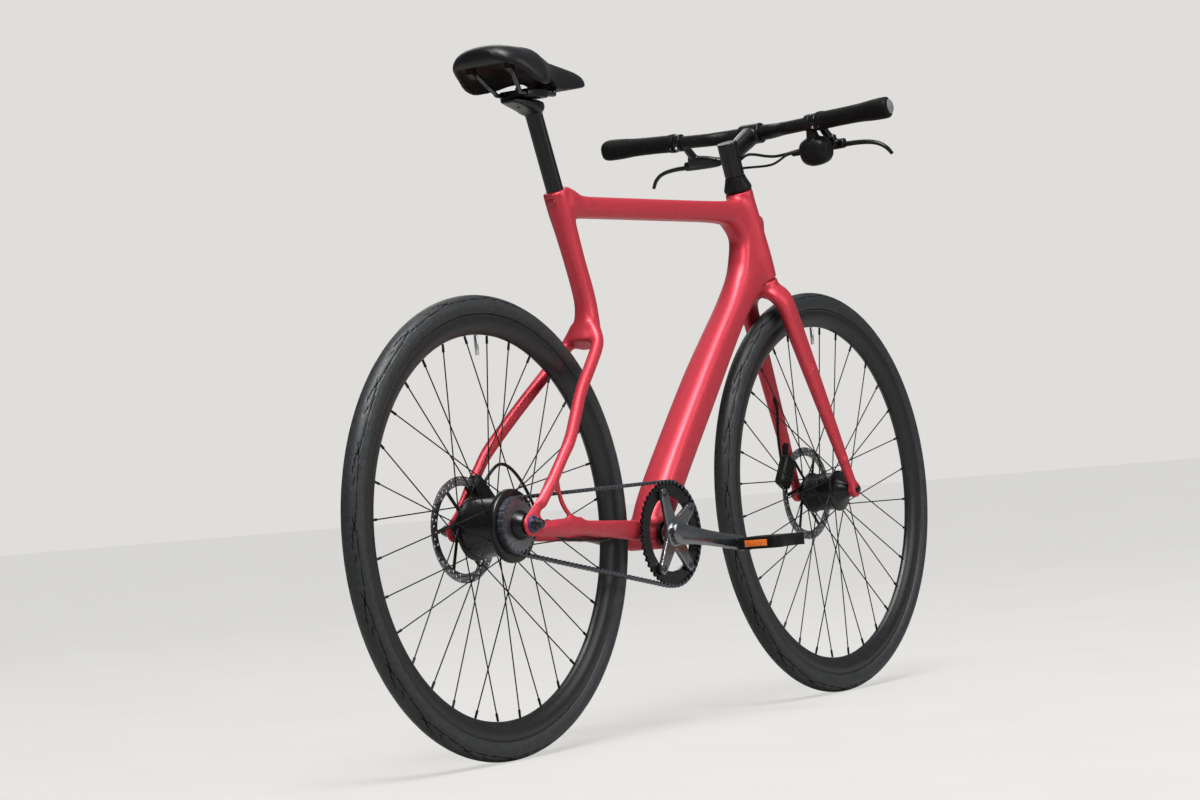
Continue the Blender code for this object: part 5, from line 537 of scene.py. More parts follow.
LOOKS = {
    "red": surface("frame_paint", (0.420, 0.026, 0.042), (0.490, 0.034, 0.054), (0.45, 0.51), 0.58,
                   1400.0, 0.00003, 0.12),
    "black": surface("satin_black", (0.004, 0.004, 0.004), (0.008, 0.008, 0.008), (0.34, 0.46), 0.0,
                     1200.0, 0.00008, gloss=0.12),
    "rim": surface("rim_black", (0.006, 0.006, 0.007), (0.011, 0.011, 0.012), (0.30, 0.40), 0.0,
                   1000.0, 0.00005, gloss=0.30),
    "alloy": surface("black_alloy", (0.002, 0.002, 0.0025), (0.004, 0.004, 0.005), (0.24, 0.32), 0.0,
                     1500.0, 0.00001, gloss=0.30),
    "crank": surface("crank_grey", (0.130, 0.137, 0.148), (0.180, 0.188, 0.200), (0.16, 0.25), 0.92,
                     1500.0, 0.00003, 0.5),
    "tyre": surface("tyre_rubber", (0.0085, 0.0095, 0.0105), (0.017, 0.0185, 0.020), (0.46, 0.60),
                    0.0, 900.0, 0.00012, gloss=0.35),
    "grip": surface("grip_rubber", (0.003, 0.003, 0.003), (0.006, 0.006, 0.006), (0.46, 0.62), 0.0,
                    1500.0, 0.00014, gloss=0.08),
    "cap": surface("grip_cap", (0.10, 0.10, 0.105), (0.15, 0.15, 0.155), (0.45, 0.60), 0.0,
                   1500.0, 0.00008),
    "steel": surface("steel", (0.17, 0.175, 0.185), (0.24, 0.245, 0.26), (0.28, 0.38), 1.0,
                     1500.0, 0.00002),
    # painted shade: a darker rubber for the tyre's groove faces, standing in for the shade that falls in
    # the grooves
    "groove": surface("tyre_groove", (0.0015, 0.0015, 0.002), (0.003, 0.003, 0.004), (0.60, 0.75),
                      0.0, 900.0, 0.00005, gloss=0.05),
    "dark_steel": surface("dark_steel", (0.035, 0.036, 0.040), (0.080, 0.082, 0.090), (0.22, 0.36),
                          0.9, 1500.0, 0.00003),
    "rail": surface("rail_steel", (0.050, 0.052, 0.056), (0.085, 0.088, 0.094), (0.20, 0.32), 0.9,
                    1500.0, 0.00004),
    "silver": surface("silver", (0.46, 0.47, 0.49), (0.60, 0.61, 0.63), (0.16, 0.28), 1.0,
                      1500.0, 0.00004),
    "hose": surface("hose_black", (0.004, 0.004, 0.004), (0.007, 0.007, 0.007), (0.30, 0.44), 0.0,
                    1500.0, 0.00005, gloss=0.16),
    "belt": surface("belt_rubber", (0.016, 0.018, 0.024), (0.030, 0.033, 0.042), (0.28, 0.40), 0.0,
                    1500.0, 0.00006, gloss=0.60),
    "saddle": surface("saddle_cover", (0.0030, 0.0030, 0.0035), (0.006, 0.006, 0.007), (0.32, 0.44),
                      0.0, 1300.0, 0.00016, gloss=0.22),
    "shell": surface("saddle_shell", (0.009, 0.0065, 0.006), (0.015, 0.011, 0.010), (0.36, 0.50),
                     0.0, 1000.0, 0.00008, gloss=0.20),
    "amber": surface("reflector_amber", (0.50, 0.10, 0.01), (0.70, 0.16, 0.02), (0.10, 0.20), 0.0,
                     900.0, 0.00030, 1.0),
    "blue": surface("washer_blue", (0.010, 0.030, 0.130), (0.016, 0.050, 0.200), (0.30, 0.42), 0.0,
                    1500.0, 0.00006),
    "lens": surface("lens_clear", (0.50, 0.53, 0.56), (0.62, 0.65, 0.68), (0.08, 0.16), 0.0,
                    600.0, 0.00010, 1.0),
    "tail": surface("lens_red", (0.20, 0.008, 0.012), (0.30, 0.012, 0.018), (0.10, 0.18), 0.0,
                    600.0, 0.00010, 1.0),
}
RED, BLACK, ALLOY_BLACK, CRANK_GREY, RUBBER = "red", "black", "alloy", "crank", "tyre"
GRIP_RUBBER, STEEL, SILVER, CORD_BLACK, SADDLE_BLACK = "grip", "steel", "silver", "hose", "saddle"

LENS_CLEAR, LENS_RED = "lens", "tail"
NODE_LOOKS = {
    "cog": "steel", "saddle_rail_left": "rail", "saddle_rail_right": "rail",
    "head_light": "lens", "tail_light": "tail", "chainring": "alloy", "hub_driver": "alloy",
    "bottom_bracket_cup_left": "alloy", "bottom_bracket_cup_right": "alloy",
}


# Drawing: objects are drawn on the bike's axes, then turned into pieces in the row's frame

def new_object(name, data, place=(0.0, 0.0, 0.0), turn=(0.0, 0.0, 0.0)):
    name = name if name.endswith(PIECE) else name + PIECE
    obj = bpy.data.objects.new(name, data)
    obj.location = place
    obj.rotation_euler = turn
    drawing.objects.link(obj)
    return obj


def empty(name, place, parent=None, turn=(0.0, 0.0, 0.0)):
    axis = new_object(name, None, place, turn)
    axis.parent = parent
    return axis


def finish(obj, parent, look):
    obj.parent = parent
    obj["look"] = look
    return obj


def drawn(name):
    return bpy.data.objects[name + PIECE]


def settled_mesh(obj):
    """The mesh of an object with its modifiers applied."""
    bpy.context.view_layer.update()
    graph = bpy.context.evaluated_depsgraph_get()
    return bpy.data.meshes.new_from_object(obj.evaluated_get(graph))


def blended(first, second, before, after, t):
    """Catmull-Rom between two values, with the ones before and after them."""
    return 0.5 * (2 * first + (second - before) * t
                  + (2 * before - 5 * first + 4 * second - after) * t ** 2
                  + (3 * first - before - 3 * second + after) * t ** 3)


def finer(rows, count=PATH_STEPS):
    """More rows between rows of vectors and numbers, on smooth curves through them."""
    if len(rows) < 3:
        return rows
    made = []
    for i in range(len(rows) - 1):
        first, second = rows[i], rows[i + 1]
        before = rows[i - 1] if i else tuple(2 * a - b for a, b in zip(first, second))
        after = rows[i + 2] if i + 2 < len(rows) else tuple(2 * b - a for a, b
                                                            in zip(first, second))
        for k in range(count):
            made.append(tuple(blended(a, b, p, q, k / count)
                              for a, b, p, q in zip(first, second, before, after)))
    made.append(rows[-1])
    return made


def smooth_path(points, count):
    """A Catmull-Rom curve through listed points."""
    return [row[0] for row in finer([(Vector(point),) for point in points], count)]


def loft(name, rings, sides, across=LEFT):
    """Skin rings of (centre, half height, half width, squareness) along their smooth path."""
    sides = max(sides, LOFT_SIDES)
    rings = finer([(Vector(ring[0]), *ring[1:]) for ring in rings])
    centres = [ring[0] for ring in rings]
    loops = []
    for index, (_, high, wide, square) in enumerate(rings):
        ahead = centres[min(index + 1, len(rings) - 1)]
        behind = centres[max(index - 1, 0)]
        along = (ahead - behind).normalized()
        side = (across - across.dot(along) * along).normalized()
        up = along.cross(side)
        loops.append([centres[index] + side * wide * power(math.cos(angle), square)
                      + up * high * power(math.sin(angle), square)
                      for angle in [2 * math.pi * (k + 0.5) / sides for k in range(sides)]])
    return skin(name, loops)


def rod(name, points, radius, resolution=5):
    """A round wire along a list of points, closed at both ends."""
    curve = bpy.data.curves.new(name, "CURVE")
    curve.dimensions = "3D"
    curve.bevel_depth = radius
    curve.bevel_resolution = resolution
    curve.use_fill_caps = True
    points = smooth_path(points, 3)
    spline = curve.splines.new("POLY")
    spline.points.add(len(points) - 1)
    for point, place in zip(spline.points, points):
        point.co = (*place, 1.0)
    return new_object(name, curve)


def combine(base, other, operation):
    if other.parent is None:
        other.parent = base.parent
    if other.type == "CURVE":
        other = as_mesh(other)
    boolean = base.modifiers.new(operation.lower(), "BOOLEAN")
    boolean.operation = operation
    boolean.object = other
    boolean.solver = "MANIFOLD"


def relaxed(mesh, rounds, joints):
    """Even out a remeshed skin; near the joints its hollows fill up into fillets."""
    count = len(mesh.vertices)
    places = np.empty(count * 3)
    mesh.vertices.foreach_get("co", places)
    places = places.reshape(-1, 3)
    edges = np.empty(len(mesh.edges) * 2, dtype=np.int64)
    mesh.edges.foreach_get("vertices", edges)
    pairs = edges.reshape(-1, 2)
    degree = np.bincount(edges, minlength=count)[:, None]

    def pull(points, near):
        first, second = near.T
        total = np.zeros_like(points)
        for axis in range(3):
            total[:, axis] = (np.bincount(first, points[second, axis], count)
                              + np.bincount(second, points[first, axis], count))
        return total / degree - points

    for _ in range(rounds):
        places += EVENING_SHARE * pull(places, pairs)
    for centre, reach, times, kept in joints:
        weight = np.clip(2.0 - 2.0 * np.linalg.norm(places - np.array(centre), axis=1) / reach,
                         0.0, 1.0)
        inside = weight > 0.0
        near = pairs[inside[pairs[:, 0]] | inside[pairs[:, 1]]]
        for turn in range(times):
            if turn % NORMALS_EVERY == 0:
                mesh.vertices.foreach_set("co", places.ravel())
                mesh.update()
                outward = np.empty(count * 3)
                mesh.vertex_normals.foreach_get("vector", outward)
                outward = outward.reshape(-1, 3)[inside]
            shift = EVENING_SHARE * pull(places, near)[inside]
            raised = (shift * outward).sum(axis=1, keepdims=True)
            shift -= outward * np.minimum(raised, 0.0) * kept
            places[inside] += shift * weight[inside, None]
    mesh.vertices.foreach_set("co", places.ravel())
    mesh.update()


def mould(obj, voxel, rounds, joints=()):
    """Blend a body's joined forms into one skin, and then cut its bores."""
    cuts = [m for m in obj.modifiers if m.type == "BOOLEAN" and m.operation == "DIFFERENCE"]
    bores = [modifier.object for modifier in cuts]
    for modifier in cuts:
        obj.modifiers.remove(modifier)
    remesh = obj.modifiers.new("moulded", "REMESH")
    remesh.mode = "VOXEL"
    remesh.voxel_size = voxel
    mesh = settled_mesh(obj)
    relaxed(mesh, rounds, joints)
    obj.modifiers.clear()
    obj.data = mesh
    for bore in bores:
        combine(obj, bore, "DIFFERENCE")
    return obj


def moulded(name, joints=()):
    return mould(drawn(name), *MOULDS[name], joints)


def dress(obj, body, *nodes, soft=0.0, angle=SMOOTH_ANGLE, look=None, second=None):
    """Turn a drawn object into a piece that rides on a body and stands for nodes."""
    if soft:
        bevel = obj.modifiers.new("softened", "BEVEL")
        bevel.width = soft
        bevel.segments = 2
        bevel.limit_method = "ANGLE"
        bevel.angle_limit = SOFT_ANGLE
    mesh = settled_mesh(obj)
    mesh.transform(obj.matrix_world)
    mesh.shade_smooth()
    mesh.set_sharp_from_angle(angle=math.radians(angle))
    marks = np.zeros(len(mesh.polygons), dtype=np.int32)
    mesh.polygons.foreach_get("material_index", marks)
    mesh.materials.clear()
    mesh.materials.append(LOOKS[look or obj["look"]])
    if second:
        mesh.materials.append(LOOKS[second])
        mesh.polygons.foreach_set("material_index", marks)
    piece = bpy.data.objects.new(obj.name.removesuffix(PIECE) + DETAIL, mesh)
    bpy.context.scene.collection.objects.link(piece)
    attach(piece, body)
    if nodes:
        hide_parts(*nodes)
    return piece


drawing = bpy.data.collections.new("drawing")
bpy.context.scene.collection.children.link(drawing)


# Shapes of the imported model, drawn finer here

def mesh_object(name, shape, place=(0.0, 0.0, 0.0), turn=(0.0, 0.0, 0.0)):
    mesh = bpy.data.meshes.new(name)
    bmesh.ops.recalc_face_normals(shape, faces=shape.faces)
    shape.to_mesh(mesh)
    shape.free()
    return new_object(name, mesh, place, turn)


def sided(name, side):
    return name + ("_left" if side > 0 else "_right")


ACROSS = (-math.pi / 2, 0.0, 0.0)
UPRIGHT = (math.pi / 2, 0.0, 0.0)
LEVEL = (0.0, 0.0, 0.0)


def turned(name, profile, steps, ring=False, place=(0.0, 0.0, 0.0), turn=ACROSS):
    """Turn a profile of (radius, height) pairs, listed from the top down its outside."""
    mesh = bpy.data.meshes.new(name)
    points = [(radius, 0.0, height) for radius, height in profile]
    edges = [(i, i + 1) for i in range(len(points) - 1)]
    if ring:
        edges.append((len(points) - 1, 0))
    mesh.from_pydata(points, edges, [])
    obj = new_object(name, mesh, place, turn)
    screw = obj.modifiers.new("turn", "SCREW")
    screw.axis = "Z"
    screw.steps = steps
    screw.render_steps = steps
    screw.use_merge_vertices = True
    screw.merge_threshold = WELD
    screw.use_smooth_shade = True
    return obj


def cylinder(name, radius, low, high, steps=SMALL_STEPS, place=(0.0, 0.0, 0.0), turn=ACROSS):
    """A cylinder from low to high along its own Z axis."""
    shape = bmesh.new()
    bmesh.ops.create_cone(shape, cap_ends=True, segments=steps, radius1=radius, radius2=radius,
                          depth=high - low, matrix=Matrix.Translation((0, 0, (high + low) / 2)))
    return mesh_object(name, shape, place, turn)


def box(name, size, place=(0.0, 0.0, 0.0), turn=(0.0, 0.0, 0.0)):
    shape = bmesh.new()
    bmesh.ops.create_cube(shape, size=1.0, matrix=Matrix.Diagonal((*size, 1.0)))
    return mesh_object(name, shape, place, turn)


def plate(name, outlines, thickness, place=(0.0, 0.0, 0.0), turn=UPRIGHT):
    """A flat plate from closed outlines of (x, z) points; the inner ones are holes.

    It is drawn enlarged, since a filled curve merges points closer than 0.03 mm.
    """
    curve = bpy.data.curves.new(name, "CURVE")
    curve.dimensions = "2D"
    curve.fill_mode = "BOTH"
    curve.extrude = thickness / 2 * DRAWING_SCALE
    for outline in outlines:
        spline = curve.splines.new("POLY")
        spline.points.add(len(outline) - 1)
        for point, (x, z) in zip(spline.points, outline):
            point.co = (x * DRAWING_SCALE, z * DRAWING_SCALE, 0.0, 1.0)
        spline.use_cyclic_u = True
    drawn = as_mesh(new_object(name, curve))
    drawn.data.transform(Matrix.Scale(1 / DRAWING_SCALE, 4))
    drawn.location, drawn.rotation_euler = place, turn
    return drawn


def as_mesh(obj):
    """Swap a curve for its welded mesh, so that it can be cut or joined."""
    mesh = settled_mesh(obj)
    shape = bmesh.new()
    shape.from_mesh(mesh)
    bmesh.ops.remove_doubles(shape, verts=shape.verts, dist=WELD)
    bmesh.ops.recalc_face_normals(shape, faces=shape.faces)
    shape.to_mesh(mesh)
    shape.free()
    name, place = obj.name, obj.matrix_world.copy()
    bpy.data.objects.remove(obj, do_unlink=True)
    made = new_object(name, mesh)
    made.matrix_world = place
    return made


def arc(centre, radius, start, end, count):
    """Points on an arc in the XZ plane; angles in radians from +X towards +Z."""
    step = (end - start) / (count - 1)
    return [(centre[0] + radius * math.cos(start + i * step),
             centre[1] + radius * math.sin(start + i * step)) for i in range(count)]


def circle(radius, count):
    return [(radius * math.cos(2 * math.pi * i / count),
             radius * math.sin(2 * math.pi * i / count)) for i in range(count)]


def power(value, exponent):
    return math.copysign(abs(value) ** (2.0 / exponent), value)


def skin(name, rings, split=False):
    """Skin closed rings of points and close both ends; split, nested skins bend alike."""
    shape = bmesh.new()
    loops = [[shape.verts.new(point) for point in ring] for ring in rings]
    count = len(rings[0])
    for first, second in zip(loops, loops[1:]):
        for k in range(count):
            after = (k + 1) % count
            if split:
                shape.faces.new((first[k], first[after], second[after]))
                shape.faces.new((first[k], second[after], second[k]))
            else:
                shape.faces.new((first[k], first[after], second[after], second[k]))
    shape.faces.new(loops[0][::-1])
    shape.faces.new(loops[-1])
    return mesh_object(name, shape)


def unite(base, *others):
    for other in others:
        combine(base, other, "UNION")


def cut(base, *others):
    for other in others:
        combine(base, other, "DIFFERENCE")


def channel(name, points, radius, carrier):
    """A cutter that leaves a fitted hole for a round wire."""
    ahead = (points[1] - points[0]).normalized()
    behind = (points[-2] - points[-1]).normalized()
    longer = [points[0] - ahead * FIT_GAP] + points[1:-1] + [points[-1] - behind * FIT_GAP]
    hole = as_mesh(rod(name, longer, radius + FIT_GAP))
    hole.parent = carrier
    return hole


def hose(name, points, radius, carrier, *holders):
    """A hose along a path, with a fitted hole in each piece that it enters."""
    for number, holder in enumerate(holders):
        cut(holder, channel("%s_hole_%d" % (name, number + 1), points, radius, carrier))
    finish(rod(name, points, radius), carrier, CORD_BLACK)


RIM_INNER_RADIUS = RIM_SEAT_RADIUS - RIM_DEPTH
WHEEL_RADIUS = RIM_SEAT_RADIUS + TYRE_HEIGHT
WHEELBASE = 2 * WHEEL_RADIUS + WHEEL_SPACE
RING_PITCH_RADIUS = BELT_PITCH * RING_TEETH / (2 * math.pi)
COG_PITCH_RADIUS = BELT_PITCH * COG_TEETH / (2 * math.pi)


def belt_run(centres):
    """Length of an open belt's pitch line over the two sprockets."""
    lean = math.asin((RING_PITCH_RADIUS - COG_PITCH_RADIUS) / centres)
    return (2 * centres * math.cos(lean) + math.pi * (RING_PITCH_RADIUS + COG_PITCH_RADIUS)
            + 2 * (RING_PITCH_RADIUS - COG_PITCH_RADIUS) * lean)


BELT_TEETH = math.ceil(belt_run(WHEEL_RADIUS + TYRE_TO_SPINDLE) / BELT_PITCH)


def centres_for_belt():
    """Sprocket distance at which the belt has a whole number of teeth."""
    low, high = WHEEL_RADIUS, 2 * (WHEEL_RADIUS + TYRE_TO_SPINDLE)
    for _ in range(60):
        middle = (low + high) / 2
        if belt_run(middle) < BELT_PITCH * BELT_TEETH:
            low = middle
        else:
            high = middle
    return low


CENTRES = centres_for_belt()
BB_Z = WHEEL_RADIUS - BB_DROP
BB_X = math.sqrt(CENTRES ** 2 - BB_DROP ** 2)
STEER_X = WHEELBASE - FORK_OFFSET / math.sin(HEAD_ANGLE)
AXLE_RISE = -(WHEELBASE - STEER_X) * math.cos(HEAD_ANGLE)
CROWN_TOP = WHEEL_RADIUS + CROWN_CLEARANCE
HEAD_TOP = CROWN_TOP + TURN_GAP + HEAD_TUBE_LENGTH
HEAD_TOP_Z = WHEEL_RADIUS + HEAD_TOP * math.sin(HEAD_ANGLE)
STEM_BASE = HEAD_TOP + CONE_HEIGHT
TOP_TUBE_Z = HEAD_TOP_Z - TOP_TUBE_DROP
DOWN_TUBE_HEAD_Z = HEAD_TOP_Z - DOWN_TUBE_DROP
SEAT_COLLAR_TOP = TOP_TUBE_Z + SEAT_COLLAR_RISE
SEAT_TUBE_BEND_Z = TOP_TUBE_Z - SEAT_TUBE_BEND_DROP
SEAT_FOOT = Vector(((WHEEL_RADIUS + SEAT_FOOT_CLEARANCE) * math.cos(SEAT_FOOT_ANGLE), 0.0,
                    WHEEL_RADIUS + (WHEEL_RADIUS + SEAT_FOOT_CLEARANCE)
                    * math.sin(SEAT_FOOT_ANGLE)))
SEATPOST_TOP = SEAT_COLLAR_TOP + SEATPOST_EXPOSED
RAIL_Z = SEATPOST_TOP + RAIL_RISE
SADDLE_TOP = RAIL_Z + SADDLE_RISE
HEAD_LIGHT_Z = TOP_TUBE_Z - HEAD_LIGHT_DROP
TAIL_LIGHT_Z = SEAT_COLLAR_TOP - TAIL_LIGHT_DROP
GRIP_INNER_Y = BAR_HALF_WIDTH - GRIP_LENGTH
LEVER_CLAMP_Y = GRIP_INNER_Y - FIT_GAP - LEVER_CLAMP_WIDTH / 2
SHIFTER_Y = LEVER_CLAMP_Y - LEVER_CLAMP_WIDTH / 2 - FIT_GAP - SHIFTER_CLAMP_WIDTH / 2
BAR_BEND_Y = SHIFTER_Y - BAR_STRAIGHT_SPARE


def steering_x(z):
    """Where the steering axis stands at a height above the ground."""
    return STEER_X - (z - WHEEL_RADIUS) / math.tan(HEAD_ANGLE)


def seat_axis_x(z):
    """Where the seatpost's axis stands at a height above the ground."""
    return SEAT_AXIS_FOOT - (z - SEAT_COLLAR_TOP) / math.tan(SEAT_ANGLE)


SADDLE_REAR_X = seat_axis_x(SEATPOST_TOP) - SADDLE_REAR_BACK
ORIGIN = Vector((seat_axis_x(SEATPOST_TOP) - SADDLE_MIDDLE_BACK, 0.0, SADDLE_TOP))
root = empty("bike_origin", -ORIGIN)
rear_axis = empty("rear_wheel_axis", (0.0, 0.0, WHEEL_RADIUS), root)
crank_axis = empty("crank_axis", (BB_X, 0.0, BB_Z), root, (0.0, CRANK_PITCH, 0.0))
steering_axis = empty("steering_axis", (STEER_X, 0.0, WHEEL_RADIUS), root,
                      (0.0, HEAD_ANGLE - math.pi / 2, 0.0))
front_axis = empty("front_wheel_axis", (FORK_OFFSET, 0.0, AXLE_RISE), steering_axis,
                   (0.0, math.pi / 2 - HEAD_ANGLE, 0.0))


def head_tube():
    profile = [(0.0, HEAD_TUBE_LENGTH), (HEAD_UPPER_RADIUS, HEAD_TUBE_LENGTH),
               (HEAD_UPPER_RADIUS, HEAD_TUBE_LENGTH - HEAD_LOWER_RING),
               (HEAD_LOWER_RADIUS, HEAD_LOWER_RING * 2), (HEAD_LOWER_RADIUS, 0.0), (0.0, 0.0)]
    tube = turned("head_tube", profile, SMALL_STEPS + 12,
                  place=(0.0, 0.0, CROWN_TOP + TURN_GAP), turn=LEVEL)
    tube.parent = steering_axis
    return tube


def top_tube():
    front = steering_x(TOP_TUBE_Z)
    rear = seat_axis_x(TOP_TUBE_Z)
    rings = [(Vector((rear + (front - rear) * along, 0.0, TOP_TUBE_Z)),
              TOP_TUBE_HALF_HEIGHT * high, TOP_TUBE_HALF_WIDTH * wide, square)
             for along, high, wide, square in TOP_TUBE_SHARES]
    flare = TOP_TUBE_HEAD_HALF_HEIGHT - TOP_TUBE_HALF_HEIGHT
    for along, share in TOP_TUBE_FLARE_SHARES:
        centre = Vector((rear + (front - rear) * along, 0.0, TOP_TUBE_Z - flare * share / 3))
        rings.append((centre, TOP_TUBE_HALF_HEIGHT + flare * share,
                      TOP_TUBE_HALF_WIDTH, 3.0))
    return loft("top_tube", rings, TUBE_SIDES)


def down_tube():
    head = Vector((steering_x(DOWN_TUBE_HEAD_Z), 0.0, DOWN_TUBE_HEAD_Z))
    foot = Vector((BB_X, 0.0, BB_Z))
    chord = foot - head
    normal = Vector((chord.z, 0.0, -chord.x)).normalized()

    def centre(along):
        return head + chord * along + normal * DOWN_TUBE_BOW * 4 * along * (1 - along)

    flare = DOWN_TUBE_HEAD_HALF_HEIGHT - DOWN_TUBE_HALF_HEIGHT
    rings = [(centre(along), DOWN_TUBE_HALF_HEIGHT + flare * share, DOWN_TUBE_HALF_WIDTH * wide,
              2.8) for along, share, wide in DOWN_TUBE_FLARE_SHARES]
    rings += [(centre(along), DOWN_TUBE_HALF_HEIGHT * high, DOWN_TUBE_HALF_WIDTH * wide, square)
              for along, high, wide, square in DOWN_TUBE_SHARES]
    return loft("down_tube", rings, TUBE_SIDES)


def seat_tube():
    """Straight along the seatpost, then bending back to the fork of the stays."""
    top = Vector((seat_axis_x(SEAT_COLLAR_TOP), 0.0, SEAT_COLLAR_TOP))
    bend = Vector((seat_axis_x(SEAT_TUBE_BEND_Z), 0.0, SEAT_TUBE_BEND_Z))
    knee = bend + (bend - top).normalized() * (bend.z - SEAT_FOOT.z) * SEAT_TUBE_KNEE_SHARE
    rings = [(top.lerp(bend, along), SEAT_COLLAR_HALF_DEPTH, SEAT_COLLAR_HALF_WIDTH, 2.2)
             for along in SEAT_COLLAR_SHARES]
    rings += [(top.lerp(bend, along), SEAT_TUBE_HALF_DEPTH * deep, SEAT_TUBE_HALF_WIDTH * wide,
               square) for along, deep, wide, square in SEAT_TUBE_SHARES]
    for t, deep, wide in SEAT_CURVE_SHARES:
        point = bend * (1 - t) ** 2 + knee * 2 * t * (1 - t) + SEAT_FOOT * t ** 2
        rings.append((point, SEAT_TUBE_HALF_DEPTH * deep, SEAT_TUBE_HALF_WIDTH * wide, 2.8))
    return loft("seat_tube", rings, TUBE_SIDES)


def seat_stay(side):
    stay_y = REAR_DROPOUT_Y + STAY_HALF_WIDTH
    middle = Vector((STAY_MIDDLE_X, side * STAY_MIDDLE_Y, WHEEL_RADIUS + STAY_MIDDLE_RISE))
    lower = Vector((STAY_LOWER_X, side * stay_y, WHEEL_RADIUS + STAY_LOWER_RISE))
    axle = Vector((0.0, side * stay_y, WHEEL_RADIUS))
    knee = lower.lerp(middle, STAY_KNEE_SHARE)
    knee.y = side * (stay_y - STAY_KNEE_INSET)
    path = [SEAT_FOOT + Vector((STAY_ROOT_FORWARD, side * STAY_SPLIT_HALF_WIDTH * STAY_ROOT_SHARE,
                                STAY_ROOT_RISE)),
            SEAT_FOOT + Vector((-STAY_SPLIT_BACK, side * STAY_SPLIT_HALF_WIDTH, -STAY_SPLIT_DROP)),
            middle, knee, lower, lower.lerp(axle, STAY_END_SHARE)]
    smooth = smooth_path(path, 2)
    count = len(smooth) - 1
    rings = []
    for index, point in enumerate(smooth):
        t = index / count
        swell = 1.0 + STAY_SWELL_SHARE * max(0.0, 1 - t / 0.3)
        rings.append((point, STAY_HALF_HEIGHT * swell, STAY_HALF_WIDTH * (1 + 0.15 * (1 - t)), 2.6))
    return loft(sided("seat_stay", side), rings, STAY_SIDES)


def chainstay(side):
    """A stay through places (back from the spindle, y, rise), then (x, y, drop under the axle)."""
    path = [Vector((BB_X - back, side * y, BB_Z + rise)) for back, y, rise in CHAINSTAY_ROOT_PLACES]
    path += [Vector((x, side * y, WHEEL_RADIUS - drop)) for x, y, drop in CHAINSTAY_REAR_PLACES]
    waist = BB_X - CHAINSTAY_ROOT_PLACES[-1][0]
    rings = []
    for point in smooth_path(path, 2):
        share = min(1.0, max(0.0, (point.x - waist * 0.66) / (waist * 0.43)))
        wide = CHAINSTAY_HALF_WIDTH * (1 - share) + CHAINSTAY_THROAT_HALF_WIDTH * share
        rear = min(1.0, max(0.0, 1 - point.x / DROPOUT_TOE_X))
        high = CHAINSTAY_HALF_HEIGHT * (1 + 0.25 * share - 0.35 * rear)
        rings.append((point, high, wide, 2.8))
    return loft(sided("chainstay", side), rings, STAY_SIDES)


def dropout(side):
    """Flat plate between the stays, with a window ahead of the axle."""
    outer = (arc((0.0, 0.0), DROPOUT_BOSS_RADIUS, math.radians(130), math.radians(275), 9)
             + [(DROPOUT_TOE_X, -DROPOUT_TOE_DROP), (DROPOUT_FOOT_X, -DROPOUT_FOOT_LOW_DROP),
                (DROPOUT_FOOT_X, -DROPOUT_FOOT_TOP_DROP)]
             + arc(BRACE_CENTRE, BRACE_RADIUS, math.radians(-78), math.radians(-172), 8)
             + [(DROPOUT_NECK_X, DROPOUT_NECK_RISE), (DROPOUT_HORN_X, DROPOUT_HORN_RISE)])
    window = arc(BRACE_CENTRE, BRACE_RADIUS + BRACE_WIDTH, math.radians(-117),
                 math.radians(-172), 5) + WINDOW_CORNERS
    return plate(sided("dropout", side), [outer, window], DROPOUT_THICKNESS,
                 place=(0.0, side * (REAR_DROPOUT_Y + DROPOUT_THICKNESS / 2), WHEEL_RADIUS))


def build_frame():
    frame = down_tube()
    frame.name = "frame"
    frame.data.name = "frame"
    finish(frame, root, RED)
    shell = cylinder("bb_shell", BB_SHELL_RADIUS, -BB_SHELL_HALF_WIDTH, BB_SHELL_HALF_WIDTH,
                     SMALL_STEPS + 8, place=(BB_X, 0.0, BB_Z))
    stays = [make(side) for side in (1, -1) for make in (seat_stay, chainstay, dropout)]
    unite(frame, head_tube(), top_tube(), seat_tube(), shell, light_housing(), *stays)
    low = CROWN_TOP + TURN_GAP - CUT_OVERRUN
    head_bore = cylinder("head_bore", HEAD_BORE_RADIUS, low,
                         low + HEAD_TUBE_LENGTH + 2 * CUT_OVERRUN, SMALL_STEPS, turn=LEVEL)
    head_bore.parent = steering_axis
    bb_bore = cylinder("bb_bore", BB_BORE_RADIUS, -BB_SHELL_HALF_WIDTH - CUT_OVERRUN,
                       BB_SHELL_HALF_WIDTH + CUT_OVERRUN, SMALL_STEPS + 8,
                       place=(BB_X, 0.0, BB_Z))
    post_bore = cylinder("post_bore", SEATPOST_RADIUS + FIT_GAP, -SEATPOST_INSERTION - FIT_GAP,
                         CUT_OVERRUN * 3, SMALL_STEPS,
                         place=(seat_axis_x(SEAT_COLLAR_TOP), 0.0, SEAT_COLLAR_TOP),
                         turn=(0.0, SEAT_ANGLE - math.pi / 2, 0.0))
    room_top, room_foot = CROWN_TOP + TURN_GAP, CROWN_TOP - FORK_SHOULDER_DROP
    crown_room = turned("crown_room", [(0.0, room_top), (CROWN_ROOM_RADIUS, room_top),
                                       (CROWN_ROOM_FOOT_RADIUS, room_foot), (0.0, room_foot)],
                        SMALL_STEPS + 12, turn=LEVEL)
    crown_room.parent = steering_axis
    reach = REAR_DROPOUT_Y + DROPOUT_THICKNESS + 4 * CUT_OVERRUN
    axle_bore = cylinder("axle_bore", AXLE_RADIUS + FIT_GAP, -reach, reach, SMALL_STEPS,
                         place=(0.0, 0.0, WHEEL_RADIUS))
    cut(frame, crown_room, head_bore, bb_bore, post_bore, axle_bore)
    return frame


def beam_x():
    return steering_x(HEAD_LIGHT_Z) + HEAD_LOWER_RADIUS + HEAD_LIGHT_STAND


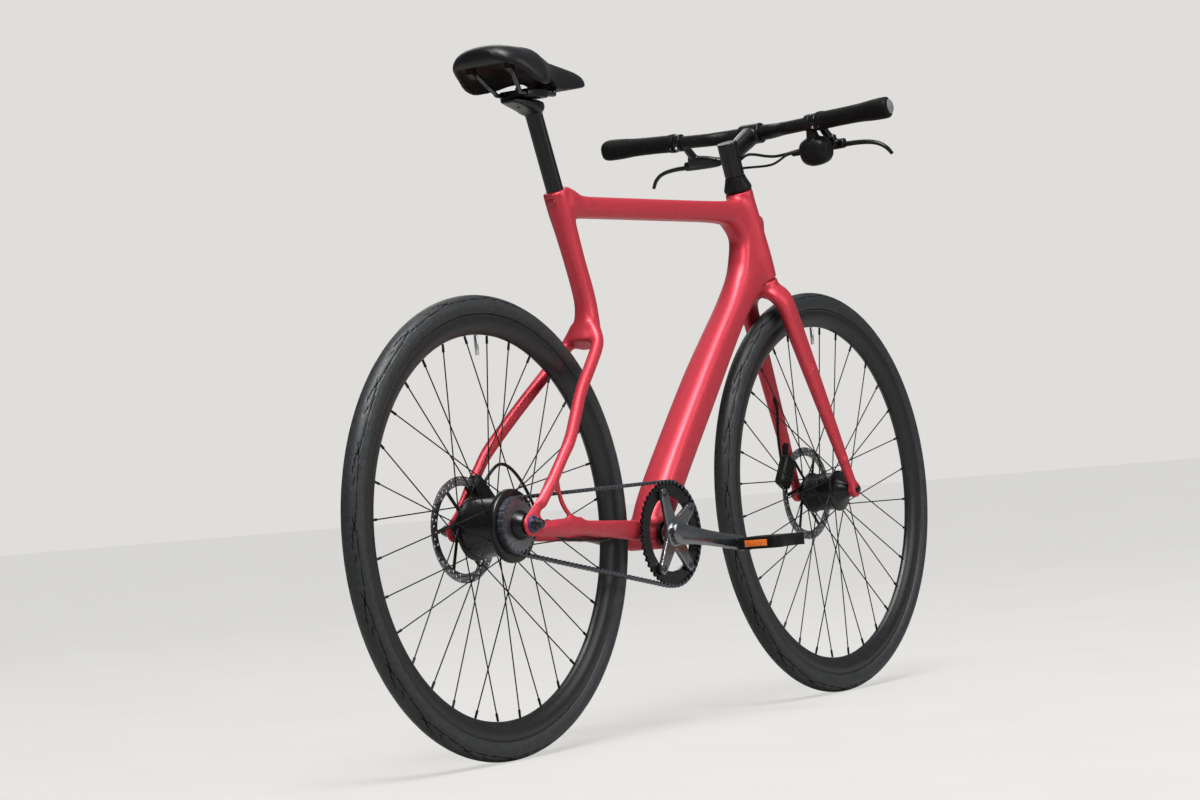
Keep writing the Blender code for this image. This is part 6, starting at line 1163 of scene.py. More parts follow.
def light_housing():
    rings = [(Vector((steering_x(HEAD_LIGHT_Z), 0.0, HEAD_LIGHT_Z)), HEAD_LIGHT_HEIGHT * 0.90,
              HEAD_LIGHT_WIDTH * 0.70, 2.6),
             (Vector((beam_x(), 0.0, HEAD_LIGHT_Z)), HEAD_LIGHT_HEIGHT / 2 + LENS_MARGIN,
              HEAD_LIGHT_WIDTH / 2 + LENS_MARGIN, 4.0)]
    return loft("head_light_housing", rings, TUBE_SIDES)


def light(name, material, x, z, depth, width, height, outward):
    """A lens let into a pocket of the frame, flush with its mouth."""
    cut(frame, box(name + "_pocket", (depth * 2, width, height), place=(x, 0.0, z)))
    lens = box(name, (depth, width - 2 * FIT_GAP, height - 2 * FIT_GAP),
               place=(x - outward * (depth / 2 - FIT_GAP), 0.0, z))
    finish(lens, root, material)


def lights():
    light("head_light", LENS_CLEAR, beam_x(), HEAD_LIGHT_Z, LENS_DEPTH, HEAD_LIGHT_WIDTH,
          HEAD_LIGHT_HEIGHT, 1)
    tail_x = seat_axis_x(TAIL_LIGHT_Z) - SEAT_COLLAR_HALF_DEPTH / math.sin(SEAT_ANGLE)
    light("tail_light", LENS_RED, tail_x, TAIL_LIGHT_Z, TAIL_LIGHT_DEPTH, TAIL_LIGHT_WIDTH,
          TAIL_LIGHT_HEIGHT, -1)


def rim_hole_radius():
    """Where the rim's spine stands closest to the axle's side of its flat facets."""
    return RIM_INNER_RADIUS * math.cos(math.pi / WHEEL_STEPS) - FIT_GAP


def hub_profile(stations):
    """A hub's outside, (offset to the left, radius), closed round its axle's bore."""
    bore = AXLE_RADIUS + HUB_BORE_GAP
    outside = [(radius, offset) for offset, radius in stations]
    return outside + [(bore, stations[-1][0]), (bore, stations[0][0])]


def flange_stations(middle, radius, left, right):
    """One flange, from the surface on its left side down to the one on its right."""
    half = FLANGE_THICKNESS / 2
    return [(middle + half + FLANGE_FILLET, left), (middle + half, radius),
            (middle - half, radius), (middle - half - FLANGE_FILLET, right)]


def valve(name, axis):
    top = rim_hole_radius()
    stem = cylinder(name, VALVE_RADIUS, top - VALVE_LENGTH, top, 12, turn=LEVEL)
    finish(stem, axis, SILVER)


def front_axle():
    end = FRONT_DROPOUT_Y + 2 * FORK_LEG_FOOT_WIDTH + FRONT_AXLE_HEAD
    neck = end - FRONT_AXLE_HEAD + FIT_GAP
    tip = -FRONT_DROPOUT_Y - 2 * FORK_LEG_FOOT_WIDTH - THRU_AXLE_END
    profile = [(0.0, end), (FRONT_AXLE_HEAD_RADIUS, end), (FRONT_AXLE_HEAD_RADIUS, neck),
               (AXLE_RADIUS, neck), (AXLE_RADIUS, tip), (0.0, tip)]
    axle = turned("front_axle", profile, SMALL_STEPS, place=(FORK_OFFSET, 0.0, AXLE_RISE))
    finish(axle, steering_axis, ALLOY_BLACK)


def rear_axle():
    """Axle with a nut outside each dropout and a lock ring inside it."""
    outer = REAR_DROPOUT_Y + DROPOUT_THICKNESS + FIT_GAP
    nut = outer + WASHER_THICKNESS
    inside = REAR_DROPOUT_Y - FIT_GAP
    half = [(0.0, nut + AXLE_NUT_HEIGHT + AXLE_STUB),
            (AXLE_RADIUS, nut + AXLE_NUT_HEIGHT + AXLE_STUB), (AXLE_RADIUS, nut + AXLE_NUT_HEIGHT),
            (AXLE_NUT_RADIUS, nut + AXLE_NUT_HEIGHT), (AXLE_NUT_RADIUS, nut), (WASHER_RADIUS, nut),
            (WASHER_RADIUS, outer), (AXLE_RADIUS, outer), (AXLE_RADIUS, inside),
            (WASHER_RADIUS, inside), (WASHER_RADIUS, inside - WASHER_THICKNESS),
            (AXLE_RADIUS, inside - WASHER_THICKNESS)]
    mirrored = [(radius, -offset) for radius, offset in half[::-1]]
    axle = turned("rear_axle", half + mirrored, SMALL_STEPS - 4, place=(0.0, 0.0, WHEEL_RADIUS))
    finish(axle, root, STEEL)


def belt_frame():
    """Both sprockets' centres, and the lean of the belt's straight runs from the line of them."""
    rear = Vector((0.0, WHEEL_RADIUS))
    front = Vector((BB_X, BB_Z))
    along = (front - rear).normalized()
    lean = math.asin((RING_PITCH_RADIUS - COG_PITCH_RADIUS) / CENTRES)
    return rear, front, math.atan2(along.y, along.x), lean


def pitch_point(s):
    """Place and outward normal on the belt's pitch line, s along it from the top of the ring."""
    rear, front, base, lean = belt_frame()
    wrap_ring = math.pi + 2 * lean
    wrap_cog = math.pi - 2 * lean
    straight = CENTRES * math.cos(lean)
    top = base + math.pi / 2 + lean
    runs = (RING_PITCH_RADIUS * wrap_ring, straight, COG_PITCH_RADIUS * wrap_cog, straight)
    s = s % sum(runs)
    if s < runs[0]:
        angle = top - s / RING_PITCH_RADIUS
        normal = Vector((math.cos(angle), math.sin(angle)))
        return front + normal * RING_PITCH_RADIUS, normal
    s -= runs[0]
    bottom = top - wrap_ring
    normal = Vector((math.cos(bottom), math.sin(bottom)))
    if s < runs[1]:
        start = front + normal * RING_PITCH_RADIUS
        stop = rear + normal * COG_PITCH_RADIUS
        return start.lerp(stop, s / runs[1]), normal
    s -= runs[1]
    if s < runs[2]:
        angle = bottom - s / COG_PITCH_RADIUS
        normal = Vector((math.cos(angle), math.sin(angle)))
        return rear + normal * COG_PITCH_RADIUS, normal
    s -= runs[2]
    normal = Vector((math.cos(top), math.sin(top)))
    start = rear + normal * COG_PITCH_RADIUS
    stop = front + normal * RING_PITCH_RADIUS
    return start.lerp(stop, s / runs[3]), normal


def crank_arm(name, side):
    """An arm from the spindle out to the pedal, flaring away from the frame."""
    rings = []
    for along, high, wide, out in CRANK_SHARES:
        centre = Vector((-side * CRANK_LENGTH * along,
                         side * (CRANK_INNER_Y + CRANK_THICKNESS / 2 + CRANK_FLARE * out), 0.0))
        rings.append((centre, CRANK_HALF_HEIGHT * high, CRANK_THICKNESS / 2 * wide, 3.0))
    return finish(loft(name, rings, STAY_SIDES + 2), crank_axis, CRANK_GREY)


def spider():
    """Four arms from the crank's boss out to the ring's bolts."""
    root_radius = CRANK_HUB_RADIUS * 1.45
    root_half = math.asin(SPIDER_ROOT_WIDTH / 2 / root_radius)
    tip_half = math.asin(SPIDER_TIP_WIDTH / 2 / SPIDER_BOLT_CIRCLE)
    tip = SPIDER_BOLT_CIRCLE + SPIDER_TIP_WIDTH / 2
    outline = []
    for angle in sorted(angle % (2 * math.pi) for angle in SPIDER_ANGLES):
        outline += arc((0.0, 0.0), root_radius, angle - root_half, angle - root_half, 2)[:1]
        outline += arc((0.0, 0.0), SPIDER_BOLT_CIRCLE, angle - tip_half, angle - tip_half, 2)[:1]
        outline += arc((0.0, 0.0), tip, angle - tip_half * 0.5, angle + tip_half * 0.5, 3)
        outline += arc((0.0, 0.0), SPIDER_BOLT_CIRCLE, angle + tip_half, angle + tip_half, 2)[:1]
        outline += arc((0.0, 0.0), root_radius, angle + root_half, angle + root_half, 2)[:1]
    y = BELT_Y - RING_THICKNESS / 2 - FIT_GAP - SPIDER_THICKNESS / 2
    return plate("crank_spider", [outline], SPIDER_THICKNESS, place=(0.0, y, 0.0))


def cranks():
    boss_inner = BB_SHELL_HALF_WIDTH + BB_CUP_LENGTH + TURN_GAP + FIT_GAP
    boss_outer = CRANK_INNER_Y + CRANK_THICKNESS * 0.9
    right = crank_arm("crank_right", -1)
    boss = cylinder("crank_boss", CRANK_HUB_RADIUS, -boss_outer, -boss_inner, SMALL_STEPS + 4)
    spindle = cylinder("crank_spindle", SPINDLE_RADIUS, -CRANK_INNER_Y, CRANK_INNER_Y - FIT_GAP,
                       SMALL_STEPS)
    unite(right, spider(), boss, spindle)
    left = crank_arm("crank_left", 1)
    unite(left, cylinder("crank_left_boss", CRANK_HUB_RADIUS, boss_inner, boss_outer,
                         SMALL_STEPS + 4))
    cut(left, cylinder("spindle_socket", SPINDLE_RADIUS + FIT_GAP, 0.0, CRANK_INNER_Y,
                       SMALL_STEPS))


def pedal_outline(side):
    """Cage seen from above, its outer end notched into two prongs."""
    length, width, corner = PEDAL_LENGTH / 2, PEDAL_WIDTH / 2, PEDAL_CORNER
    prong = length - PEDAL_BAR - corner
    half = [(length - corner, -width), (length, corner - width), (length, width - corner),
            (length - corner, width), (prong + PEDAL_NOTCH, width), (prong, width - PEDAL_NOTCH)]
    outline = half + [(-x, y) for x, y in half[::-1]]
    return [(x, side * y) for x, y in outline]


def pedal_near():
    """How far out the pedals' cages begin."""
    return CRANK_INNER_Y + CRANK_THICKNESS * 0.96 + CRANK_FLARE + FIT_GAP + PEDAL_GAP


def pedal(name, side):
    """A flat cage round a bearing barrel, level as it hangs at rest."""
    eye = Vector((-side * CRANK_LENGTH, 0.0, 0.0))
    axis = empty("pedal_axis_" + name, eye, crank_axis, (0.0, -CRANK_PITCH, 0.0))
    near = pedal_near()
    start = near - PEDAL_GAP
    tip = near + PEDAL_WIDTH - PEDAL_NOTCH - PEDAL_LIP

    def span(low, high):
        return min(side * low, side * high), max(side * low, side * high)

    axle = cylinder("pedal_axle_" + name, PEDAL_AXLE_RADIUS, *span(start, tip), SMALL_STEPS,
                    place=eye)
    finish(axle, crank_axis, SILVER)
    barrel = PEDAL_AXLE_RADIUS + PEDAL_BAR / 2
    inside, width = PEDAL_LENGTH / 2 - PEDAL_BAR, PEDAL_WIDTH / 2 - PEDAL_BAR
    holes = [[(sign * barrel, -width), (sign * inside, -width),
              (sign * inside, width), (sign * barrel, width)] for sign in (1, -1)]
    body = plate("pedal_" + name, [pedal_outline(side)] + holes, PEDAL_THICKNESS,
                 place=(0.0, side * (near + PEDAL_WIDTH / 2), 0.0), turn=LEVEL)
    finish(body, axis, BLACK)
    cut(body, cylinder("pedal_bore_" + name, PEDAL_AXLE_RADIUS + STEERER_GAP,
                       *span(near - CUT_OVERRUN, tip + STEERER_GAP), SMALL_STEPS))
    for end, sign in (("front", 1), ("rear", -1)):
        cut(body, box("reflector_seat_%s_%s" % (end, name),
                      (REFLECTOR_DEPTH * 2, REFLECTOR_LENGTH, REFLECTOR_HEIGHT),
                      place=(sign * PEDAL_LENGTH / 2, side * (near + PEDAL_WIDTH / 2), 0.0)))


def leg_point(share, side):
    """Centre of a fork leg from its shoulder (0) to its foot (1)."""
    shoulder = Vector((FORK_SHOULDER_X, side * FORK_SHOULDER_Y, CROWN_TOP - FORK_SHOULDER_DROP))
    foot = Vector((FORK_OFFSET, side * (FRONT_DROPOUT_Y + FORK_LEG_FOOT_WIDTH), AXLE_RISE))
    return shoulder.lerp(foot, share)


def fork_leg(side, margin=0.0):
    """A leg from the crown to the axle; with a margin it cuts what fits round it."""
    rings = [(Vector((0.0, side * FORK_SHOULDER_Y * out, CROWN_TOP - FORK_SHOULDER_DROP * down)),
              FORK_LEG_TOP_DEPTH * deep + margin, FORK_LEG_TOP_WIDTH * wide + margin, 2.6)
             for out, down, deep, wide in FORK_CROWN_SHARES]
    rings += [(leg_point(share, side), FORK_LEG_TOP_DEPTH * deep + margin,
               FORK_LEG_TOP_WIDTH * wide + margin, 2.6) for share, deep, wide in FORK_LEG_SHARES]
    return loft(sided("fork_leg" if margin == 0.0 else "fork_leg_room", side), rings,
                STAY_SIDES + 2)


def fork():
    steerer_top = STEM_BASE + STEM_COLUMN_LENGTH - STEM_CAP_HEIGHT
    profile = [(0.0, steerer_top), (STEERER_RADIUS, steerer_top), (STEERER_RADIUS, CROWN_TOP),
               (HEAD_LOWER_RADIUS, CROWN_TOP), (HEAD_LOWER_RADIUS, CROWN_TOP - FORK_CROWN_LIP),
               (FORK_CROWN_DEPTH, CROWN_TOP - FORK_CROWN_HEIGHT),
               (0.0, CROWN_TOP - FORK_CROWN_HEIGHT)]
    body = turned("fork", profile, SMALL_STEPS + 8, turn=LEVEL)
    finish(body, steering_axis, RED)
    for name, side in SIDES:
        foot = leg_point(1.0, side)
        boss = cylinder("fork_foot_" + name, FORK_FOOT_BOSS_RADIUS, foot.y - FORK_LEG_FOOT_WIDTH,
                        foot.y + FORK_LEG_FOOT_WIDTH, SMALL_STEPS, place=(foot.x, 0.0, foot.z))
        unite(body, fork_leg(side), boss)
        for number, share in EYELET_SHARES:
            centre = leg_point(share, side)
            face = side * (abs(centre.y) + FORK_LEG_TOP_WIDTH * (0.99 - 0.44 * share)
                           + EYELET_STAND)
            unite(body, cylinder("eyelet_%s_%s" % (number, name), EYELET_RADIUS,
                                 min(centre.y, face), max(centre.y, face), SMALL_STEPS - 6,
                                 place=(centre.x - EYELET_RADIUS * 0.4, 0.0, centre.z)))
    cut(body, cylinder("fork_axle_bore", AXLE_RADIUS + FIT_GAP, -2 * FRONT_DROPOUT_Y,
                       2 * FRONT_DROPOUT_Y, SMALL_STEPS, place=(FORK_OFFSET, 0.0, AXLE_RISE)))
    return body


def headset_and_stem():
    low, high = HEAD_TOP + TURN_GAP, STEM_BASE - FIT_GAP
    bore = STEERER_RADIUS + FIT_GAP
    cone = [(CONE_TOP_RADIUS, high), (CONE_NECK_RADIUS, low + (high - low) * CONE_TOP_SHARE),
            (HEAD_UPPER_RADIUS, low + (high - low) * CONE_FOOT_SHARE), (HEAD_UPPER_RADIUS, low),
            (bore, low), (bore, high)]
    finish(turned("headset_cone", cone, SMALL_STEPS + 8, ring=True, turn=LEVEL),
           steering_axis, BLACK)
    column = cylinder("stem", STEM_COLUMN_RADIUS, STEM_BASE, STEM_BASE + STEM_COLUMN_LENGTH,
                      SMALL_STEPS + 8, turn=LEVEL)
    finish(column, steering_axis, ALLOY_BLACK)
    start = Vector((0.0, 0.0, STEM_BASE + STEM_COLUMN_LENGTH * STEM_NECK_START_SHARE))
    end = Vector((BAR_REACH, 0.0, BAR_HEIGHT))
    rings = [(start.lerp(end, along), STEM_COLUMN_RADIUS * size, STEM_COLUMN_RADIUS * size, square)
             for along, size, square in STEM_NECK_SHARES]
    neck = loft("stem_neck", rings, STAY_SIDES + 2)
    collar = cylinder("stem_collar", STEM_CLAMP_RADIUS, -STEM_CLAMP_HALF_WIDTH,
                      STEM_CLAMP_HALF_WIDTH, SMALL_STEPS, place=tuple(end))
    unite(column, neck, collar)
    socket = cylinder("stem_socket", bore, STEM_BASE - CUT_OVERRUN,
                      STEM_BASE + STEM_COLUMN_LENGTH - STEM_CAP_HEIGHT + FIT_GAP, SMALL_STEPS + 8,
                      turn=LEVEL)
    hole = cylinder("stem_bar_bore", BAR_CLAMP_RADIUS + FIT_GAP,
                    -STEM_CLAMP_HALF_WIDTH - CUT_OVERRUN, STEM_CLAMP_HALF_WIDTH + CUT_OVERRUN,
                    SMALL_STEPS + 4, place=tuple(end))
    cut(column, socket, hole)
    return column


def bar_point(y):
    """Centre line of the bar: it rises and sweeps back towards the grips."""
    start = BAR_CLAMP_HALF_WIDTH * 1.2
    t = min(1.0, max(0.0, (abs(y) - start) / (BAR_BEND_Y - start)))
    ease = t * t * (3 - 2 * t)
    rest = max(0.0, (abs(y) - BAR_BEND_Y) / (BAR_HALF_WIDTH - BAR_BEND_Y))
    rise = BAR_RISE * (BAR_RISE_SHARE * ease + (1 - BAR_RISE_SHARE) * rest)
    return Vector((BAR_REACH - BAR_SWEEP * ease, y, BAR_HEIGHT + rise))


def handlebar():
    half = [(BAR_CLAMP_HALF_WIDTH + (BAR_BEND_Y - BAR_CLAMP_HALF_WIDTH) * along,
             BAR_CLAMP_RADIUS + (BAR_RADIUS - BAR_CLAMP_RADIUS) * thin)
            for along, thin in BAR_TAPER_SHARES]
    half.append((BAR_HALF_WIDTH - GRIP_END_CAP - FIT_GAP, BAR_RADIUS))
    rings = [(bar_point(-y), radius, radius, 2.0) for y, radius in half[::-1]]
    rings += [(bar_point(y), radius, radius, 2.0) for y, radius in half]
    finish(loft("handlebar", rings, SMALL_STEPS, across=FORWARD), steering_axis, BLACK)


def on_bar(name, side, inner, outer, radius):
    """A round sleeve along the bar between two distances from its middle."""
    rings = [(bar_point(side * y), radius, radius, 2.0) for y in (inner, outer)]
    return loft(name, rings, SMALL_STEPS, across=FORWARD)


def bar_hole(name, side, inner, outer):
    return on_bar(name, side, inner, outer, BAR_RADIUS + FIT_GAP)


def grip(name, side):
    """A grip with a clamp ring inboard and a flared palm rest at its end."""
    start = GRIP_INNER_Y + GRIP_CLAMP_WIDTH
    rings = []
    for along, tall, deep in GRIP_SHARES:
        depth = GRIP_RADIUS + (GRIP_PALM_DEPTH - GRIP_RADIUS) * deep
        centre = bar_point(side * (start + (BAR_HALF_WIDTH - start) * along))
        centre.x -= depth - GRIP_RADIUS
        rings.append((centre, GRIP_RADIUS + (GRIP_PALM_HEIGHT - GRIP_RADIUS) * tall, depth, 2.3))
    body = loft("grip_" + name, rings, SMALL_STEPS, across=FORWARD)
    finish(body, steering_axis, GRIP_RUBBER)
    unite(body, on_bar("grip_clamp_" + name, side, GRIP_INNER_Y, start + FIT_GAP,
                       GRIP_CLAMP_RADIUS))
    cut(body, bar_hole("grip_hole_" + name, side, GRIP_INNER_Y - CUT_OVERRUN,
                       BAR_HALF_WIDTH - GRIP_END_CAP))


def brake_lever(name, side):
    """Clamp, sloping tank, master cylinder and a two-finger blade on one side of the bar."""
    inner_y, outer_y = LEVER_CLAMP_Y - LEVER_BODY_INNER, LEVER_CLAMP_Y + LEVER_BODY_OUTER
    body = on_bar("brake_lever_" + name, side, LEVER_CLAMP_Y - LEVER_CLAMP_WIDTH / 2,
                  LEVER_CLAMP_Y + LEVER_CLAMP_WIDTH / 2, LEVER_CLAMP_RADIUS)
    finish(body, steering_axis, ALLOY_BLACK)
    bar = bar_point(side * LEVER_CLAMP_Y)
    centre = bar + Vector((LEVER_FORWARD, 0.0, -LEVER_DROP))
    inner = Vector((centre.x, side * inner_y, centre.z))
    outer = Vector((centre.x, side * outer_y, centre.z))
    barrel = [(inner.lerp(outer, along), LEVER_BODY_END_RADIUS
               + (LEVER_BODY_RADIUS - LEVER_BODY_END_RADIUS) * size) for along, size in
              LEVER_BODY_SHARES]
    barrel = [(point, radius, radius, 2.4) for point, radius in barrel]
    tank = []
    for along, height, size in TANK_SHARES:
        middle = centre + Vector((-LEVER_TANK_HEIGHT * height / 3,
                                  side * LEVER_BODY_INNER * along, LEVER_TANK_HEIGHT * height / 2))
        tank.append((middle, LEVER_BODY_RADIUS * (0.5 + 0.6 * height), LEVER_BODY_RADIUS * size
                     * 0.85, 2.8))
    arm = [(bar + Vector((LEVER_CLAMP_RADIUS * 0.75, 0.0, -LEVER_CLAMP_RADIUS * 0.35)),
            LEVER_CLAMP_WIDTH / 2, LEVER_CLAMP_WIDTH / 2, 2.8),
           (centre + Vector((0.0, 0.0, LEVER_TANK_HEIGHT / 3)), LEVER_CLAMP_WIDTH / 2,
            LEVER_CLAMP_WIDTH * 0.6, 2.8)]
    unite(body, loft("lever_arm_" + name, arm, 8),
          loft("lever_tank_" + name, tank, 8, across=FORWARD),
          loft("lever_barrel_" + name, barrel, 10, across=FORWARD))
    cut(body, bar_hole("lever_hole_" + name, side, LEVER_CLAMP_Y - LEVER_CLAMP_WIDTH,
                       LEVER_CLAMP_Y + LEVER_CLAMP_WIDTH))
    pivot = outer + Vector((0.0, side * FIT_GAP, -BLADE_HALF_THICKNESS / 2))
    path = [(pivot + Vector((BLADE_FORWARD * ahead, side * BLADE_REACH * along,
                             -BLADE_DROP * down)),
             BLADE_HALF_THICKNESS * slim, BLADE_HALF_DEPTH * slim, 2.6)
            for along, ahead, down, slim in BLADE_SHARES]
    blade = loft("lever_blade_" + name, path, 10, across=FORWARD)
    finish(blade, steering_axis, ALLOY_BLACK)
    return body, inner


def gear_shifter():
    """A rounded pod under the bar, inboard of the right brake lever."""
    half = SHIFTER_CLAMP_WIDTH / 2
    body = on_bar("gear_shifter", -1, SHIFTER_Y - half, SHIFTER_Y + half, LEVER_CLAMP_RADIUS)
    finish(body, steering_axis, BLACK)
    bar = bar_point(-SHIFTER_Y)
    centre = bar - Vector((0.0, 0.0, SHIFTER_DROP))
    pod = [(centre + Vector((0.0, SHIFTER_HALF_WIDTH * along, 0.0)), SHIFTER_HALF_HEIGHT * size,
            SHIFTER_HALF_DEPTH * size, 2.5) for along, size in SHIFTER_SHARES]
    neck = [(bar - Vector((0.0, 0.0, LEVER_CLAMP_RADIUS * 0.6)), half, half * 2, 2.6),
            (centre + Vector((0.0, 0.0, SHIFTER_HALF_HEIGHT / 2)), half * 2, half * 3, 2.6)]
    stop_y = centre.y + SHIFTER_HALF_WIDTH + SHIFTER_STOP_LENGTH
    stop = cylinder("shifter_cable_stop", SHIFTER_STOP_RADIUS, centre.y, stop_y, 10,
                    place=(centre.x, 0.0, centre.z))
    unite(body, loft("shifter_pod", pod, 12, across=FORWARD),
          loft("shifter_neck", neck, 8, across=FORWARD), stop)
    cut(body, bar_hole("shifter_hole", -1, SHIFTER_Y - 2 * half, SHIFTER_Y + 2 * half))
    return body, Vector((centre.x, stop_y, centre.z))


def cockpit(stem):
    handlebar()
    entry_z = STEM_BASE + STEM_COLUMN_LENGTH * HOSE_ENTRY_SHARE
    for name, side in SIDES:
        grip(name, side)
        lever, inner = brake_lever(name, side)
        inward = Vector((0.0, -side * HOSE_LEAD, 0.0))
        stop = Vector((STEM_COLUMN_RADIUS, side * HOSE_SPACING, entry_z))
        bow = inner.lerp(stop, 0.55) + Vector((HOSE_BOW, 0.0, -HOSE_SAG))
        turn_in = stop + Vector((HOSE_LEAD, side * HOSE_TURN_OUT, HOSE_SAG))
        path = smooth_path([inner - inward, inner + inward, bow, turn_in,
                            stop + Vector((-HOSE_RADIUS / 2, 0.0, 0.0))], 3)
        hose("brake_hose_" + name, path, HOSE_RADIUS, steering_axis, lever, stem)
    shifter, out = gear_shifter()
    stop = Vector((STEM_COLUMN_RADIUS, 0.0, entry_z - CABLE_ENTRY_DROP))
    path = smooth_path([out - LEFT * HOSE_LEAD, out + LEFT * HOSE_LEAD,
                        out.lerp(stop, 0.45) + Vector((HOSE_LEAD, 0.0, -CABLE_DROP)),
                        stop + Vector((HOSE_BOW * 3, HOSE_SPACING, -CABLE_DROP)),
                        stop + Vector((HOSE_BOW * 1.5, HOSE_SPACING * 2, -CABLE_DROP / 2)),
                        stop + Vector((-CABLE_RADIUS / 2, 0.0, 0.0))], 3)
    hose("shifter_cable", path, CABLE_RADIUS, steering_axis, shifter, stem)


def caliper(name, carrier, centre, y, outer_y, angle):
    """A rounded block set square to the disc's radius."""
    reach = ROTOR_RADIUS * CALIPER_REACH_SHARE
    inner_y = y - CALIPER_INNER_HALF_WIDTH
    place = (centre[0] + reach * math.cos(angle), (inner_y + outer_y) / 2,
             centre[1] + reach * math.sin(angle))
    body = box(name, (CALIPER_LENGTH, outer_y - inner_y, CALIPER_HEIGHT), place,
               (0.0, math.pi / 2 - angle, 0.0))
    finish(body, carrier, BLACK)
    rounding = body.modifiers.new("rounding", "BEVEL")
    rounding.width = CALIPER_ROUND
    rounding.segments = 2
    return body


def rotor_slot(body, carrier, centre, y):
    slot = cylinder(body.name + "_slot", ROTOR_RADIUS + CALIPER_SLOT / 2, y - CALIPER_SLOT / 2,
                    y + CALIPER_SLOT / 2, WHEEL_STEPS - 12, place=(centre[0], 0.0, centre[1]))
    slot.parent = carrier
    cut(body, slot)


def brakes():
    axle = (FORK_OFFSET, AXLE_RISE)
    front = caliper("front_caliper", steering_axis, axle, FRONT_ROTOR_Y,
                    FRONT_DROPOUT_Y - FIT_GAP, FRONT_CALIPER_ANGLE)
    ear_y = FRONT_DROPOUT_Y - FIT_GAP - CALIPER_EAR_HALF_WIDTH
    upper, lower = (Vector((axle[0] + x, ear_y, axle[1] + rise))
                    for x, rise in (FRONT_BOLT_UPPER, FRONT_BOLT_LOWER))
    tip = upper + (upper - lower).normalized() * CALIPER_EAR_RADIUS
    ear = [(point, CALIPER_EAR_RADIUS, CALIPER_EAR_HALF_WIDTH, 3.4) for point in (lower, tip)]
    unite(front, loft("front_caliper_ear", ear, 12))
    cut(front, fork_leg(1, FIT_GAP))
    rotor_slot(front, steering_axis, axle, FRONT_ROTOR_Y)
    rear = caliper("rear_caliper", root, (0.0, WHEEL_RADIUS), REAR_ROTOR_Y,
                   REAR_DROPOUT_Y - FIT_GAP, REAR_CALIPER_ANGLE)
    rotor_slot(rear, root, (0.0, WHEEL_RADIUS), REAR_ROTOR_Y)
    return front, rear


def seatpost():
    """A straight post into a cradle that reaches along the rails."""
    head_top = RAIL_Z - CLAMP_HALF_HEIGHT - FIT_GAP
    middle = head_top - SEATPOST_HEAD_HALF_HEIGHT
    length = (middle - SEAT_COLLAR_TOP) / math.sin(SEAT_ANGLE)
    post = cylinder("seatpost", SEATPOST_RADIUS, -SEATPOST_INSERTION, length, SMALL_STEPS,
                    place=(seat_axis_x(SEAT_COLLAR_TOP), 0.0, SEAT_COLLAR_TOP),
                    turn=(0.0, SEAT_ANGLE - math.pi / 2, 0.0))
    finish(post, root, ALLOY_BLACK)
    rings = [(Vector((clamp_x() + SEATPOST_HEAD_HALF_LENGTH * along, 0.0,
                      head_top - SEATPOST_HEAD_HALF_HEIGHT * high)),
              SEATPOST_HEAD_HALF_HEIGHT * high, SEATPOST_HEAD_HALF_WIDTH * wide, 3.0)
             for along, high, wide in SEATPOST_HEAD_SHARES]
    unite(post, loft("seatpost_head", rings, 12))


def clamp_x():
    return seat_axis_x(SEATPOST_TOP) - CLAMP_BACK


def rail_sockets():
    """Solid blocks left in the hollow base where the rails' ends seat."""
    rear, front = RAIL_SHARES[0], RAIL_SHARES[-1]
    blocks = [("rail_socket_" + name, rear, side * RAIL_HALF_SPACING * rear[1], RAIL_SOCKET_WIDTH)
              for name, side in SIDES]
    blocks.append(("rail_socket_front", front, 0.0, SADDLE_HALF_WIDTH))
    return [box(name, (RAIL_SOCKET_LENGTH, width, 2 * SADDLE_DEPTH),
                place=(SADDLE_REAR_X + SADDLE_LENGTH * shares[0], y, RAIL_Z))
            for name, shares, y, width in blocks]


def saddle():
    """A padded dome over a hollow base that the rails spring from."""
    pad = saddle_form("saddle_pad", 0.0, 0.0, 0.0, 0.0)
    finish(pad, root, SADDLE_BLACK)
    deep = CUT_OVERRUN * 4
    cut(pad, saddle_form("saddle_pad_hollow", SADDLE_EDGE_THICKNESS, SADDLE_PAD_THICKNESS,
                         0.0, deep))
    edge, under = SADDLE_EDGE_THICKNESS + FIT_GAP, SADDLE_PAD_THICKNESS + FIT_GAP
    base = saddle_form("saddle_base", edge, under, FIT_GAP, 0.0)
    finish(base, root, BLACK)
    shell = SADDLE_SHELL_THICKNESS
    hollow = saddle_form("saddle_base_hollow", edge + shell, under + shell, FIT_GAP + shell,
                         deep)
    hollow.parent = root
    cut(hollow, *rail_sockets())
    cut(base, hollow)
    clamp = box("saddle_clamp", (CLAMP_HALF_LENGTH * 2, CLAMP_HALF_WIDTH * 2,
                                 CLAMP_HALF_HEIGHT * 2), place=(clamp_x(), 0.0, RAIL_Z))
    finish(clamp, root, ALLOY_BLACK)
    rounding = clamp.modifiers.new("rounding", "BEVEL")
    rounding.width = CLAMP_ROUND
    rounding.segments = 2
    for name, side in SIDES:
        path = smooth_path([Vector((SADDLE_REAR_X + SADDLE_LENGTH * along,
                                    side * RAIL_HALF_SPACING * spacing,
                                    RAIL_Z + SADDLE_RISE * rise))
                            for along, spacing, rise in RAIL_SHARES], 2)
        cut(clamp, channel("rail_groove_" + name, path, RAIL_RADIUS, root))
        cut(base, channel("rail_seat_" + name, path, RAIL_RADIUS, root))
        finish(rod("saddle_rail_" + name, path, RAIL_RADIUS), root, STEEL)


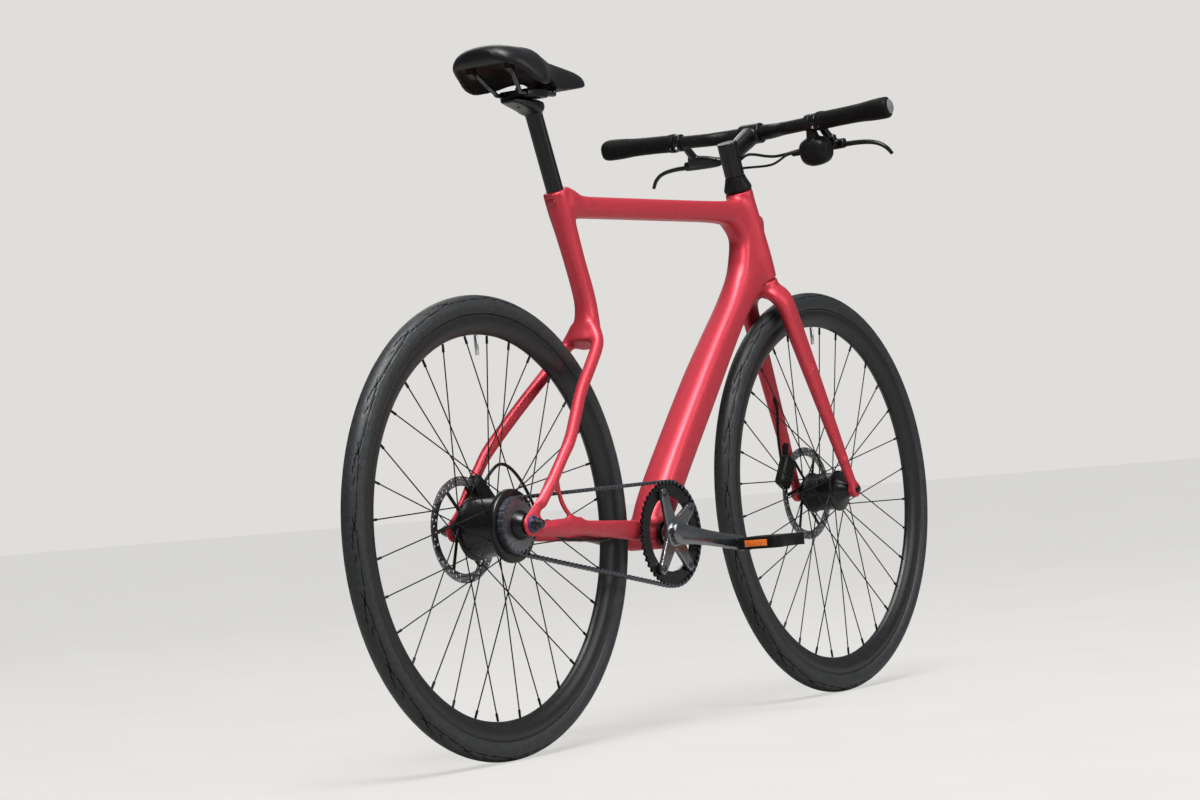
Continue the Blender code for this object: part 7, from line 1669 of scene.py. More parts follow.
def held_hoses(fork_body, front, rear):
    above_axle = Vector((0.0, 0.0, WHEEL_RADIUS))
    path = smooth_path([Vector(place) + above_axle for place in REAR_HOSE_PLACES], 2)
    hose("rear_brake_hose", path, HOSE_RADIUS, root, frame, rear)
    path = smooth_path([Vector(place) + above_axle for place in GEAR_CABLE_PLACES], 2)
    hose("gear_cable", path, CABLE_RADIUS, root, frame)
    axle = Vector((FORK_OFFSET, 0.0, AXLE_RISE))
    path = smooth_path([Vector(place) + axle for place in FRONT_HOSE_PLACES], 3)
    hose("front_brake_hose", path, HOSE_RADIUS, steering_axis, fork_body, front)


frame = build_frame()


# Tyres: a round section with a slick crown, bent grooves on its shoulders and a line on its walls; painted
# shade darkens the grooves

TYRE_STEPS = 900
TYRE_SECTION_STEPS = 56
GROOVE_PITCH_COUNT = 20
GROOVE_DEPTH = 0.0012
GROOVE_HALF_WIDTH = 0.0012
GROOVE_SHADE = 0.0006
SLICK_HALF_WIDTH = 0.004
WALL_LINE = 0.0196
WALL_LINE_HEIGHT = 0.00035
WALL_LINE_HALF_WIDTH = 0.0007
# Grooves as (share of the pitch, distance round the section from the crown's middle)
GROOVE_LINES = [[(0.00, 0.0165), (0.22, 0.0150), (0.36, 0.0105), (0.60, 0.0070)],
                [(0.18, 0.0098), (0.26, 0.0125), (0.42, 0.0160), (0.78, 0.0172), (1.00, 0.0165)],
                [(0.66, 0.0128), (0.78, 0.0085)]]


def groove_distance(along, across, pitch):
    """How far a point of the tread is from the nearest groove's line."""
    nearest = pitch
    for line in GROOVE_LINES:
        for (a0, c0), (a1, c1) in zip(line, line[1:]):
            for shift in (-pitch, 0.0, pitch):
                ax, bx = a0 * pitch + shift, a1 * pitch + shift
                dx, dy = bx - ax, c1 - c0
                t = ((along - ax) * dx + (across - c0) * dy) / (dx * dx + dy * dy)
                t = min(1.0, max(0.0, t))
                nearest = min(nearest, math.hypot(along - ax - t * dx, across - c0 - t * dy))
    return nearest


def tyre_surface(along, around, pitch):
    """How far the tyre's skin lies under (-) or over (+) its round section."""
    offset = 0.0
    if around > SLICK_HALF_WIDTH:
        near = groove_distance(along % pitch, around, pitch) / GROOVE_HALF_WIDTH
        if near < 1.0:
            offset -= GROOVE_DEPTH * (1 - near * near)
    line = abs(around - WALL_LINE) / WALL_LINE_HALF_WIDTH
    if line < 1.0:
        offset -= WALL_LINE_HEIGHT * (1 - line)
    return offset


def fine_tyre(name, axis):
    middle = WHEEL_RADIUS - TYRE_HALF_WIDTH
    start = math.asin((RIM_SEAT_RADIUS + FIT_GAP - middle) / TYRE_HALF_WIDTH)
    angles = [start + (math.pi - 2 * start) * k / TYRE_SECTION_STEPS
              for k in range(TYRE_SECTION_STEPS + 1)]
    pitch = 2 * math.pi * WHEEL_RADIUS / GROOVE_PITCH_COUNT
    per_pitch = TYRE_STEPS // GROOVE_PITCH_COUNT
    relief = []
    for step in range(per_pitch):
        row = []
        for a in angles:
            around = abs(a - math.pi / 2) * TYRE_HALF_WIDTH
            shift = 0.5 * pitch if a > math.pi / 2 else 0.0
            row.append(tyre_surface(step / per_pitch * pitch + shift, around, pitch))
        relief.append(row)
    points, faces = [], []
    count = len(angles)
    for step in range(TYRE_STEPS):
        turn = 2 * math.pi * step / TYRE_STEPS
        for a, offset in zip(angles, relief[step % per_pitch]):
            radius = middle + (TYRE_HALF_WIDTH + offset) * math.sin(a)
            points.append((radius * math.cos(turn), (TYRE_HALF_WIDTH + offset) * math.cos(a),
                           radius * math.sin(turn)))
        after = (step + 1) % TYRE_STEPS
        for k in range(count):
            following = (k + 1) % count
            faces.append((step * count + k, step * count + following,
                          after * count + following, after * count + k))
    mesh = bpy.data.meshes.new(name)
    mesh.from_pydata(points, [], faces)
    # Faces sunk deeper than GROOVE_SHADE take the second, darker look: painted shade in the grooves
    deep = [int(0.25 * (relief[step % per_pitch][k] + relief[step % per_pitch][(k + 1) % count]
                        + relief[(step + 1) % per_pitch][k]
                        + relief[(step + 1) % per_pitch][(k + 1) % count]) < -GROOVE_SHADE)
            for step in range(TYRE_STEPS) for k in range(count)]
    mesh.polygons.foreach_set("material_index", deep)
    return finish(new_object(name, mesh), axis, RUBBER)


# Rims, spokes with their nipples, and hubs

SPOKE_SIDES = 8
NIPPLE_RADIUS = 0.0021
NIPPLE_LENGTH = 0.0120
NIPPLE_TIP_SHARE = 0.85
# The rim's side from the tyre in to its spine: shares of the depth and of the half width
RIM_OUTLINE_SHARES = [(0.000, 0.94), (0.020, 1.00), (0.060, 1.00), (0.100, 0.95), (0.250, 0.99),
                      (0.400, 0.97), (0.550, 0.90), (0.700, 0.76), (0.850, 0.55), (0.950, 0.35),
                      (1.000, 0.00)]


def fine_rim(name, axis):
    """A deep rim whose walls bulge into a rounded spine, with a lip at the tyre."""
    side = [(RIM_SEAT_RADIUS - RIM_DEPTH * deep, RIM_HALF_WIDTH * wide)
            for deep, wide in RIM_OUTLINE_SHARES]
    smooth = finer(side[:-1], 3) + [side[-1]]
    ring = [(radius, -wide) for radius, wide in smooth] + smooth[:-1][::-1]
    return finish(turned(name, ring, WHEEL_STEPS, ring=True), axis, "rim")


def fine_spokes(name, circle_radius, flange_y, axis):
    """Both flanges' crossed spokes, each a round wire that ends in a nipple at the rim."""
    shape = bmesh.new()
    pitch = 2 * math.pi / SPOKES_PER_FLANGE
    outer = RIM_INNER_RADIUS - FIT_GAP
    for side in (1, -1):
        for k in range(SPOKES_PER_FLANGE):
            lead = 1 if k % 2 else -1
            hole = pitch * (k + side / 4)
            seat = hole + lead * pitch * SPOKE_CROSSINGS
            start = Vector((circle_radius * math.cos(hole), circle_radius * math.sin(hole),
                            side * flange_y + lead * FLANGE_STAGGER))
            end = Vector((outer * math.cos(seat), outer * math.sin(seat), 0.0))
            run = end - start
            turn = run.to_track_quat("Z", "Y").to_matrix().to_4x4()
            for radius, low, high in ((SPOKE_RADIUS, 0.0, run.length),
                                      (NIPPLE_RADIUS, run.length - NIPPLE_LENGTH, run.length)):
                middle = start + run.normalized() * (low + high) / 2
                bmesh.ops.create_cone(shape, cap_ends=True, segments=SPOKE_SIDES, radius1=radius,
                                      radius2=radius * (NIPPLE_TIP_SHARE if low else 1.0), depth=high - low,
                                      matrix=Matrix.Translation(middle) @ turn)
    return finish(mesh_object(name, shape, turn=ACROSS), axis, BLACK)


def fine_hub(name, axis, stations):
    return finish(turned(name, hub_profile(stations), SMALL_STEPS * 2, ring=True), axis,
                  ALLOY_BLACK)


def front_stations():
    face = FRONT_DROPOUT_Y - TURN_GAP
    seat = FRONT_ROTOR_Y - ROTOR_THICKNESS / 2 - FIT_GAP
    connector = -FRONT_FLANGE_Y - FLANGE_THICKNESS / 2 - FLANGE_FILLET - FRONT_CONNECTOR_LENGTH
    groove = FLANGE_FILLET
    stations = [(face, HUB_END_RADIUS), (seat, HUB_END_RADIUS), (seat, FRONT_ROTOR_SEAT_RADIUS)]
    stations += flange_stations(FRONT_FLANGE_Y, FRONT_FLANGE_RADIUS, FRONT_SHOULDER_RADIUS,
                                FRONT_SHELL_RADIUS)
    stations += [(groove, FRONT_SHELL_RADIUS), (groove, FRONT_SHELL_RADIUS - groove),
                 (-groove, FRONT_SHELL_RADIUS - groove), (-groove, FRONT_SHELL_RADIUS)]
    stations += flange_stations(-FRONT_FLANGE_Y, FRONT_FLANGE_RADIUS, FRONT_SHELL_RADIUS,
                                FRONT_SHOULDER_RADIUS)
    return stations + [(connector, FRONT_CONNECTOR_RADIUS), (-face, HUB_END_RADIUS)]


def rear_stations():
    face = REAR_DROPOUT_Y - WASHER_THICKNESS - TURN_GAP
    seat = REAR_ROTOR_Y - ROTOR_THICKNESS / 2 - FIT_GAP
    inner = BELT_Y + COG_THICKNESS / 2 + TURN_GAP
    groove = FLANGE_FILLET
    step = inner + 3 * groove
    stations = [(face, HUB_END_RADIUS), (seat, HUB_END_RADIUS), (seat, REAR_ROTOR_SEAT_RADIUS),
                (REAR_FLANGE_Y + REAR_SHOULDER_LENGTH, REAR_SHOULDER_RADIUS)]
    stations += flange_stations(REAR_FLANGE_Y, REAR_FLANGE_RADIUS, REAR_CAP_RADIUS,
                                REAR_SHELL_RADIUS)
    stations += [(0.0, REAR_SHELL_RADIUS + REAR_SHELL_CROWN)]
    stations += flange_stations(-REAR_FLANGE_Y, REAR_FLANGE_RADIUS, REAR_SHELL_RADIUS,
                                DUST_COVER_RADIUS)
    return stations + [(step + groove, DUST_COVER_RADIUS), (step + groove, DUST_COVER_RADIUS - groove),
                       (step, DUST_COVER_RADIUS - groove), (step, DUST_COVER_RADIUS),
                       (inner, DUST_COVER_RADIUS - DUST_COVER_CHAMFER)]


# Brake discs: a drilled steel track on a black carrier

ROTOR_HOLE_RADIUS = 0.002112
ROTOR_HOLE_STEPS = 12
ROTOR_HOLE_COUNT = 24
# Rows of holes as (share of the track's width, shift round it in pitches)
ROTOR_HOLE_ROWS = ((0.24, 0.0), (0.55, 0.5), (0.82, 0.0))


def rotor_track(name, axis, offset):
    inner = ROTOR_RADIUS - ROTOR_TRACK
    pitch = 2 * math.pi / ROTOR_HOLE_COUNT
    outlines = [circle(ROTOR_RADIUS, WHEEL_STEPS), circle(inner, WHEEL_STEPS)]
    for k in range(ROTOR_HOLE_COUNT):
        for share, turn in ROTOR_HOLE_ROWS:
            if (k + round(share * 4)) % 4 == 3:
                continue
            middle = inner + ROTOR_TRACK * share
            angle = (k + turn) * pitch
            outlines.append([(middle * math.cos(angle) + x, middle * math.sin(angle) + z)
                             for x, z in circle(ROTOR_HOLE_RADIUS, ROTOR_HOLE_STEPS)])
    return finish(plate(name, outlines, ROTOR_THICKNESS, place=(0.0, offset, 0.0)), axis, STEEL)


def rotor_carrier(name, axis, offset):
    inner = ROTOR_RADIUS - ROTOR_TRACK + ROTOR_THICKNESS / 2
    pitch = 2 * math.pi / ROTOR_ARMS
    sweep = pitch * ROTOR_SWEEP_SHARE
    rim_half = ROTOR_ARM_WIDTH / 2 / inner
    hub_half = ROTOR_ARM_WIDTH / 2 / ROTOR_HUB_RADIUS
    outlines = [circle(ROTOR_BORE, SMALL_STEPS)]
    outer = []
    for k in range(ROTOR_ARMS):
        start = k * pitch
        outer += arc((0.0, 0.0), inner, start - rim_half, start + rim_half, 4)
        outer += arc((0.0, 0.0), ROTOR_HUB_RADIUS, start + hub_half - sweep,
                     start + pitch - hub_half - sweep, 8)
    outlines.append(outer)
    return finish(plate(name, outlines, ROTOR_THICKNESS, place=(0.0, offset, 0.0)), axis, BLACK)


def fine_wheels():
    for name, axis, body, offset, circle_radius, flange, stations in (
            ("front", front_axis, "front_wheel", FRONT_ROTOR_Y, FRONT_SPOKE_CIRCLE,
             FRONT_FLANGE_Y, front_stations()),
            ("rear", rear_axis, "rear_wheel", REAR_ROTOR_Y, REAR_SPOKE_CIRCLE, REAR_FLANGE_Y,
             rear_stations())):
        # The tyre's second look is the painted shade of its grooves
        dress(fine_tyre(name + "_tyre", axis), body, name + "_tyre", angle=60.0, second="groove")
        dress(fine_rim(name + "_rim", axis), body, name + "_rim")
        dress(fine_hub(name + "_hub", axis, stations), body, name + "_hub", soft=0.0005)
        dress(fine_spokes(name + "_spokes", circle_radius, flange, axis), body, name + "_hub")
        dress(rotor_track(name + "_rotor_track", axis, offset), body, name + "_rotor",
              soft=0.0002)
        dress(rotor_carrier(name + "_rotor_carrier", axis, offset), body, name + "_rotor",
              soft=0.0002)
        valve(name + "_valve", axis)
        dress(drawn(name + "_valve"), body, name + "_valve", soft=0.0006)


# Where the frame's tubes meet: (centre, reach, rounds of evening, how much that stands out stays)

def frame_joints():
    stay_y = REAR_DROPOUT_Y + STAY_HALF_WIDTH
    head_x = steering_x(TOP_TUBE_Z)
    joints = [((head_x - 0.040, 0.0, TOP_TUBE_Z - 0.050), 0.105, 140, 0.95),
              ((steering_x(DOWN_TUBE_HEAD_Z) + 0.010, 0.0, DOWN_TUBE_HEAD_Z), 0.070, 60, 0.9),
              ((seat_axis_x(TOP_TUBE_Z) + 0.015, 0.0, TOP_TUBE_Z - 0.005), 0.050, 60, 0.9),
              (tuple(SEAT_FOOT), 0.070, 60, 0.9),
              ((BB_X - 0.005, 0.0, BB_Z + 0.040), 0.055, 60, 0.9),
              ((BB_X - 0.040, 0.0, BB_Z + 0.005), 0.055, 60, 0.9)]
    for side in (1, -1):
        lower = Vector((STAY_LOWER_X, side * stay_y, WHEEL_RADIUS + STAY_LOWER_RISE))
        end = lower.lerp(Vector((0.0, side * stay_y, WHEEL_RADIUS)), STAY_END_SHARE)
        joints.append((tuple(end), 0.045, 50, 0.0))
        joints += [((DROPOUT_HORN_X, side * stay_y, WHEEL_RADIUS + DROPOUT_HORN_RISE), 0.050, 30,
                    0.6),
                   ((DROPOUT_FOOT_X, side * stay_y, WHEEL_RADIUS - 0.014), 0.055, 60, 0.2),
                   ((0.030, side * stay_y, WHEEL_RADIUS - 0.005), 0.030, 12, 0.6)]
    return joints


# Webs that fill the hollows between the frame's tubes: (x, y, z, half height, half width)

HEAD_WEB = [(0.7050, 0.0, 0.8310, 0.0120, 0.0175), (0.7419, 0.0, 0.8251, 0.0180, 0.0196),
            (0.7796, 0.0, 0.7877, 0.0185, 0.0205), (0.7696, 0.0, 0.7358, 0.0185, 0.0212),
            (0.7527, 0.0, 0.7058, 0.0170, 0.0215)]
SEAT_WEB = [(0.0060, 0.0060, 0.0275, 0.0205), (0.0260, 0.0035, 0.0240, 0.0200),
            (0.0420, 0.0010, 0.0195, 0.0195), (0.0700, 0.0000, 0.0170, 0.0190)]
TOE_WEB = [(0.1200, 0.0700, 0.3350, 0.0150, 0.0050), (0.1400, 0.0672, 0.3335, 0.0145, 0.0073),
           (0.1600, 0.0625, 0.3312, 0.0138, 0.0085), (0.1900, 0.0562, 0.3285, 0.0132, 0.0080)]


def webs():
    seat_x = seat_axis_x(TOP_TUBE_Z)
    made = [loft("seat_web", [(Vector((seat_x + ahead, 0.0, TOP_TUBE_Z + up)), high, wide, 2.6)
                              for ahead, up, high, wide in SEAT_WEB], TUBE_SIDES),
            loft("head_web", [(Vector(row[:3]), row[3], row[4], 3.0) for row in HEAD_WEB],
                 TUBE_SIDES)]
    for name, side in SIDES:
        made.append(loft("toe_web_" + name, [(Vector((x, side * y, z)), high, wide, 2.8)
                                             for x, y, z, high, wide in TOE_WEB], STAY_SIDES))
    unite(frame, *made)


# The grips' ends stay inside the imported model's width

SIDE_LIMIT = 0.2825


def hold_in(obj, reach):
    """Keep a piece within a reach to both sides."""
    back = obj.matrix_world.inverted()
    for vertex in obj.data.vertices:
        place = obj.matrix_world @ vertex.co
        if abs(place.y) > reach:
            place.y = math.copysign(reach, place.y)
            vertex.co = back @ place


# Saddle: the shell under its pad, drawn with more rings along it

SADDLE_STEPS = 4
SADDLE_TRIM = 0.0003
SADDLE_BOLT_RADIUS = 0.0028
SADDLE_BOLT_STEPS = 18
SADDLE_BOLT_FOOT = 0.0150
SADDLE_BOLT_HEAD = 0.0040
SADDLE_BOLT_SHARES = (("front", 0.62), ("rear", -0.62))


def saddle_form(name, inset, sink, trim, low):
    """A solid inside the saddle's dome, set in from it and opened downwards."""
    shares = SADDLE_SHARES if inset == 0.0 else SADDLE_SHARES[SADDLE_HOLLOW_FIRST:
                                                               SADDLE_HOLLOW_LAST + 1]
    shares = finer(shares, SADDLE_STEPS)
    rings = []
    for index, (along, wide, fall, rise) in enumerate(shares):
        x = SADDLE_REAR_X + SADDLE_LENGTH * along
        x += trim if index == 0 else -trim if index == len(shares) - 1 else 0.0
        half = SADDLE_HALF_WIDTH * wide - inset
        top = SADDLE_TOP - SADDLE_TRIM - SADDLE_DEPTH * fall - sink
        rim = SADDLE_TOP - SADDLE_DEPTH * (1 - rise)
        ring = []
        for k in range(SADDLE_DOME_STEPS + 1):
            angle = math.pi * k / SADDLE_DOME_STEPS
            ring.append(Vector((x, half * power(math.cos(angle), SADDLE_DOME_SQUARENESS),
                                rim + (top - rim) * power(math.sin(angle),
                                                          SADDLE_DOME_SQUARENESS))))
        if low > 0.0:
            ring += [Vector((x, -half, rim - low)), Vector((x, half, rim - low))]
        rings.append(ring)
    return skin(name, rings, split=True)


def fine_saddle():
    saddle()
    moulded("saddle_pad")
    moulded("saddle_base")
    pad = dress(drawn("saddle_pad"), "frame", "saddle_pad", angle=50.0, look="saddle")
    dress(drawn("saddle_base"), "frame", "saddle_base", look="shell")
    dress(drawn("saddle_clamp"), "frame", "saddle_clamp")
    for name, _ in SIDES:
        dress(drawn("saddle_rail_" + name), "frame", "saddle_rail_" + name, look="rail")
    low = RAIL_Z - CLAMP_HALF_HEIGHT - SADDLE_BOLT_FOOT
    high = RAIL_Z + CLAMP_HALF_HEIGHT + SADDLE_BOLT_HEAD
    for end, along in SADDLE_BOLT_SHARES:
        bolt = cylinder("saddle_bolt_" + end, SADDLE_BOLT_RADIUS, low, high, SADDLE_BOLT_STEPS,
                        place=(clamp_x() + CLAMP_HALF_LENGTH * along, 0.0, 0.0), turn=LEVEL)
        finish(bolt, root, "dark_steel")
        dress(bolt, "frame", soft=0.0004)


# Small parts of the drive: bolts in the spider, reflectors, coloured washer, notched belt

RING_BOLT_RADIUS = 0.0046
RING_BOLT_STEPS = 24
RING_BOLT_STAND = 0.0012
RING_BOLT_DEPTH = 0.0030
RING_SOCKET_RADIUS = 0.0026
RING_SOCKET_FLOOR = 0.0006
SOCKET_SIDES = 6
WASHER_OVERLAP = 0.0012
WASHER_BORE_OVERLAP = 0.0004
WASHER_SHARE = 0.9


def drive_details():
    y = BELT_Y - RING_THICKNESS / 2 - FIT_GAP - SPIDER_THICKNESS
    for number, angle in enumerate(SPIDER_ANGLES):
        place = (SPIDER_BOLT_CIRCLE * math.cos(angle), 0.0, SPIDER_BOLT_CIRCLE * math.sin(angle))
        bolt = cylinder("ring_bolt_%d" % number, RING_BOLT_RADIUS, y - RING_BOLT_STAND,
                        y + RING_BOLT_DEPTH, RING_BOLT_STEPS, place=place)
        finish(bolt, crank_axis, "dark_steel")
        cut(bolt, cylinder("ring_socket_%d" % number, RING_SOCKET_RADIUS, y - RING_BOLT_DEPTH,
                           y + RING_SOCKET_FLOOR, SOCKET_SIDES, place=place))
        dress(bolt, "crank", soft=0.0004)
    for name, side in SIDES:
        axis = drawn("pedal_" + name).parent
        near = pedal_near()
        for end, sign in (("front", 1), ("rear", -1)):
            depth = REFLECTOR_DEPTH - FIT_GAP
            reflector = box("reflector_%s_%s" % (end, name),
                            (depth, REFLECTOR_LENGTH - 2 * FIT_GAP, REFLECTOR_HEIGHT - 2 * FIT_GAP),
                            place=(sign * (PEDAL_LENGTH / 2 - REFLECTOR_DEPTH / 2),
                                   side * (near + PEDAL_WIDTH / 2), 0.0))
            finish(reflector, axis, "amber")
            dress(reflector, "pedal_" + name, soft=0.0002)
    outer = REAR_DROPOUT_Y + DROPOUT_THICKNESS + FIT_GAP
    washer = cylinder("blue_washer", WASHER_RADIUS + WASHER_OVERLAP,
                      -outer - WASHER_THICKNESS * WASHER_SHARE, -outer, SMALL_STEPS,
                      place=(0.0, 0.0, WHEEL_RADIUS))
    finish(washer, root, "blue")
    cut(washer, cylinder("blue_washer_bore", WASHER_RADIUS - WASHER_BORE_OVERLAP,
                         -outer - WASHER_RADIUS, -outer + WASHER_RADIUS, SMALL_STEPS,
                         place=(0.0, 0.0, WHEEL_RADIUS)))
    dress(washer, "frame", soft=0.0003)


NOTCH_DEPTH = 0.0008
NOTCH_SHARES = (0.28, 0.18)


def fine_belt():
    """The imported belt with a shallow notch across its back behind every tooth."""
    shape = bmesh.new()
    cells = []
    for tooth in range(BELT_TEETH):
        middle = tooth * BELT_PITCH
        inner, back = [], []
        for offset, depth in ((-TOOTH_ROOT_SHARE / 2, BELT_LAND),
                              (-TOOTH_TIP_SHARE / 2, BELT_LAND + BELT_TOOTH_HEIGHT),
                              (TOOTH_TIP_SHARE / 2, BELT_LAND + BELT_TOOTH_HEIGHT),
                              (TOOTH_ROOT_SHARE / 2, BELT_LAND)):
            place, normal = pitch_point(middle + offset * BELT_PITCH)
            point = place - normal * depth
            inner.append(shape.verts.new((point.x, point.y, 0.0)))
        lip, floor_share = NOTCH_SHARES
        for offset, depth in ((-lip, 0.0), (-floor_share, NOTCH_DEPTH),
                              (floor_share, NOTCH_DEPTH), (lip, 0.0)):
            place, normal = pitch_point(middle + offset * BELT_PITCH)
            point = place + normal * (BELT_BACK - depth)
            back.append(shape.verts.new((point.x, point.y, 0.0)))
        cells.append((inner, back))
    flat = []
    for (inner, back), (next_inner, next_back) in zip(cells, cells[1:] + cells[:1]):
        flat.append(shape.faces.new(inner + [next_inner[0], next_back[0]] + back[::-1]))
    raised = bmesh.ops.extrude_face_region(shape, geom=flat)["geom"]
    bmesh.ops.translate(shape, vec=(0.0, 0.0, BELT_WIDTH),
                        verts=[v for v in raised if isinstance(v, bmesh.types.BMVert)])
    bmesh.ops.recalc_face_normals(shape, faces=shape.faces)
    band = mesh_object("belt", shape, place=(0.0, BELT_Y + BELT_WIDTH / 2, 0.0), turn=UPRIGHT)
    return finish(band, root, "belt")


# Grip ends and the small screws of the cockpit

CAP_RADIUS = GRIP_RADIUS * 0.80
CAP_STEPS = 40
CAP_FOOT, CAP_TOP = -0.0010, 0.0004
CAP_SEAT_FOOT, CAP_SEAT_TOP = -0.0012, 0.0060
SLIT_RING_GAP = 0.0001
SLIT_RING_INSET = 0.0008
SCREW_RADIUS = 0.0024
SCREW_STEPS = 18
SCREW_STAND = 0.0012
SCREW_LENGTH = 0.004
SCREW_SOCKET_RADIUS = 0.0014
SCREW_SOCKET_FLOOR = 0.0002
SCREW_TURN = (0.0, math.radians(-115.0), 0.0)


def bar_frame(y, side):
    """A turn whose Z looks outwards along the bar."""
    run = (bar_point(side * y) - bar_point(side * (y - 0.01))).normalized()
    return run.to_track_quat("Z", "Y").to_euler()


def bar_end_cylinder(name, side, radius, low, high):
    return cylinder(name, radius, low, high, CAP_STEPS, place=bar_point(side * BAR_HALF_WIDTH),
                    turn=bar_frame(BAR_HALF_WIDTH, side))


def cockpit_details():
    inside, outside = STEERER_RADIUS + SLIT_RING_GAP, STEM_COLUMN_RADIUS - SLIT_RING_INSET
    low = STEM_BASE - FIT_GAP
    slit = turned("stem_spacer", [(inside, low), (outside, low), (outside, STEM_BASE),
                                  (inside, STEM_BASE)], SMALL_STEPS, ring=True, turn=LEVEL)
    finish(slit, steering_axis, BLACK)
    dress(slit, "steering")
    for name, side in SIDES:
        cap = bar_end_cylinder("grip_cap_" + name, side, CAP_RADIUS, CAP_FOOT, CAP_TOP)
        finish(cap, steering_axis, "cap")
        dress(cap, "steering", soft=0.0005)
        for y, radius, look in ((GRIP_INNER_Y + GRIP_CLAMP_WIDTH / 2, GRIP_CLAMP_RADIUS,
                                 "dark_steel"),
                                (LEVER_CLAMP_Y, LEVER_CLAMP_RADIUS, "silver")):
            middle = bar_point(side * y)
            label = "%s_%d" % (name, round(y * 1000))
            screw = cylinder("screw_" + label, SCREW_RADIUS, radius - SCREW_LENGTH,
                             radius + SCREW_STAND, SCREW_STEPS, place=middle, turn=SCREW_TURN)
            finish(screw, steering_axis, look)
            cut(screw, cylinder("screw_socket_" + label, SCREW_SOCKET_RADIUS,
                                radius + SCREW_SOCKET_FLOOR, radius + SCREW_LENGTH, SOCKET_SIDES,
                                place=middle, turn=SCREW_TURN))
            dress(screw, "steering", soft=0.0003)


# Moulds as (voxel, rounds of evening), the pieces with their bodies, and their softened edges

MOULDS = {
    "frame": (0.0023, 8), "fork": (0.0020, 6), "crank_right": (0.0013, 5),
    "crank_left": (0.0013, 5), "stem": (0.0012, 5), "seatpost": (0.0015, 5),
    "brake_lever_left": (0.0009, 5), "brake_lever_right": (0.0009, 5),
    "grip_left": (0.0014, 3), "grip_right": (0.0014, 3), "gear_shifter": (0.0012, 5),
    "front_caliper": (0.0010, 3), "rear_caliper": (0.0010, 3), "saddle_pad": (0.0018, 8),
    "saddle_base": (0.0018, 4),
}
CROWN_JOINT_REACH, CROWN_JOINT_ROUNDS, CROWN_JOINT_KEPT = 0.045, 40, 0.9
PIECES = (
    ("frame", "frame"), ("fork", "steering"), ("front_axle", "steering"),
    ("rear_axle", "frame"), ("crank_right", "crank"), ("crank_left", "crank"),
    ("stem", "steering"), ("headset_cone", "steering"), ("handlebar", "steering"),
    ("brake_lever_left", "steering"), ("brake_lever_right", "steering"),
    ("lever_blade_left", "steering"), ("lever_blade_right", "steering"),
    ("grip_left", "steering"), ("grip_right", "steering"), ("gear_shifter", "steering"),
    ("front_caliper", "steering"), ("rear_caliper", "frame"), ("seatpost", "frame"),
    ("brake_hose_left", "steering"), ("brake_hose_right", "steering"),
    ("shifter_cable", "steering"), ("front_brake_hose", "steering"),
    ("rear_brake_hose", "frame"), ("gear_cable", "frame"), ("pedal_left", "pedal_left"),
    ("pedal_right", "pedal_right"), ("pedal_axle_left", "crank"),
    ("pedal_axle_right", "crank"), ("head_light", "frame"), ("tail_light", "frame"),
)
SOFTENED = {
    "front_axle": 0.0005, "rear_axle": 0.0004, "headset_cone": 0.0005, "pedal_left": 0.0007,
    "pedal_right": 0.0007, "pedal_axle_left": 0.0008, "pedal_axle_right": 0.0008,
    "head_light": 0.0006, "tail_light": 0.0004,
}


def draw_and_dress():
    frame.name = "frame" + PIECE
    webs()
    moulded("frame", frame_joints())
    lights()
    front_axle()
    rear_axle()
    cranks()
    for name, side in SIDES:
        pedal(name, side)
    fork_body = fork()
    cockpit(headset_and_stem())
    front, rear = brakes()
    seatpost()
    held_hoses(fork_body, front, rear)
    moulded("fork", [((0.0, side * FORK_SHOULDER_Y * 0.6, CROWN_TOP - FORK_SHOULDER_DROP * 0.5),
                      CROWN_JOINT_REACH, CROWN_JOINT_ROUNDS, CROWN_JOINT_KEPT)
                     for side in (1, -1)])
    for name in ("crank_right", "crank_left", "stem", "seatpost"):
        moulded(name)
    for name, side in SIDES:
        cut(drawn("grip_" + name), bar_end_cylinder("cap_seat_" + name, side,
                                                    CAP_RADIUS + FIT_GAP / 2, CAP_SEAT_FOOT,
                                                    CAP_SEAT_TOP))
        moulded("brake_lever_" + name)
        moulded("grip_" + name)
        hold_in(drawn("grip_" + name), SIDE_LIMIT)
    for name in ("gear_shifter", "front_caliper", "rear_caliper"):
        moulded(name)
    for name, carrier in PIECES:
        dress(drawn(name), carrier, name, soft=SOFTENED.get(name, 0.0),
              look="dark_steel" if name == "rear_axle" else None)
    dress(fine_belt(), "frame", "belt")
    fine_saddle()
    drive_details()
    cockpit_details()


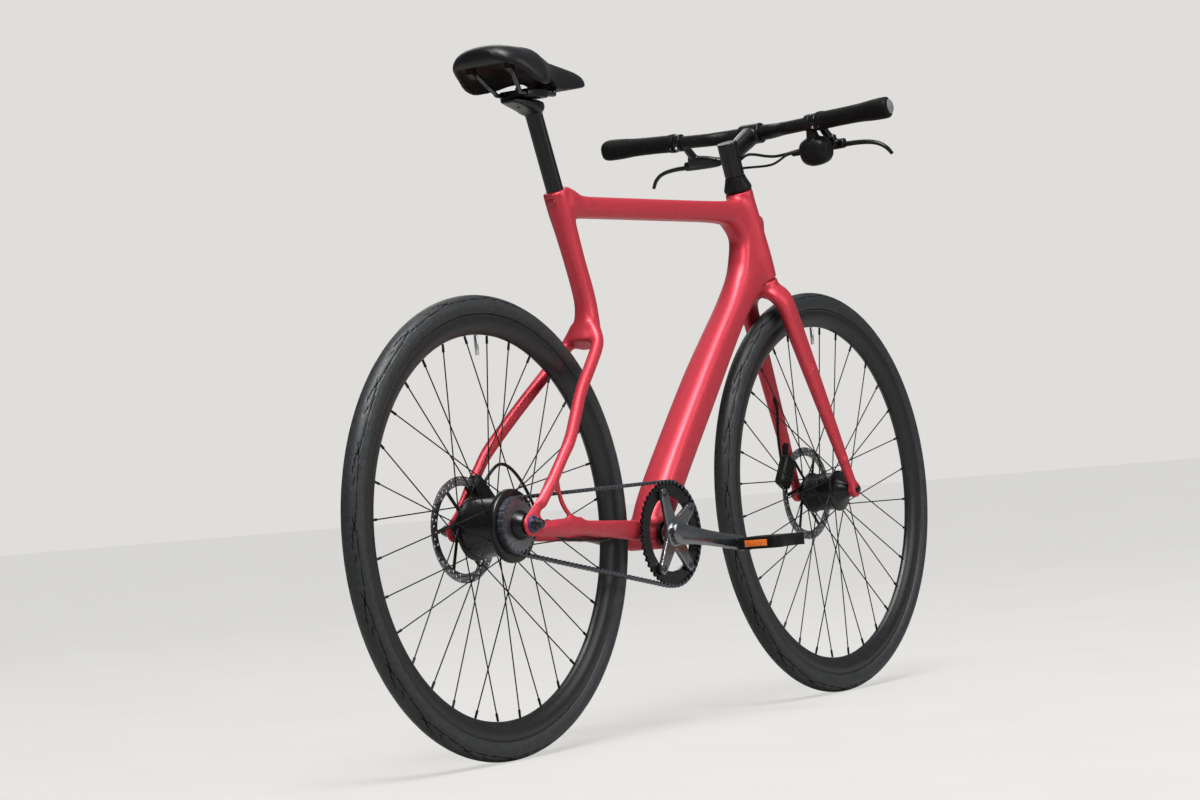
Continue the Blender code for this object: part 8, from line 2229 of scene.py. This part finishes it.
def smooth_by_angle(obj, angle):
    """Shade a CAD node smoothly up to an angle, as a modifier that leaves its mesh alone."""
    group = bpy.data.node_groups.get("smooth_%d" % angle)
    if group is None:
        group = bpy.data.node_groups.new("smooth_%d" % angle, "GeometryNodeTree")
        group.interface.new_socket("Geometry", in_out="INPUT", socket_type="NodeSocketGeometry")
        group.interface.new_socket("Geometry", in_out="OUTPUT", socket_type="NodeSocketGeometry")
        nodes, links = group.nodes, group.links
        start, stop = nodes.new("NodeGroupInput"), nodes.new("NodeGroupOutput")
        weld = nodes.new("GeometryNodeMergeByDistance")
        weld.inputs["Distance"].default_value = SHADE_WELD
        faces = nodes.new("GeometryNodeSetShadeSmooth")
        faces.domain = "FACE"
        edges = nodes.new("GeometryNodeSetShadeSmooth")
        edges.domain = "EDGE"
        bend = nodes.new("GeometryNodeInputMeshEdgeAngle")
        near = nodes.new("FunctionNodeCompare")
        near.data_type = "FLOAT"
        near.operation = "LESS_EQUAL"
        near.inputs["B"].default_value = math.radians(angle)
        links.new(start.outputs[0], weld.inputs["Geometry"])
        links.new(weld.outputs[0], faces.inputs["Geometry"])
        links.new(faces.outputs[0], edges.inputs["Geometry"])
        links.new(bend.outputs["Unsigned Angle"], near.inputs["A"])
        links.new(near.outputs["Result"], edges.inputs["Shade Smooth"])
        links.new(edges.outputs[0], stop.inputs[0])
    obj.modifiers.new("smooth", "NODES").node_group = group


# Floor and light: lamps as (name, place, aim, size, watts)

FLOOR_SIZE = 60.0
FLOOR_DARK, FLOOR_LIGHT = (0.32, 0.315, 0.305), (0.35, 0.345, 0.33)
FLOOR_GLOW = (0.84, 0.83, 0.81, 1.0)
FLOOR_GLOW_SHARE = 0.66
BACKDROP = (0.74, 0.73, 0.71, 1.0)
SKY = (0.88, 0.90, 0.93, 1.0)
SKY_STRENGTH = 0.20
SUN_TOWARD, SUN_STRENGTH, SUN_WIDTH = (0.12, 0.22, -1.0), 3.1, 45.0
LAMPS = (("key", (-1.6, -1.5, 3.6), (0.3, 0.0, -0.4), 2.0, 330.0),
         ("front", (1.6, -4.0, 0.9), (0.3, 0.0, -0.5), 2.0, 60.0),
         ("rim", (3.0, 2.8, 2.2), (0.3, 0.0, -0.4), 2.0, 30.0))


def floor():
    """A pale floor whose far part stays as light as the backdrop, with a soft shadow on it."""
    bpy.ops.mesh.primitive_plane_add(size=FLOOR_SIZE, location=(0.0, 0.0, CAD_BOX[0][2]))
    ground = bpy.context.object
    ground.name = "floor"
    material, tree, shader = shader_nodes("floor_pale")
    shader.inputs["Roughness"].default_value = 0.9
    shader.inputs["Specular IOR Level"].default_value = 0.2
    tint(tree, noise(tree, 3.0), FLOOR_DARK, FLOOR_LIGHT, shader.inputs["Base Color"])
    pale = tree.nodes.new("ShaderNodeEmission")
    pale.inputs["Color"].default_value = FLOOR_GLOW
    path = tree.nodes.new("ShaderNodeLightPath")
    share = tree.nodes.new("ShaderNodeMath")
    share.operation = "MULTIPLY"
    share.inputs[1].default_value = FLOOR_GLOW_SHARE
    mix = tree.nodes.new("ShaderNodeMixShader")
    tree.links.new(path.outputs["Is Camera Ray"], share.inputs[0])
    tree.links.new(share.outputs["Value"], mix.inputs["Fac"])
    tree.links.new(shader.outputs["BSDF"], mix.inputs[1])
    tree.links.new(pale.outputs["Emission"], mix.inputs[2])
    tree.links.new(mix.outputs["Shader"], tree.nodes["Material Output"].inputs["Surface"])
    ground.data.materials.append(material)


def add_light(name, kind, watts, direction):
    data = bpy.data.lights.new(name, kind)
    data.energy = watts
    light_object = bpy.data.objects.new(name, data)
    light_object.rotation_euler = Vector(direction).to_track_quat("-Z", "Y").to_euler()
    bpy.context.scene.collection.objects.link(light_object)
    return light_object


def studio():
    sky = add_light("sky", "SUN", SUN_STRENGTH, SUN_TOWARD)
    sky.data.angle = math.radians(SUN_WIDTH)
    for name, place, aim, size, watts in LAMPS:
        lamp = add_light(name, "AREA", watts, Vector(aim) - Vector(place))
        lamp.data.size = size
        lamp.location = place
    world = bpy.data.worlds.new("world")
    world.use_nodes = True
    tree = world.node_tree
    background = tree.nodes["Background"]
    background.inputs["Color"].default_value = SKY
    background.inputs["Strength"].default_value = SKY_STRENGTH
    seen = tree.nodes.new("ShaderNodeBackground")
    seen.inputs["Color"].default_value = BACKDROP
    path = tree.nodes.new("ShaderNodeLightPath")
    mix = tree.nodes.new("ShaderNodeMixShader")
    tree.links.new(path.outputs["Is Camera Ray"], mix.inputs["Fac"])
    tree.links.new(background.outputs["Background"], mix.inputs[1])
    tree.links.new(seen.outputs["Background"], mix.inputs[2])
    tree.links.new(mix.outputs["Shader"], tree.nodes["World Output"].inputs["Surface"])
    bpy.context.scene.world = world


fine_wheels()
draw_and_dress()
for old in list(drawing.objects):
    bpy.data.objects.remove(old, do_unlink=True)
bpy.data.collections.remove(drawing)
for node_name, node in NODES.items():
    look = LOOKS[NODE_LOOKS.get(node_name, "black")]
    node.data.materials.clear()
    node.data.materials.append(look)
    smooth_by_angle(node, SMOOTH_ANGLE)

camera()
floor()
studio()
bpy.context.scene.view_settings.view_transform = "Standard"
